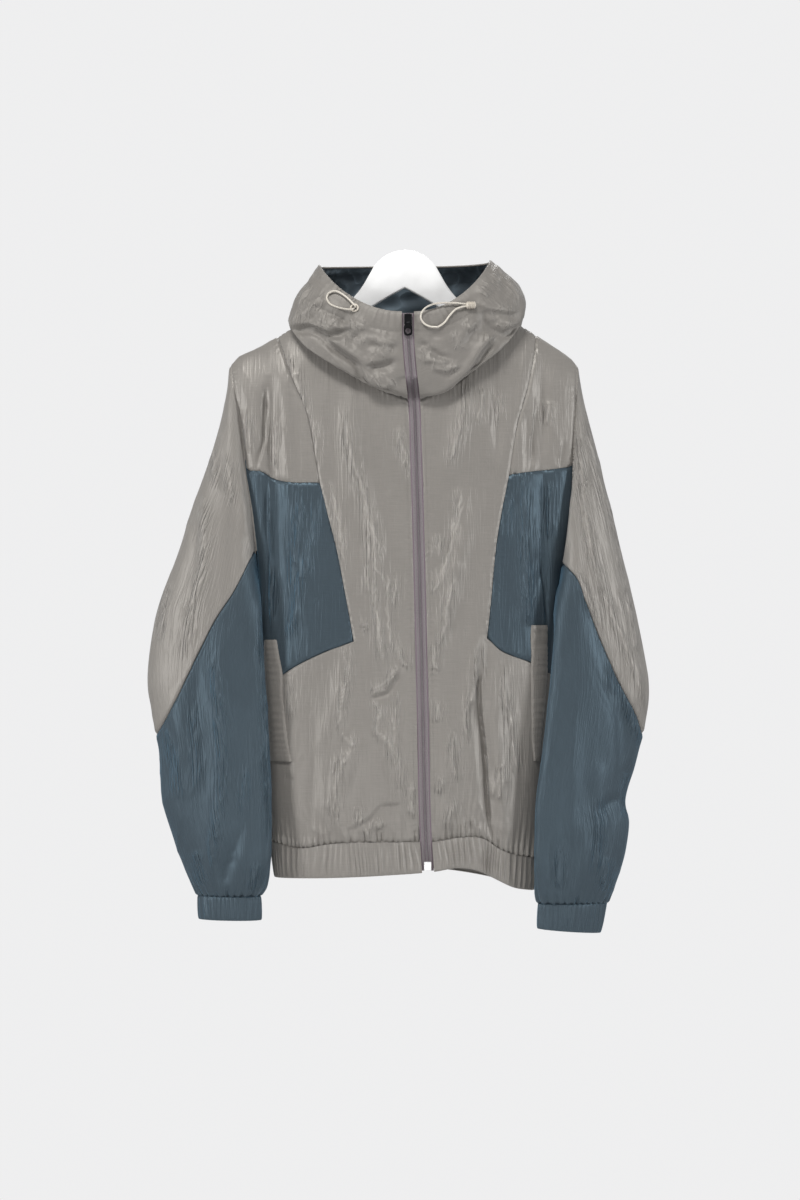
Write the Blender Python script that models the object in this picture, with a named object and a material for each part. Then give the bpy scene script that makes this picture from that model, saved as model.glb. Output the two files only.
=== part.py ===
"""Hooded colour-blocked windbreaker hanging on a flat hanger.

Metres, +Z up.  The front of the jacket faces -Y and its left sleeve, as it is seen
from the front, is at -X.  The origin is the middle of the wall peg's back face, where
the hanger is held.  Every table is in millimetres.

Each panel is a wall of cloth.  Its outline is given as it is seen from the front, and
the body form lifts it to its depth.  Sleeves, hood, cuffs and hem band run through
rings of the same kind.
"""
import math

import bmesh
import bpy
import numpy as np

MM = 0.001
WALL = 1.3 * MM                 # cloth, doubled seam allowances included
SEAM = 0.3 * MM                 # gap between two sewn pieces
LAYER = 0.4 * MM                # gap between two layers of cloth
TABLE_DROP = 16.5 * MM          # the tables' zero height lies this far below the origin

# ------------------------------------------------------------------ body sizes
# height, left end and right end of the oval that the body form follows
BODY_SIDES = (
    (-20, -246, 244), (-119, -246, 244), (-200, -234, 238), (-290, -211, 224),
    (-345, -191, 206), (-374, -182.7, 195.6), (-411, -181, 191), (-460, -180.8, 187),
    (-537, -177, 181), (-637, -171, 172), (-710, -166, 167), (-770, -158, 161))
# height, middle plane and half depth of the body
BODY_DEPTH = (
    (-20, -90, 24), (-90, -90, 34), (-150, -91, 43), (-220, -92, 50), (-374, -90, 57),
    (-560, -88, 57), (-710, -86, 52), (-775, -85, 47))
SHOULDER_ROUND = 62.0           # height over which the shoulder rounds to its ridge
# shoulder ridge: place across and height
SHOULDER = (
    (-217, -120), (-205, -107.5), (-182, -97), (-157.4, -83.6), (-107, -54), (-50, -30),
    (50, -30), (117, -53), (162, -81.6), (200, -106), (214, -119))
# armholes: height and place across
ARMHOLE_LEFT = (
    (-120, -217), (-194, -202), (-250, -196), (-299, -189), (-350, -184), (-374, -182.7))
ARMHOLE_RIGHT = (
    (-119, 214), (-202, 209), (-247, 208), (-317, 205), (-358, 200), (-374, 195.6))
UNDERARM = -374.0

# seam outlines on the front: place across and height
YOKE_SEAM_LEFT = ((-104.5, -267), (-109.5, -236), (-119.3, -184.5), (-139, -136.5), (-157.4, -83.6))
YOKE_SEAM_RIGHT = ((128, -257), (130.4, -240), (139, -192), (151, -150), (161, -97), (162, -81.6))
BLUE_INNER_LEFT = ((-62.7, -461), (-73.8, -401), (-84.9, -344), (-94.7, -306), (-104.5, -267))
BLUE_INNER_RIGHT = ((101, -457.6), (107, -401), (113, -338), (119.3, -300), (128, -257))
BLUE_BOTTOM_LEFT = ((-178, -525), (-142.7, -497), (-99.6, -475), (-62.7, -461))
BLUE_BOTTOM_RIGHT = ((182.5, -503), (156, -488), (115.6, -471), (101, -457.6))
BLUE_TOP_LEFT = ((-196, -251), (-176, -253), (-160, -262), (-104.5, -267))
BLUE_TOP_RIGHT = ((208, -246), (181, -250), (152.5, -253), (128, -257))
HEM_SEAM_FRONT = (
    (-166, -709), (-128, -716), (-100, -711), (-7, -707), (39, -706), (73, -701),
    (98, -704), (116, -716), (166, -731))
HEM_EDGE_FRONT = (
    (-160, -753), (-100, -751), (-27, -747), (36, -742), (64, -738), (87, -741),
    (116, -754), (135, -763), (163, -769))
HEM_SEAM_BACK = ((-166, -709), (-80, -705), (20, -703), (100, -714), (166, -731))
HEM_EDGE_BACK = ((-160, -753), (-80, -749), (20, -747), (100, -755), (163, -769))
# neck seam on the front and on the back
NECK_FRONT = (
    (-107, -54), (-98, -76), (-86, -99), (-70, -123), (-35.7, -147.6), (9, -166),
    (36, -157), (69, -140), (96, -109.5), (114, -81), (117, -53))
NECK_BACK = ((-107, -54), (-80, -62), (-40, -68), (40, -68), (85, -62), (117, -53))
# zip: height and place across of its middle line
ZIP_LINE = (
    (-40, 3), (-59, 3.7), (-91, 4.1), (-130, 7), (-165, 11), (-231, 13.5), (-534, 21.5),
    (-706, 25.8), (-770, 29.6))
ZIP_HALF = 7.4                  # from the middle line to the panels' edges

# largest folds, each a line over the cloth: x and z of its one end, x and z of its
# other end, half width and height (below 0 a trough)
FRONT_FOLDS = (
    (-165, -150, -160, -262, 9, -7.0), (-150, -135, -142, -258, 9, 3.5),
    (-162, -262, -146, -455, 11, -6.5), (-132, -285, -118, -440, 11, 3.5),
    (-204, -160, -199, -250, 6, -4.0), (168, -125, 167, -252, 9, -6.5),
    (152, -190, 151, -262, 7, -4.0), (151, -262, 150, -420, 9, 5.0),
    (171, -262, 170, -450, 9, -6.0), (-72, -147, -50, -280, 12, 4.0),
    (-50, -280, -22, -392, 11, 4.0), (-92, -180, -82, -300, 10, -3.0),
    (-33, -430, -29, -500, 10, 3.5), (82, -147, 50, -262, 12, 4.0),
    (112, -147, 114, -232, 8, -4.0), (80, -307, 34, -480, 12, 4.5),
    (64, -300, 44, -380, 9, -3.0), (95, -460, 70, -560, 11, 4.0),
    (101, -458, 91, -520, 8, -6.0), (91, -520, 108, -700, 9, -7.0),
    (112, -520, 122, -700, 11, 5.0), (-69, -467, -98, -585, 12, 3.5),
    (-58, -590, -90, -660, 12, 4.0), (-90, -660, -72, -702, 11, 3.5),
    (-110, -560, -120, -690, 12, -3.5), (-140, -585, -134, -690, 11, 3.0),
    (-20, -560, -14, -690, 13, 2.5), (50, -560, 48, -690, 13, 2.5),
    (140, -520, 142, -640, 9, -3.0))
BACK_FOLDS = (
    (-150, -150, -130, -420, 14, 4.0), (-95, -260, -80, -560, 15, -4.0),
    (-40, -300, -45, -640, 15, 4.0), (15, -240, 20, -520, 15, -3.5),
    (60, -320, 50, -660, 15, 4.0), (105, -260, 95, -600, 14, -4.0),
    (150, -160, 140, -430, 14, 4.0), (-130, -480, -120, -690, 14, 3.5),
    (135, -480, 130, -690, 14, 3.0))


def table_curve(rows, column=1, by=0):
    """A smooth function through one column of a table, read by another column."""
    rows = sorted(rows, key=lambda row: row[by])
    at = np.array([row[by] for row in rows], float) * MM
    value = np.array([row[column] for row in rows], float) * MM
    step = np.diff(at)
    rise = np.diff(value) / step
    slope = np.empty(len(at))
    slope[0], slope[-1] = rise[0], rise[-1]
    same_way = rise[:-1] * rise[1:] > 0
    mean = (rise[:-1] * step[1:] + rise[1:] * step[:-1]) / (step[1:] + step[:-1])
    slope[1:-1] = np.where(same_way, mean, 0.0)

    def read(place):
        place = np.clip(place, at[0], at[-1])
        i = np.clip(np.searchsorted(at, place) - 1, 0, len(step) - 1)
        t = (place - at[i]) / step[i]
        return ((2 * t**3 - 3 * t**2 + 1) * value[i] + (3 * t**2 - 2 * t**3) * value[i + 1]
                + (t**3 - 2 * t**2 + t) * step[i] * slope[i]
                + (t**3 - t**2) * step[i] * slope[i + 1])
    return read


side_left = table_curve(BODY_SIDES, 1)
side_right = table_curve(BODY_SIDES, 2)
body_middle = table_curve(BODY_DEPTH, 1)
body_half = table_curve(BODY_DEPTH, 2)
shoulder_height = table_curve(SHOULDER)
armhole_left = table_curve(ARMHOLE_LEFT)
armhole_right = table_curve(ARMHOLE_RIGHT)
zip_middle = table_curve(ZIP_LINE)
hem_seam = {"front": table_curve(HEM_SEAM_FRONT), "back": table_curve(HEM_SEAM_BACK)}
hem_edge = {"front": table_curve(HEM_EDGE_FRONT), "back": table_curve(HEM_EDGE_BACK)}


def fold_height(x, z, folds):
    """How far the folds lift the cloth at one place of the outline."""
    lift = np.zeros(np.broadcast(x, z).shape)
    for x0, z0, x1, z1, half_width, height in np.array(folds) * MM:
        along = np.array((x1 - x0, z1 - z0))
        length = np.hypot(*along)
        along = along / length
        run = ((x - x0) * along[0] + (z - z0) * along[1]) / length
        away = (x - x0) * along[1] - (z - z0) * along[0]
        fade = np.clip(1 - (2 * np.clip(run, -0.15, 1.15) - 1) ** 2 / 1.69, 0, 1)
        lift += height * fade * np.exp(-((away / half_width) ** 2))
    return lift


def body_depth(x, z):
    """Half depth of the plain body form at one place of its outline."""
    left, right = side_left(z), side_right(z)
    across = (x - (left + right) / 2) / ((right - left) / 2)
    oval = np.sqrt(np.clip(1 - np.clip(np.abs(across), 0, 1) ** 2.2, 0, 1))
    below = np.clip((shoulder_height(x) - z) / (SHOULDER_ROUND * MM), 0, 1)
    ridge = np.sqrt(np.clip(1 - (1 - below) ** 2, 0, 1))
    return body_half(z) * oval * ridge


def body_point(x, z, face, lift=0.0):
    """Points of the cloth's outer surface on one face of the body, shape (..., 3)."""
    x, z = np.broadcast_arrays(np.asarray(x, float), np.asarray(z, float))
    depth = body_depth(x, z)
    folds = FRONT_FOLDS if face == "front" else BACK_FOLDS
    share = np.clip(depth / (20 * MM), 0, 1)
    depth = depth + fold_height(x, z, folds) * share
    depth = np.maximum(depth, SEAM / 2) + lift
    sign = -1 if face == "front" else 1
    return np.stack((x, body_middle(z) + sign * depth, z), axis=-1)


def body_normal(x, z, face):
    """Outward normals of the plain body form, the same for each piece at a seam."""
    step = 0.4 * MM
    sign = -1 if face == "front" else 1
    slope_x = (body_depth(x + step, z) - body_depth(x - step, z)) / (2 * step)
    slope_z = (body_depth(x, z + step) - body_depth(x, z - step)) / (2 * step)
    normal = np.stack((-slope_x, np.full_like(slope_x, sign), -slope_z), axis=-1)
    return normal / np.linalg.norm(normal, axis=-1, keepdims=True)


# ------------------------------------------------------------------ walls of cloth
def material(name, colour, roughness, metallic=0.0):
    """A plain Principled finish."""
    made = bpy.data.materials.new(name)
    made.use_nodes = True
    shader = made.node_tree.nodes["Principled BSDF"]
    shader.inputs["Base Color"].default_value = (*colour, 1)
    shader.inputs["Roughness"].default_value = roughness
    shader.inputs["Metallic"].default_value = metallic
    return made


def add_object(name, points, faces, finish, origin=(0, 0, 0)):
    """One named object from its points and faces, with its own origin."""
    mesh = bpy.data.meshes.new(name)
    mesh.from_pydata([tuple(point - np.array(origin)) for point in points], [], faces)
    mesh.materials.append(finish)
    form = bmesh.new()
    form.from_mesh(mesh)
    bmesh.ops.remove_doubles(form, verts=form.verts, dist=0.01 * MM)
    bmesh.ops.recalc_face_normals(form, faces=form.faces)
    form.to_mesh(mesh)
    form.free()
    made = bpy.data.objects.new(name, mesh)
    made.location = np.array(origin) - (0, 0, TABLE_DROP)
    bpy.context.scene.collection.objects.link(made)
    return made


def wall_object(name, outer, inner, finish, closed=False):
    """A closed wall between two grids of the same size.

    Rows run one way and columns the other, and closed joins the last column to the
    first.  Each square of both grids is split along the same diagonal, so that two
    layers of cloth keep their gap.
    """
    rows, columns = outer.shape[:2]
    points = np.concatenate((outer.reshape(-1, 3), inner.reshape(-1, 3)))
    inside = rows * columns
    faces = []
    last = columns if closed else columns - 1
    for row in range(rows - 1):
        for column in range(last):
            a = row * columns + column
            b = row * columns + (column + 1) % columns
            c, d = b + columns, a + columns
            for corner in ((a, b, c), (a, c, d)):
                faces.append(corner)
                faces.append(tuple(inside + point for point in corner[::-1]))
    for column in range(last):
        a, b = column, (column + 1) % columns
        faces.append((b, a, inside + a, inside + b))
        a += (rows - 1) * columns
        b += (rows - 1) * columns
        faces.append((a, b, inside + b, inside + a))
    if not closed:
        for row in range(rows - 1):
            a, b = row * columns, (row + 1) * columns
            faces.append((a, b, inside + b, inside + a))
            a += columns - 1
            b += columns - 1
            faces.append((b, a, inside + a, inside + b))
    return add_object(name, points, faces, finish)


# ------------------------------------------------------------------ panels of the body
def along(path, shares):
    """Places at shares of the length of a smooth path given in millimetres."""
    path = np.array(path, float)
    run = np.concatenate(((0,), np.cumsum(np.hypot(*np.diff(path, axis=0).T))))
    at = np.asarray(shares) * run[-1] * MM
    return np.stack([table_curve(np.column_stack((run, path[:, axis])))(at)
                     for axis in (0, 1)], axis=-1)


def seam(path, pieces, first=0.0, last=1.0):
    """A seam's places, the same for each panel that meets there."""
    return along(path, np.linspace(first, last, pieces + 1))


def side_edge(low, high, pieces, left):
    """The side seam's places between two heights."""
    height = np.linspace(low, high, pieces + 1) * MM
    return np.column_stack(((side_left if left else side_right)(height), height))


def joined(*stretches):
    """One outline from stretches that end where the next begins."""
    return np.concatenate([stretches[0]] + [stretch[1:] for stretch in stretches[1:]])


def shares_of(outline):
    """How far along an outline each of its places lies, from 0 to 1."""
    run = np.concatenate(((0,), np.cumsum(np.hypot(*np.diff(outline, axis=0).T))))
    return run / run[-1]


def drawn_in(outline, fixed=0, amount=SEAM / 2, turn=1):
    """An outline moved sideways for the seam gap, but for its first fixed places."""
    tangent = np.gradient(outline, axis=0)
    tangent /= np.hypot(*tangent.T)[:, None]
    moved = outline + turn * amount * np.column_stack((tangent[:, 1], -tangent[:, 0]))
    moved[:fixed] = outline[:fixed]
    return moved


BOW_FADE = 4                    # how fast a bowed edge straightens inside a panel


def filled(bottom, top, left, right):
    """A grid of places between four outlines (rows go up, columns go right)."""
    up = (shares_of(left) + shares_of(right))[:, None, None] / 2
    low_share, high_share = shares_of(bottom)[None, :, None], shares_of(top)[None, :, None]
    across = low_share * (1 - up) + high_share * up
    grid = (1 - across) * left[:, None] + across * right[:, None]
    low_bow = bottom - (bottom[0] * (1 - low_share[0]) + bottom[-1] * low_share[0])
    high_bow = top - (top[0] * (1 - high_share[0]) + top[-1] * high_share[0])
    grid = grid + low_bow * (1 - up) ** BOW_FADE + high_bow * up ** BOW_FADE
    grid[0], grid[-1], grid[:, 0], grid[:, -1] = bottom, top, left, right
    return grid


def cloth_on_body(places, face, lift=0.0, wall=WALL):
    """Outer and inner grids of a wall whose outside lies on the body form."""
    x, z = places[..., 0], places[..., 1]
    outer = body_point(x, z, face, lift + (wall if lift else 0))
    inner = outer - body_normal(x, z, face) * wall
    middle = body_middle(inner[..., 2])
    if face == "front":
        inner[..., 1] = np.minimum(inner[..., 1], middle - SEAM / 2)
    else:
        inner[..., 1] = np.maximum(inner[..., 1], middle + SEAM / 2)
    return outer, inner


YOKE_ROWS = 7
ARM_ROWS = 5                    # from the blue panel's top down to the underarm
BLUE_SIDE_ROWS = 3              # from the underarm down to the blue panel's corner
BLUE_ROWS = ARM_ROWS + BLUE_SIDE_ROWS
BLUE_COLUMNS = 7
SIDE_ROWS = 6
NECK_COLUMNS = 8
RIDGE_COLUMNS = 2
BACK_RIDGE_COLUMNS = 4
BACK_NECK_COLUMNS = 10
FRONT_COLUMNS = NECK_COLUMNS + RIDGE_COLUMNS


def towards_ridge(pieces):
    """Shares that crowd towards the shoulder ridge."""
    even = np.linspace(0, 1, pieces + 1)
    return 0.2 * even + 0.8 * np.sin(even * math.pi / 2)


def towards_side(pieces):
    """Shares that crowd towards the side seam, where the form turns fast."""
    return np.sin(np.linspace(0, math.pi / 2, pieces + 1))


def armhole_outline(left):
    """The armhole from the underarm up to the shoulder tip."""
    table = ARMHOLE_LEFT if left else ARMHOLE_RIGHT
    curve = armhole_left if left else armhole_right
    top = (BLUE_TOP_LEFT if left else BLUE_TOP_RIGHT)[0][1]
    heights = joined(np.linspace(UNDERARM, top, ARM_ROWS + 1)[:, None],
                     (top + (table[0][0] - top) * towards_ridge(YOKE_ROWS))[:, None])[:, 0] * MM
    return np.column_stack((curve(heights), heights))


def side_outline(left):
    """The side seam from the hem up to the underarm."""
    corner = (BLUE_BOTTOM_LEFT if left else BLUE_BOTTOM_RIGHT)[0][1]
    hem = HEM_SEAM_FRONT[0 if left else -1][1]
    return joined(side_edge(hem, corner, SIDE_ROWS, left),
                  side_edge(corner, UNDERARM, BLUE_SIDE_ROWS, left))


def yoke_places(left):
    """Outline places of a yoke, columns running away from the armhole."""
    top_path = [row for row in SHOULDER if (row[0] <= -157) == left and abs(row[0]) > 150]
    if not left:
        top_path = top_path[::-1]
    inner = along(YOKE_SEAM_LEFT if left else YOKE_SEAM_RIGHT, towards_ridge(YOKE_ROWS))
    outer = armhole_outline(left)[ARM_ROWS:]
    bottom = seam(BLUE_TOP_LEFT if left else BLUE_TOP_RIGHT, BLUE_COLUMNS)
    top = seam(top_path, BLUE_COLUMNS)
    outer[-1], top[0] = top[0], top[0]
    turn = -1 if left else 1
    inner = drawn_in(inner, turn=turn)
    bottom = drawn_in(bottom, turn=turn)
    bottom[0], bottom[-1, 0] = outer[0] + (0, SEAM / 2), inner[0, 0]
    inner[0], top[-1] = bottom[-1], inner[-1]
    outer[0] = bottom[0]
    return filled(bottom, top, outer, inner)


def blue_places(left):
    """Outline places of a blue side panel, columns running away from the armhole."""
    armhole = armhole_outline(left)[:ARM_ROWS + 1]
    side = side_outline(left)[SIDE_ROWS:]
    side[0, 1] += SEAM / 2
    outer = joined(side, armhole)
    inner = seam(BLUE_INNER_LEFT if left else BLUE_INNER_RIGHT, BLUE_ROWS)
    bottom = along(BLUE_BOTTOM_LEFT if left else BLUE_BOTTOM_RIGHT,
                   1 - towards_side(BLUE_COLUMNS)[::-1])
    top = seam(BLUE_TOP_LEFT if left else BLUE_TOP_RIGHT, BLUE_COLUMNS)
    turn = -1 if left else 1
    inner = drawn_in(inner, turn=turn)
    bottom = drawn_in(bottom, fixed=1, turn=turn)
    top = drawn_in(top, turn=-turn)
    top[0], top[-1, 0] = outer[-1] - (0, SEAM / 2), inner[-1, 0]
    outer[-1], inner[-1] = top[0], top[-1]
    bottom[-1] = inner[0] = (inner[0, 0], bottom[-1, 1])
    bottom[0] = outer[0]
    return filled(bottom, top, outer, inner)


def front_places(left):
    """Outline places of a front panel, columns running from its side to the zip."""
    turn = 1 if left else -1
    hem = HEM_SEAM_FRONT[0 if left else -1][1]
    corner = (BLUE_BOTTOM_LEFT if left else BLUE_BOTTOM_RIGHT)[0][1]
    side = side_edge(hem, corner, SIDE_ROWS, left)
    side[-1, 1] -= SEAM / 2
    under_blue = along(BLUE_BOTTOM_LEFT if left else BLUE_BOTTOM_RIGHT,
                       1 - towards_side(BLUE_COLUMNS)[::-1])
    outer = joined(
        side, drawn_in(under_blue, fixed=1, turn=turn),
        drawn_in(seam(BLUE_INNER_LEFT if left else BLUE_INNER_RIGHT, BLUE_ROWS), turn=turn),
        drawn_in(along(YOKE_SEAM_LEFT if left else YOKE_SEAM_RIGHT,
                       towards_ridge(YOKE_ROWS)), turn=turn))
    beside_zip = -ZIP_HALF * MM if left else ZIP_HALF * MM
    low, high = hem_seam["front"](np.array(26 * MM)), NECK_FRONT[5][1] * MM
    heights = low + (high - low) * shares_of(outer)
    inner = np.column_stack((zip_middle(heights) + beside_zip, heights))
    neck, ridge = neck_and_ridge(left)
    top = joined(ridge, neck)
    top[0], inner[-1] = outer[-1], top[-1]
    across = outer[0, 0] + (inner[0, 0] - outer[0, 0]) * (
        1 - towards_side(FRONT_COLUMNS)[::-1])
    bottom = np.column_stack((across, hem_seam["front"](across)))
    bottom[0], bottom[-1] = outer[0], inner[0]
    return filled(bottom, top, outer, inner)


def neck_and_ridge(left):
    """The front neck seam, and the shoulder ridge out to the yoke."""
    zip_x = (zip_middle(np.array(NECK_FRONT[5][1] * MM)) / MM
             + (-ZIP_HALF if left else ZIP_HALF))
    middle = (float(zip_x), NECK_FRONT[5][1] + 0.5)
    if left:
        neck = seam(NECK_FRONT[:5] + (middle,), NECK_COLUMNS)
        ridge = seam(((-157.4, -83.6), (-130, -67.5), (-107, -54)), RIDGE_COLUMNS)
    else:
        neck = seam(NECK_FRONT[:5:-1] + (middle,), NECK_COLUMNS)
        ridge = seam(((162, -81.6), (140, -67.5), (117, -53)), RIDGE_COLUMNS)
    return neck, ridge


def back_places():
    """Outline places of the back, columns running towards -X as seen from behind."""
    left = joined(side_outline(True), armhole_outline(True))
    right = joined(side_outline(False), armhole_outline(False))
    ridge_left = seam([row for row in SHOULDER if row[0] <= -107], BACK_RIDGE_COLUMNS)
    ridge_right = seam([row for row in SHOULDER if row[0] >= 117], BACK_RIDGE_COLUMNS)
    neck = seam(NECK_BACK, BACK_NECK_COLUMNS)
    top = joined(ridge_right[::-1], neck[::-1], ridge_left[::-1])
    left[-1], right[-1] = top[-1], top[0]
    count = len(top) - 1
    across = (1 - np.cos(np.linspace(0, math.pi, count + 1))) / 2
    across = right[0, 0] + (left[0, 0] - right[0, 0]) * across
    bottom = np.column_stack((across, hem_seam["back"](across)))
    bottom[0], bottom[-1] = right[0], left[0]
    return filled(bottom, top, right, left)


# ------------------------------------------------------------------ sleeves
ARMHOLE_GAP = 0.6 * MM
SEAM_LEAN = 0.25                # most that a sleeve's edge leans over the armhole's
# a row for each section, from the shoulder down to the cuff: inner end's x, z and y,
# outer end's x, z and y, and half depth
SLEEVE_LEFT = (
    (-191, -377, -90, -222.6, -162, -90, 36), (-193.5, -383, -94, -238.6, -224, -88, 36),
    (-193, -396, -103, -262, -290, -86, 34), (-187, -420, -118, -281.7, -352, -85, 31),
    (-174.7, -462, -127, -307.5, -423, -84, 28), (-171, -509, -129, -319.8, -499, -84, 27),
    (-168.5, -546, -129, -315, -548, -84, 27), (-166, -595, -129, -306, -598, -84, 27),
    (-163.6, -657, -129, -301.4, -659, -84, 27), (-163.6, -718, -129, -285.4, -713, -85, 27),
    (-168.5, -758, -124, -268.1, -757, -88, 24), (-177, -775, -119, -257, -776.5, -91, 21))
SLEEVE_RIGHT = (
    (206, -379, -90, 222, -162, -90, 36), (209, -388, -94, 235, -214, -88, 36),
    (207, -402, -103, 254.6, -291, -86, 34), (199, -425, -118, 271.8, -362, -85, 31),
    (184.5, -463, -127, 289, -435, -84, 28), (178.4, -509, -129, 302.6, -514, -84, 27),
    (173.4, -552, -129, 299, -561, -84, 27), (168.5, -598, -129, 287.8, -610, -84, 27),
    (161, -657, -129, 274.3, -657, -84, 27), (159, -700, -129, 279, -688, -84, 27),
    (158.7, -737, -129, 273, -729, -85, 26), (160, -768, -124, 260.8, -765, -88, 24),
    (163.6, -784, -119, 251, -786, -91, 21))
# the slanting colour seam: height and place across
COLOUR_SEAM_LEFT = (
    (-349.4, -184), (-395, -206.6), (-437, -233.7), (-480, -255.8), (-556, -295),
    (-570, -304), (-600, -330))
COLOUR_SEAM_RIGHT = (
    (-349.4, 205), (-380, 211), (-412, 221.5), (-488, 254), (-535, 276.8), (-556, 288),
    (-574, 295), (-600, 318))
COLOUR_SEAM_STEP = 1            # armhole vertex, counted up from the underarm, it meets
COLOUR_SEAM_GAP = 0.4 * MM
UPPER_TIP = 6.0 * MM            # length of the grey upper's narrow end at the armhole
UPPER_ROWS = 8
LOWER_ROWS = 8
# folds of a sleeve's front and back: the same columns as on the body
SLEEVE_FOLDS_LEFT = (
    (-243, -265, -247, -425, 10, 3.5), (-270, -330, -290, -470, 10, 3.5),
    (-228, -470, -224, -600, 11, 4.0), (-226, -600, -236, -762, 11, 3.5),
    (-256, -495, -258, -570, 9, -3.5), (-282, -535, -272, -640, 10, 3.5),
    (-203, -560, -196, -700, 11, -3.0), (-202, -688, -222, -750, 9, -3.5),
    (-208, -250, -212, -400, 8, -3.0), (-178, -470, -176, -640, 9, 2.5))
SLEEVE_FOLDS_RIGHT = (
    (232, -240, 262, -400, 9, 3.5), (214, -230, 222, -380, 7, -3.5),
    (262, -400, 285, -520, 9, 3.5), (230, -430, 262, -520, 10, -3.0),
    (264, -500, 272, -650, 9, -4.0), (240, -620, 240, -700, 10, 3.5),
    (205, -560, 200, -700, 11, 3.0), (188, -705, 186, -775, 8, -3.5),
    (222, -690, 216, -770, 9, 3.5), (262, -655, 236, -672, 6, -4.0))


def armhole_normals(left):
    """The body's outward normals round an armhole, in the order of a sleeve's columns."""
    armhole = armhole_outline(left)
    front = body_normal(armhole[:, 0], armhole[:, 1], "front")
    back = body_normal(armhole[:, 0], armhole[:, 1], "back")
    front[[0, -1], 1] = 0
    normal = np.concatenate((front, back[-2:0:-1]))
    return normal / np.linalg.norm(normal, axis=-1, keepdims=True)


def away_from_body(left, ring):
    """Directions along the cloth that lead from the body into a sleeve."""
    away = np.cross(np.roll(ring, -1, axis=0) - np.roll(ring, 1, axis=0),
                    armhole_normals(left))
    away *= np.sign(away[len(ring) // 4, 0]) * (-1 if left else 1)
    return away / np.linalg.norm(away, axis=-1, keepdims=True)


def sleeve_sections(left, count=2 * (YOKE_ROWS + ARM_ROWS)):
    """The rings that the sleeve runs through; the first is the armhole itself."""
    half = count // 2
    armhole = armhole_outline(left)
    armhole[-1] = (SHOULDER[0] if left else SHOULDER[-1])[0] * MM, armhole[-1, 1]
    front = body_point(armhole[:, 0], armhole[:, 1], "front")
    back = body_point(armhole[:, 0], armhole[:, 1], "back")
    first = np.concatenate((front, back[-2:0:-1]))
    first += away_from_body(left, first) * ARMHOLE_GAP
    turn = np.linspace(0, 2 * math.pi, count, endpoint=False)
    share = (1 - np.cos(turn)) / 2
    rings = [first]
    for row in SLEEVE_LEFT if left else SLEEVE_RIGHT:
        inner_x, inner_z, inner_y, outer_x, outer_z, outer_y, depth = np.array(row) * MM
        ring = np.stack((
            inner_x + (outer_x - inner_x) * share,
            inner_y + (outer_y - inner_y) * share - depth * np.sin(turn),
            inner_z + (outer_z - inner_z) * share), axis=-1)
        rings.append(ring)
    assert half * 2 == count
    return np.array(rings)


def through_rings(rings, place):
    """Points at fractional ring numbers, one number for each column, (columns, 3)."""
    last = len(rings) - 1
    place = np.clip(place, 0, last)
    i = np.clip(place.astype(int), 0, last - 1)
    t = (place - i)[:, None]
    column = np.arange(rings.shape[1])
    p1, p2 = rings[i, column], rings[i + 1, column]
    p0 = np.where((i > 0)[:, None], rings[np.maximum(i - 1, 0), column], 2 * p1 - p2)
    p3 = np.where((i < last - 1)[:, None], rings[np.minimum(i + 2, last), column],
                  2 * p2 - p1)
    return 0.5 * (2 * p1 + (p2 - p0) * t + (2 * p0 - 5 * p1 + 4 * p2 - p3) * t**2
                  + (3 * p1 - p0 - 3 * p2 + p3) * t**3)


def sleeve_points(left, places, rings):
    """Outer points and outward normals of a sleeve at ring numbers (rows, columns)."""
    points = np.array([through_rings(rings, row) for row in places])
    ahead = np.array([through_rings(rings, row + 0.02) for row in places])
    behind = np.array([through_rings(rings, row - 0.02) for row in places])
    across = np.roll(points, -1, axis=1) - np.roll(points, 1, axis=1)
    normal = np.cross(across, ahead - behind)
    normal /= np.maximum(np.linalg.norm(normal, axis=-1, keepdims=True), 1e-12)
    centre = points.mean(axis=1, keepdims=True)
    if np.sum(normal * (points - centre)) < 0:
        normal = -normal
    away = away_from_body(left, rings[0])[None]
    lean = np.clip(np.sum(normal * away, axis=-1, keepdims=True) - SEAM_LEAN, 0, None)
    normal = normal - away * lean * np.clip(1 - places / 0.35, 0, 1)[..., None]
    normal /= np.linalg.norm(normal, axis=-1, keepdims=True)
    folds = SLEEVE_FOLDS_LEFT if left else SLEEVE_FOLDS_RIGHT
    flat = np.clip(np.abs(normal[..., 1:2]) * 1.6 - 0.5, 0, 1)
    grown = np.clip(places / 1.0, 0, 1)[..., None]
    lift = fold_height(points[..., 0], points[..., 2], folds)[..., None]
    return points + normal * lift * flat * grown, normal


def colour_seam_places(left, rings):
    """The ring number at which each column of a sleeve crosses its colour seam."""
    crossing = table_curve(COLOUR_SEAM_LEFT if left else COLOUR_SEAM_RIGHT)
    side = -1 if left else 1
    trial = np.linspace(0, len(rings) - 1, 600)
    columns = rings.shape[1]
    found = np.zeros(columns)
    for column in range(columns):
        picked = np.array([through_rings(rings, np.full(columns, t))[column] for t in trial])
        outside = side * (picked[:, 0] - crossing(picked[:, 2])) > 0
        outside |= picked[:, 2] > COLOUR_SEAM_LEFT[0][0] * MM
        found[column] = trial[np.argmin(outside)]
    step = COLOUR_SEAM_STEP
    found[:step + 1] = 0
    found[-step:] = 0
    tip = [step, -step]
    found[tip] = UPPER_TIP / np.linalg.norm(rings[1, tip] - rings[0, tip], axis=-1)
    return found


def column_lengths(rings):
    """Rough length of cloth for one ring number, for each column and ring."""
    return np.maximum(np.linalg.norm(np.diff(rings, axis=0), axis=-1), 2 * MM)


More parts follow.
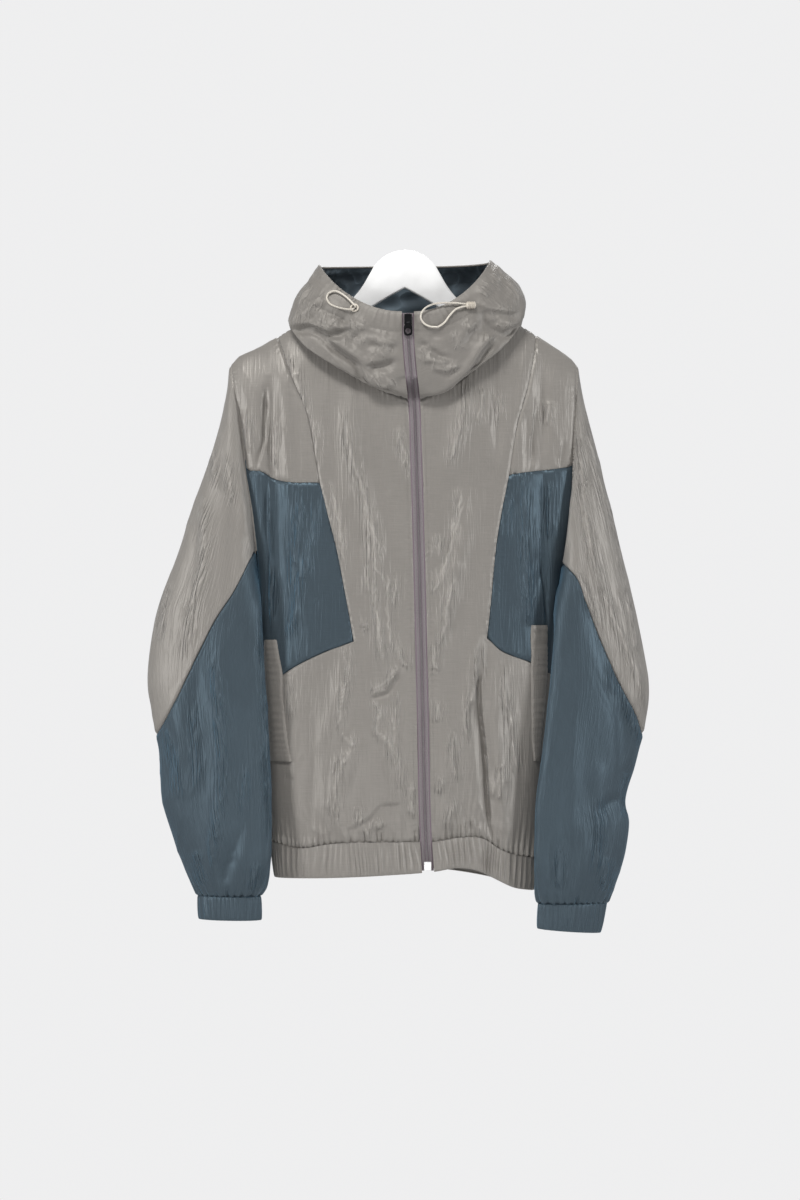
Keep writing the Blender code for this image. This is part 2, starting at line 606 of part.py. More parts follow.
def build_sleeve(left, grey, blue):
    """The grey upper and the blue lower of one sleeve; returns the cuff end's ring."""
    name = "left" if left else "right"
    rings = sleeve_sections(left)
    meet = colour_seam_places(left, rings)
    lengths = column_lengths(rings)
    at = np.minimum(meet.astype(int), len(lengths) - 1)
    column = np.arange(rings.shape[1])
    run = np.array([lengths[:whole, i].sum() + lengths[whole, i] * (place - whole)
                    for i, whole, place in zip(column, at, meet)])
    crossing = through_rings(rings, meet)
    spacing = np.linalg.norm(np.roll(crossing, -1, axis=0) - np.roll(crossing, 1, axis=0),
                             axis=-1)
    slant = np.abs(np.roll(run, -1) - np.roll(run, 1)) / spacing
    slant = slant / np.sqrt(np.clip(1 - slant ** 2, 0.02, 1))
    gap = COLOUR_SEAM_GAP * np.sqrt(1 + slant ** 2) / lengths[at, column]
    shares = np.linspace(0, 1, UPPER_ROWS + 1)[:, None]
    upper_places = shares * np.maximum(meet - gap / 2, 0)[None]
    outer, normal = sleeve_points(left, upper_places, rings)
    step = COLOUR_SEAM_STEP
    normal[:, [step, -step]] = normal[0, [step, -step]]
    keep = slice(step, rings.shape[1] - step + 1)
    outer, inner = outer[:, keep], (outer - normal * WALL)[:, keep]
    wall_object(f"sleeve_upper_{name}", outer, inner, grey)
    start = np.where(meet > 0, meet + gap / 2, 0)
    shares = np.linspace(0, 1, LOWER_ROWS + 1)[:, None]
    lower_places = start[None] + shares * (len(rings) - 1 - start)[None]
    outer, normal = sleeve_points(left, lower_places, rings)
    inner = outer - normal * WALL
    wall_object(f"sleeve_lower_{name}", outer, inner, blue, closed=True)
    return outer[-1]


# ------------------------------------------------------------------ gathered bands
def gathered(top, bottom, normal, splits, wave, rows=2, closed=False):
    """A gathered band below a line of points; every second split line stands out."""
    count = len(top)
    last = count if closed else count - 1
    spots = np.arange(last * splits + (0 if closed else 1)) / splits
    low = spots.astype(int) % count
    high = (low + 1) % count if closed else np.minimum(low + 1, count - 1)
    t = (spots - spots.astype(int))[:, None]

    def between(line):
        return line[low] * (1 - t) + line[high] * t
    start, end, out = between(top), between(bottom), between(normal)
    out /= np.linalg.norm(out, axis=-1, keepdims=True)
    rise = np.where(np.arange(len(spots)) % 2 == 0, -wave, wave)[:, None]
    grid = []
    for share in np.linspace(0, 1, rows + 1):
        swell = 0.35 if share in (0, 1) else 1.0
        grid.append(start * (1 - share) + end * share + out * rise * swell)
    outer = np.array(grid)[::-1]
    return outer, outer - out[None] * WALL


# lower edge of a cuff: inner end's x and z, outer end's x and z
CUFF_LEFT = (-176, -803, -256, -804.5)
CUFF_RIGHT = (162.4, -813.5, 243.5, -821.5)
CUFF_WAVE = 0.8 * MM
HEM_WAVE = 0.9 * MM


def build_cuff(left, end_ring, blue):
    """One gathered cuff below the sleeve's last ring."""
    inner_x, inner_z, outer_x, outer_z = np.array(CUFF_LEFT if left else CUFF_RIGHT) * MM
    centre = end_ring.mean(axis=0)
    across = end_ring[:, 0] - end_ring[:, 0].min()
    x_share = across / across.max()
    low_x, high_x = min(inner_x, outer_x), max(inner_x, outer_x)
    low_z = outer_z if left else inner_z
    high_z = inner_z if left else outer_z
    bottom = np.stack((
        low_x + (high_x - low_x) * x_share,
        centre[1] + (end_ring[:, 1] - centre[1]) * 0.96,
        low_z + (high_z - low_z) * x_share), axis=-1)
    top = end_ring - (0, 0, SEAM)
    normal = end_ring - centre
    normal[:, 2] = 0
    normal[:, 1] *= 2.0
    name = "cuff_left" if left else "cuff_right"
    outer, inner = gathered(top, bottom, normal, 2, CUFF_WAVE, closed=True)
    wall_object(name, outer, inner, blue, closed=True)


HEM_LEAN_SIDE = 4.0             # the band's lower edge draws in at the side seams
HEM_LEAN_ZIP = 2.6              # and follows the zip at its other end


def build_hem(name, places, face, splits, lean, grey):
    """A gathered hem band below one panel's lowest row; lean moves its ends across."""
    x, z = places[:, 0], places[:, 1]
    top = body_point(x, z, face) - (0, 0, SEAM)
    edge = hem_edge[face](x)
    drift = np.interp(x, (x[0], x[-1]) if x[0] < x[-1] else (x[-1], x[0]),
                      lean if x[0] < x[-1] else lean[::-1]) * MM
    bottom = body_point(x, z, face)
    bottom[:, 0] += drift
    bottom[:, 2] = edge
    normal = body_normal(x, z, face)
    normal[:, 2] = 0
    outer, inner = gathered(top, bottom, normal, splits, HEM_WAVE)
    middle = body_middle(z).mean()
    keep = SEAM / 2
    for grid in (outer, inner):
        if face == "front":
            grid[..., 1] = np.minimum(grid[..., 1], middle - keep)
        else:
            grid[..., 1] = np.maximum(grid[..., 1], middle + keep)
    wall_object(name, outer, inner, grey)


# ------------------------------------------------------------------ hood
# a row for each section, from the brim over the outside down to the neck seam: x of its
# right and left end; z in front, right, left and behind; y in front, at the sides and
# behind; and the power by which z falls towards the front
HOOD_RINGS = (
    (107, -107, -59, 11, 5, 8, -150, -80, -48, 1.6),
    (118, -119, -64, 1, -13, -4, -152, -82, -33, 1.6),
    (141, -132, -80, -20, -30, -60, -154, -86, -18, 1.5),
    (150, -139, -108, -42, -46, -140, -155, -90, -10, 1.35),
    (145, -144, -140, -59, -65, -208, -155, -91, -12, 1.25),
    (134, -130, -157, -52.5, -57, -222, -150, -91, -28, 1.5),
    (124, -118, -162, -47, -48, -150, -144, -90.5, -38, 1.8))
HOOD_ROWS = 12
LINING_ROWS = 6                 # counted from the brim
LINING_START = 0.04             # section number where the lining begins
LINING_WALL = 1.0 * MM


def hood_rings():
    """The hood's sections; columns run from the zip round the right, back and left."""
    front = np.linspace(0, math.pi / 2, NECK_COLUMNS + 1)
    back = np.linspace(math.pi / 2, math.pi * 1.5, BACK_NECK_COLUMNS + 1)
    turn = np.concatenate((front, back[1:], front[1:] + math.pi * 1.5))
    ahead = np.clip(np.cos(turn), 0, 1)
    behind = np.clip(-np.cos(turn), 0, 1)
    right_side = turn <= math.pi
    wide = np.abs(np.sin(turn))
    rings = []
    for row in HOOD_RINGS:
        (right_x, left_x, front_z, right_z, left_z, back_z, front_y, side_y, back_y,
         _power) = np.array(row) * MM
        power = row[-1]
        zip_x = zip_middle(front_z)
        edge = np.where(right_side, zip_x + ZIP_HALF * MM, zip_x - ZIP_HALF * MM)
        edge = np.where(behind > 0, (right_x + left_x) / 2, edge)
        side_x = np.where(right_side, right_x, left_x)
        side_z = np.where(right_side, right_z, left_z)
        share = np.where(behind > 0, wide ** 0.8, wide)
        x = edge + (side_x - edge) * share
        z = (side_z + (front_z - side_z) * ahead ** power
             + (back_z - side_z) * behind ** 1.5)
        y = side_y + (front_y - side_y) * ahead ** 0.55 + (back_y - side_y) * behind ** 0.5
        rings.append(np.stack((x, y, z), axis=-1))
    neck_left, neck_right = neck_and_ridge(True)[0], neck_and_ridge(False)[0]
    neck_back = seam(NECK_BACK, BACK_NECK_COLUMNS)[::-1]
    neck = np.concatenate((
        body_point(*neck_right[::-1].T, "front"), body_point(*neck_back[1:-1].T, "back"),
        body_point(*neck_left.T, "front")))
    rings.append(neck + (0, 0, SEAM))
    return np.array(rings)


def hood_points(places):
    """Outer points and outward normals of the hood at section numbers."""
    rings = hood_rings()
    columns = rings.shape[1]

    def at(place):
        return through_rings(rings, np.full(columns, place))
    points = np.array([at(place) for place in places])
    points[:, 0, 0] = zip_middle(points[:, 0, 2]) + ZIP_HALF * MM
    points[:, -1, 0] = zip_middle(points[:, -1, 2]) - ZIP_HALF * MM
    down = np.array([at(place + 0.02) - at(place - 0.02) for place in places])
    across = np.gradient(points, axis=1)
    normal = np.cross(across, down)
    normal[:, [0, -1], 0] = 0
    normal /= np.maximum(np.linalg.norm(normal, axis=-1, keepdims=True), 1e-12)
    half = len(places) // 2
    outwards = (points - points.mean(axis=(0, 1)))[:half]
    if np.sum(normal[:half] * outwards) < 0:
        normal = -normal
    return points, normal


def build_hood(grey, blue):
    """The hood's outer cloth, and the lining that shows inside it."""
    last = len(HOOD_RINGS)
    places = last * np.linspace(0, 1, HOOD_ROWS + 1)
    points, normal = hood_points(places)
    wall_object("hood_shell", points, points - normal * WALL, grey)
    places = places[:LINING_ROWS + 1]
    places[0] = LINING_START
    points, normal = hood_points(places)
    outer = points - normal * (WALL + LAYER)
    wall_object("hood_lining", outer, outer - normal * LINING_WALL, blue)


# ------------------------------------------------------------------ zip
TAPE_WALL = 0.9 * MM
TAPE_EDGES = (0.3, 7.0)         # from the zip's middle line
TAPE_SINK = 0.5
COIL_HALF_WIDTH = 1.3
COIL_HALF_DEPTH = 0.9
ZIP_TOP = -60.5
ZIP_BOTTOM = -742.0
ZIP_ROWS = 26
SLIDER_SIZE = (9.0, 2.8, 13.0)  # across, deep and high
SLIDER_Z = -68.5
LUG_SIZE = (1.2, 2.6, 3.2)
PIVOT_HEIGHT = -72.5            # the pull tab's hinge
BARREL_RADIUS = 1.1
TAB_SIZE = (10.5, 1.2, 14.0)
TAB_TOP_DROP = 2.3              # the tab's wide part begins below the hinge
TAB_HOLE = (3.2, 3.4)           # half width and half height
TAB_HOLE_DROP = 10.6             # the hole's middle below the hinge
BOTTOM_BOX_SIZE = (9.0, 2.6, 11.0)


def zip_depth(z):
    """Depth of the cloth's outer surface beside the zip at some heights."""
    rings = hood_rings()[:, 0]
    hood_z, hood_y = rings[::-1, 2], rings[::-1, 1]
    on_body = body_point(zip_middle(z), z, "front")[..., 1]
    return np.where(z > hood_z[0], np.interp(z, hood_z, hood_y), on_body)


def zip_heights():
    """The heights at which both tapes and the coil have their points."""
    return np.linspace(ZIP_BOTTOM, ZIP_TOP, ZIP_ROWS + 1) * MM


def tape_depth(z):
    """Depth of the tapes' faces, a little behind the cloth, on their own facets."""
    height = zip_heights()
    return np.interp(z, height, zip_depth(height) + TAPE_SINK * MM)


def build_zip(tape, coil, dark, bright):
    """Both tapes, the coil, the top slider with its pull tab, and the bottom box."""
    height = zip_heights()
    middle, depth = zip_middle(height), tape_depth(height)
    for name, side in (("left", -1), ("right", 1)):
        near, far = middle + side * TAPE_EDGES[0] * MM, middle + side * TAPE_EDGES[1] * MM
        outer = np.stack((np.stack((near, depth, height), -1),
                          np.stack((far, depth, height), -1)), axis=1)
        wall_object(f"zip_tape_{name}", outer, outer + (0, TAPE_WALL, 0), tape)
    top_z = (SLIDER_Z - SLIDER_SIZE[2] / 2) * MM - SEAM
    low_z = (ZIP_BOTTOM + BOTTOM_BOX_SIZE[2]) * MM + SEAM
    height = height[(height > low_z) & (height < top_z)]
    height = np.concatenate(((low_z,), height, (top_z,)))
    middle = np.interp(height, zip_heights(), zip_middle(zip_heights()))
    depth = tape_depth(height) - SEAM
    loops = []
    for turn in np.linspace(0, 2 * math.pi, 6, endpoint=False):
        loops.append(np.stack((
            middle + COIL_HALF_WIDTH * MM * math.cos(turn),
            depth - COIL_HALF_DEPTH * MM * (1 + math.sin(turn)), height), axis=-1))
    solid_tube("zip_coil", np.array(loops).transpose(1, 0, 2), coil)
    build_slider(dark)
    x, z = float(zip_middle(ZIP_BOTTOM * MM)), (ZIP_BOTTOM + BOTTOM_BOX_SIZE[2] / 2) * MM
    reach = np.linspace(ZIP_BOTTOM, ZIP_BOTTOM + BOTTOM_BOX_SIZE[2], 5) * MM
    y = tape_depth(reach).min() - SEAM - BOTTOM_BOX_SIZE[1] / 2 * MM
    block("zip_bottom_box", (x, y, z), BOTTOM_BOX_SIZE, bright)


def solid_tube(name, rings, finish):
    """A closed solid through rings of the same count, with flat ends."""
    rows, columns = rings.shape[:2]
    faces = []
    for row in range(rows - 1):
        for column in range(columns):
            a = row * columns + column
            b = row * columns + (column + 1) % columns
            faces.append((a, b, b + columns, a + columns))
    faces.append(tuple(range(columns))[::-1])
    faces.append(tuple((rows - 1) * columns + column for column in range(columns)))
    return add_object(name, rings.reshape(-1, 3), faces, finish)


def block(name, centre, size, finish, bevel=0.5):
    """A box with softened edges."""
    half = np.array(size) * MM / 2
    corners = [(x, y, z) for z in (-1, 1) for y in (-1, 1) for x in (-1, 1)]
    points = np.array(corners) * half + np.array(centre)
    faces = [(0, 2, 3, 1), (4, 5, 7, 6), (0, 1, 5, 4), (2, 6, 7, 3), (0, 4, 6, 2), (1, 3, 7, 5)]
    made = add_object(name, points, faces, finish)
    if bevel:
        edge = made.modifiers.new("soft edges", "BEVEL")
        edge.width = bevel * MM
        edge.segments = 1
    return made


def slider_place():
    """Place across and face depth of the slider, and depth of the tab's hinge."""
    x = float(zip_middle(SLIDER_Z * MM))
    reach = (SLIDER_Z + np.linspace(-0.5, 0.5, 5) * SLIDER_SIZE[2]) * MM
    back = tape_depth(reach).min() - SEAM
    face = back - SLIDER_SIZE[1] * MM
    return x, back, face, face - 1.7 * MM


def build_slider(dark):
    """The slider's body with its two lugs, and the pull tab that hinges between them."""
    x, back, face, pivot_y = slider_place()
    body = block("zip_slider", (x, (back + face) / 2, SLIDER_Z * MM), SLIDER_SIZE, dark)
    for side in (-1, 1):
        lug = block(f"lug_cutter_{side}", (x + side * 2.9 * MM, face - 0.9 * MM,
                                           PIVOT_HEIGHT * MM), LUG_SIZE, dark, bevel=0)
        lug.hide_render = True
        lug.display_type = "WIRE"
        union = body.modifiers.new("lug", "BOOLEAN")
        union.operation = "UNION"
        union.object = lug
    width, thick, long = np.array(TAB_SIZE) * MM
    turn = np.linspace(0, 2 * math.pi, 24, endpoint=False)
    hole_z = (PIVOT_HEIGHT - TAB_HOLE_DROP) * MM
    hole = np.stack((x + TAB_HOLE[0] * MM * np.sin(turn),
                     hole_z + TAB_HOLE[1] * MM * np.cos(turn)), axis=-1)
    soft = np.sign(np.sin(turn)) * np.abs(np.sin(turn)) ** 0.6
    tall = np.sign(np.cos(turn)) * np.abs(np.cos(turn)) ** 0.6
    centre_z = (PIVOT_HEIGHT - TAB_TOP_DROP) * MM - long / 2
    rim = np.stack((x + width / 2 * soft, centre_z + long / 2 * tall), axis=-1)
    points = [(px, pivot_y + side * thick / 2, pz) for side in (-1, 1)
              for loop in (rim, hole) for px, pz in loop]
    count = len(turn)
    faces = []
    for i in range(count):
        j = (i + 1) % count
        faces += [(i, j, count + j, count + i),
                  (2 * count + j, 2 * count + i, 3 * count + i, 3 * count + j),
                  (j, i, 2 * count + i, 2 * count + j),
                  (count + i, count + j, 3 * count + j, 3 * count + i)]
    tab = add_object("zip_pull_tab", points, faces, dark, origin=(x, pivot_y, PIVOT_HEIGHT * MM))
    angle = np.linspace(0, 2 * math.pi, 12, endpoint=False)
    reach = BARREL_RADIUS * MM
    rings = np.array([[(x + end * 2.0 * MM, pivot_y + reach * math.cos(a),
                        PIVOT_HEIGHT * MM + reach * math.sin(a)) for a in angle]
                      for end in (-1, 1)])
    barrel = solid_tube("barrel_cutter", rings, dark)
    barrel.hide_render = True
    barrel.display_type = "WIRE"
    neck = block("tab_neck_cutter", (x, pivot_y, (PIVOT_HEIGHT - 2.0) * MM),
                 (3.6, 1.1, 3.6), dark, bevel=0)
    neck.hide_render = True
    neck.display_type = "WIRE"
    for piece in (neck, barrel):
        union = tab.modifiers.new("joined", "BOOLEAN")
        union.operation = "UNION"
        union.object = piece


# ------------------------------------------------------------------ sewn on
# pocket welts: outline rows from the lower end up, rear edge and front edge
WELT_ROWS_LEFT = (
    (-609, -168, -140), (-580, -169.5, -145), (-530, -173, -150), (-508, -174, -151.3),
    (-459.5, -176, -158.7))
WELT_ROWS_RIGHT = (
    (-609, 168, 160), (-580, 170, 157.4), (-540, 174.5, 156.5), (-488, 177, 156),
    (-441.5, 177, 156))
WELT_ROWS = 6
WELT_COLUMNS = 3


def build_welt(left, grey):
    """A pocket welt, lying on the front panel and the blue panel beside the side seam."""
    rows = WELT_ROWS_LEFT if left else WELT_ROWS_RIGHT
    height = np.linspace(rows[0][0], rows[-1][0], WELT_ROWS + 1) * MM
    rear, front = table_curve(rows, 1)(height), table_curve(rows, 2)(height)
    share = np.linspace(0, 1, WELT_COLUMNS + 1)[None]
    x = rear[:, None] * (1 - share) + front[:, None] * share
    places = np.stack((x, np.broadcast_to(height[:, None], x.shape)), axis=-1)
    outer, inner = cloth_on_body(places, "front", lift=LAYER + 0.9 * MM)
    wall_object(f"pocket_welt_{'left' if left else 'right'}", outer, inner, grey)


EYELET_LEFT = (-61.5, -54.0)
STOPPER_RIGHT = (80.0, -51.7)
EYELET_SIZES = (4.4, 2.7, 1.0)  # outer radius, hole radius and thickness
STOPPER_SIZES = (3.6, 9.0)      # radius and length
CORD_RADIUS = 1.1
CORD_STEP = 5.0                 # between the points of a cord's tube
# the two cord loops, each from the hood round and back to it: x, y and z
CORD_LEFT = (
    (-60.6, -148.2, -52.6), (-60.8, -151.5, -51.6), (-64, -149.9, -48.2),
    (-70, -146.2, -42), (-77.5, -142, -35.9), (-86, -138.7, -32.4), (-93, -137.9, -34.8),
    (-95.6, -138.6, -40.5), (-92, -142.5, -48), (-82.4, -145.6, -52.9),
    (-72, -148.8, -55.4), (-66, -151, -56), (-62.6, -151.6, -55.2),
    (-62.3, -148.2, -54.6))
CORD_RIGHT = (
    (75.8, -149.5, -52), (70, -150.4, -53), (62, -151.2, -56), (55.4, -152.8, -62.7),
    (46.7, -154.9, -73.8), (38.5, -156.2, -78), (30.8, -156.2, -77.5), (22.5, -155.9, -73),
    (19.2, -155.3, -66), (20.5, -154.6, -60), (26, -154, -54), (33, -153, -50.5),
    (42, -152, -48.6), (55, -150.6, -48.2), (66, -149.8, -48.6), (71, -149.5, -49.2),
    (75.8, -149.5, -49.4))


def build_cord(name, route, finish):
    """A round cord as a tube along a smooth curve through its route."""
    route = np.array(route)
    run = np.concatenate(((0,), np.cumsum(np.linalg.norm(np.diff(route, axis=0), axis=1))))
    pieces = round(run[-1] / CORD_STEP)
    at = np.linspace(0, run[-1], pieces + 1) * MM
    smooth = [table_curve(np.column_stack((run, route[:, axis])))(at) for axis in range(3)]
    curve = bpy.data.curves.new(name, "CURVE")
    curve.dimensions = "3D"
    curve.bevel_depth = CORD_RADIUS * MM
    curve.bevel_resolution = 2
    curve.use_fill_caps = True
    spline = curve.splines.new("POLY")
    spline.points.add(pieces)
    for point, place in zip(spline.points, np.column_stack(smooth)):
        point.co = (*place, 1)
    curve.materials.append(finish)
    cord = bpy.data.objects.new(name, curve)
    cord.location.z = -TABLE_DROP
    bpy.context.scene.collection.objects.link(cord)


def hood_spot(place):
    """The point and normal of the hood's outside at one place seen from the front."""
    bpy.context.view_layer.update()
    start = (place[0] * MM, -1.0, place[1] * MM)
    _hit, spot, normal, _face = bpy.data.objects["hood_shell"].ray_cast(start, (0, 1, 0))
    return np.array(spot), np.array(normal)


def turned_frame(normal):
    """Two directions across a normal."""
    side = np.cross((0, 0, 1), normal)
    side /= np.linalg.norm(side)
    return side, np.cross(normal, side)


def build_eyelet(name, place, finish):
    """A ring set into the hood's brim where a cord comes out."""
    spot, normal = hood_spot(place)
    side, up = turned_frame(normal)
    turn = np.linspace(0, 2 * math.pi, 16, endpoint=False)
    outer_radius, hole_radius, thick = np.array(EYELET_SIZES) * MM
    points = []
    for lift in (LAYER, LAYER + thick):
        for radius in (outer_radius, hole_radius):
            points += [spot + normal * lift + radius * (side * math.cos(a) + up * math.sin(a))
                       for a in turn]
    count = len(turn)
    faces = []
    for i in range(count):
        j = (i + 1) % count
        faces += [(i, count + i, count + j, j),
                  (2 * count + i, 2 * count + j, 3 * count + j, 3 * count + i),
                  (i, j, 2 * count + j, 2 * count + i),
                  (count + j, count + i, 3 * count + i, 3 * count + j)]
    return add_object(name, points, faces, finish)


def build_stopper(name, place, finish):
    """A round cord stopper lying on the brim."""
    spot, normal = hood_spot(place)
    side, up = turned_frame(normal)
    radius, long = np.array(STOPPER_SIZES) * MM
    centre = spot + normal * (radius + LAYER)
    turn = np.linspace(0, 2 * math.pi, 12, endpoint=False)
    rings = []
    for step, swell in ((-0.5, 0.75), (-0.36, 1), (0.36, 1), (0.5, 0.75)):
        rings.append([centre + side * step * long
                      + swell * radius * (up * math.cos(a) + normal * math.sin(a))
                      for a in turn])
    return solid_tube(name, np.array(rings), finish)


# ------------------------------------------------------------------ hanger
HANGER_THICK = 10.0
HANGER_MIDDLE = -90.0
# half of the outline, from the dome's top out to the arm's end and back to the notch
HANGER_HALF = (
    (0, 23.4), (10, 22.4), (19, 19.3), (28, 14), (36, 6.5), (43, -5), (53, -22),
    (66, -37.5), (84, -48), (107, -60.5), (150, -85), (180, -102.5), (189, -109), (193, -118),
    (189, -127), (180, -128.5), (150, -112), (107, -86.5), (60, -59.5), (20, -34.5), (0, -23.4))
PEG_RADIUS = 4.6
PEG_SIDES = 16


def build_hanger(white, metal):
    """The flat hanger and the wall peg that its head is fixed to."""
    half = np.array(HANGER_HALF) * MM
    outline = np.concatenate((half, half[-2:0:-1] * (-1, 1)))
    count = len(outline)
    points = []
    for side in (-1, 1):
        y = (HANGER_MIDDLE + side * HANGER_THICK / 2) * MM
        points += [(x, y, z) for x, z in outline]
    faces = [tuple(range(count)), tuple(range(2 * count - 1, count - 1, -1))]
    faces += [(i, (i + 1) % count, count + (i + 1) % count, count + i) for i in range(count)]
    hanger = add_object("hanger", points, faces, white)
    edge = hanger.modifiers.new("soft edges", "BEVEL")
    edge.width = 1.8 * MM
    edge.segments = 2
    edge.limit_method = "ANGLE"
    edge.angle_limit = math.radians(60)
    end = (HANGER_MIDDLE + HANGER_THICK / 2) * MM + SEAM
    turn = np.linspace(0, 2 * math.pi, PEG_SIDES, endpoint=False)
    rings = [[(PEG_RADIUS * MM * math.cos(a), y, TABLE_DROP + PEG_RADIUS * MM * math.sin(a))
              for a in turn] for y in (end, 0.0)]
    solid_tube("wall_peg", np.array(rings), metal)


# ------------------------------------------------------------------ all of it
def main():
    """Build the jacket, its hanger and the peg."""
    for item in list(bpy.data.objects):
        bpy.data.objects.remove(item)
    grey = material("grey shell", (0.29, 0.27, 0.25), 0.5)
    blue = material("slate shell", (0.07, 0.10, 0.13), 0.5)
    tape = material("zip tape", (0.30, 0.25, 0.29), 0.8)
    coil = material("zip coil", (0.26, 0.20, 0.25), 0.5)
    dark = material("slider metal", (0.03, 0.03, 0.03), 0.35, 0.9)
    bright = material("bottom box", (0.75, 0.75, 0.75), 0.3, 0.4)
    cream = material("cord", (0.75, 0.70, 0.62), 0.8)
    white = material("hanger white", (0.85, 0.85, 0.85), 0.35)
    metal = material("peg metal", (0.6, 0.6, 0.6), 0.3, 1.0)
    for left in (True, False):
        name = "left" if left else "right"
        wall_object(f"yoke_{name}", *cloth_on_body(yoke_places(left), "front"), grey)
        wall_object(f"side_panel_{name}", *cloth_on_body(blue_places(left), "front"), blue)
        front = front_places(left)
        wall_object(f"front_{name}", *cloth_on_body(front, "front"), grey)
        side_lean = HEM_LEAN_SIDE if left else -HEM_LEAN_SIDE
        build_hem(f"hem_band_{name}", front[0], "front", 4, (side_lean, HEM_LEAN_ZIP), grey)
        build_cuff(left, build_sleeve(left, grey, blue), blue)
        build_welt(left, grey)
    back = back_places()
    wall_object("back", *cloth_on_body(back, "back"), grey)
    build_hem("hem_band_back", back[0], "back", 3, (-HEM_LEAN_SIDE, HEM_LEAN_SIDE), grey)
    build_hood(grey, blue)
    build_zip(tape, coil, dark, bright)
    build_eyelet("eyelet_left", EYELET_LEFT, cream)
    build_stopper("cord_stopper_right", STOPPER_RIGHT, cream)
    build_cord("hood_cord_left", CORD_LEFT, cream)
    build_cord("hood_cord_right", CORD_RIGHT, cream)
    build_hanger(white, metal)


main()
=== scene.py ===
"""Finish for a hooded windbreaker hanging on a flat hanger.

Metres, +Z up, the front faces -Y.  The tables are in millimetres, with their zero height
a little below the origin, which is the middle of the wall peg's back face.
"""
import math

import bmesh
import bpy
import numpy as np
from bpy.props import FloatProperty, FloatVectorProperty, PointerProperty
from bpy.types import Operator, Panel, PropertyGroup
from mathutils import Matrix, Vector


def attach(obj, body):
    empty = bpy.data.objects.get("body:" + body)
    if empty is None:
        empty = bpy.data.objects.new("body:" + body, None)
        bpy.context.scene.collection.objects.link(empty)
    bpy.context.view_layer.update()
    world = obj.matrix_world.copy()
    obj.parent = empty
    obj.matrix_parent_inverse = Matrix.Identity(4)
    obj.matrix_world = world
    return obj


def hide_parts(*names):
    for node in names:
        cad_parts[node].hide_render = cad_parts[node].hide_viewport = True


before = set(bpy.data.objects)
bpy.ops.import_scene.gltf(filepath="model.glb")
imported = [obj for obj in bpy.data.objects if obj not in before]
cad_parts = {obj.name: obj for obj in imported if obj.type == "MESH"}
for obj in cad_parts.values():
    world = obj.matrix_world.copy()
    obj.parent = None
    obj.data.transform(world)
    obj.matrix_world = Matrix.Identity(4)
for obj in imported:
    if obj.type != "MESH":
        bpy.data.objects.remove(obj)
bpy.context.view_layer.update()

bl_info = {
    "name": "Windbreaker on a hanger",
    "version": (1, 0, 0),
    "blender": (4, 5, 0),
    "location": "View3D > Sidebar > Windbreaker",
    "description": "Sewn cloth, zip, cords and hanger of a hooded windbreaker",
    "category": "Object",
}

BODY = "jacket"
THIN = 0.0006                   # cloth as it is shown
MM = 0.001
WALL = 1.3 * MM                 # cloth of the plain model
SEAM = 0.3 * MM                 # gap between two sewn pieces
LAYER = 0.4 * MM                # gap between two layers of cloth
TABLE_DROP = 16.5 * MM          # the tables' zero height lies this far below the origin
# ------------------------------------------------------------------ body sizes
# height, left end and right end of the oval that the body form follows
BODY_SIDES = (
    (-20, -246, 244), (-119, -246, 244), (-200, -234, 238), (-290, -211, 224),
    (-345, -191, 206), (-374, -182.7, 195.6), (-411, -181, 191), (-460, -180.8, 187),
    (-537, -177, 181), (-637, -171, 172), (-710, -166, 167), (-770, -158, 161))
# height, middle plane and half depth of the body
BODY_DEPTH = (
    (-20, -90, 24), (-90, -90, 34), (-150, -91, 43), (-220, -92, 50), (-374, -90, 57),
    (-560, -88, 57), (-710, -86, 52), (-775, -85, 47))
SHOULDER_ROUND = 62.0           # height over which the shoulder rounds to its ridge
# shoulder ridge: place across and height
SHOULDER = (
    (-217, -120), (-205, -107.5), (-182, -97), (-157.4, -83.6), (-107, -54), (-50, -30),
    (50, -30), (117, -53), (162, -81.6), (200, -106), (214, -119))
# armholes: height and place across
ARMHOLE_LEFT = (
    (-120, -217), (-194, -202), (-250, -196), (-299, -189), (-350, -184), (-374, -182.7))
ARMHOLE_RIGHT = (
    (-119, 214), (-202, 209), (-247, 208), (-317, 205), (-358, 200), (-374, 195.6))
UNDERARM = -374.0

# seam outlines on the front: place across and height
YOKE_SEAM_LEFT = ((-104.5, -267), (-109.5, -236), (-119.3, -184.5), (-139, -136.5),
                  (-157.4, -83.6))
YOKE_SEAM_RIGHT = ((128, -257), (130.4, -240), (139, -192), (151, -150), (161, -97), (162, -81.6))
BLUE_INNER_LEFT = ((-62.7, -461), (-73.8, -401), (-84.9, -344), (-94.7, -306), (-104.5, -267))
BLUE_INNER_RIGHT = ((101, -457.6), (107, -401), (113, -338), (119.3, -300), (128, -257))
BLUE_BOTTOM_LEFT = ((-178, -525), (-142.7, -497), (-99.6, -475), (-62.7, -461))
BLUE_BOTTOM_RIGHT = ((182.5, -503), (156, -488), (115.6, -471), (101, -457.6))
BLUE_TOP_LEFT = ((-196, -251), (-176, -253), (-160, -262), (-104.5, -267))
BLUE_TOP_RIGHT = ((208, -246), (181, -250), (152.5, -253), (128, -257))
HEM_SEAM_FRONT = (
    (-166, -709), (-128, -716), (-100, -711), (-7, -707), (39, -706), (73, -701),
    (98, -704), (116, -716), (166, -731))
HEM_EDGE_FRONT = (
    (-160, -753), (-100, -751), (-27, -747), (36, -742), (64, -738), (87, -741),
    (116, -754), (135, -763), (163, -769))
HEM_SEAM_BACK = ((-166, -709), (-80, -705), (20, -703), (100, -714), (166, -731))
HEM_EDGE_BACK = ((-160, -753), (-80, -749), (20, -747), (100, -755), (163, -769))
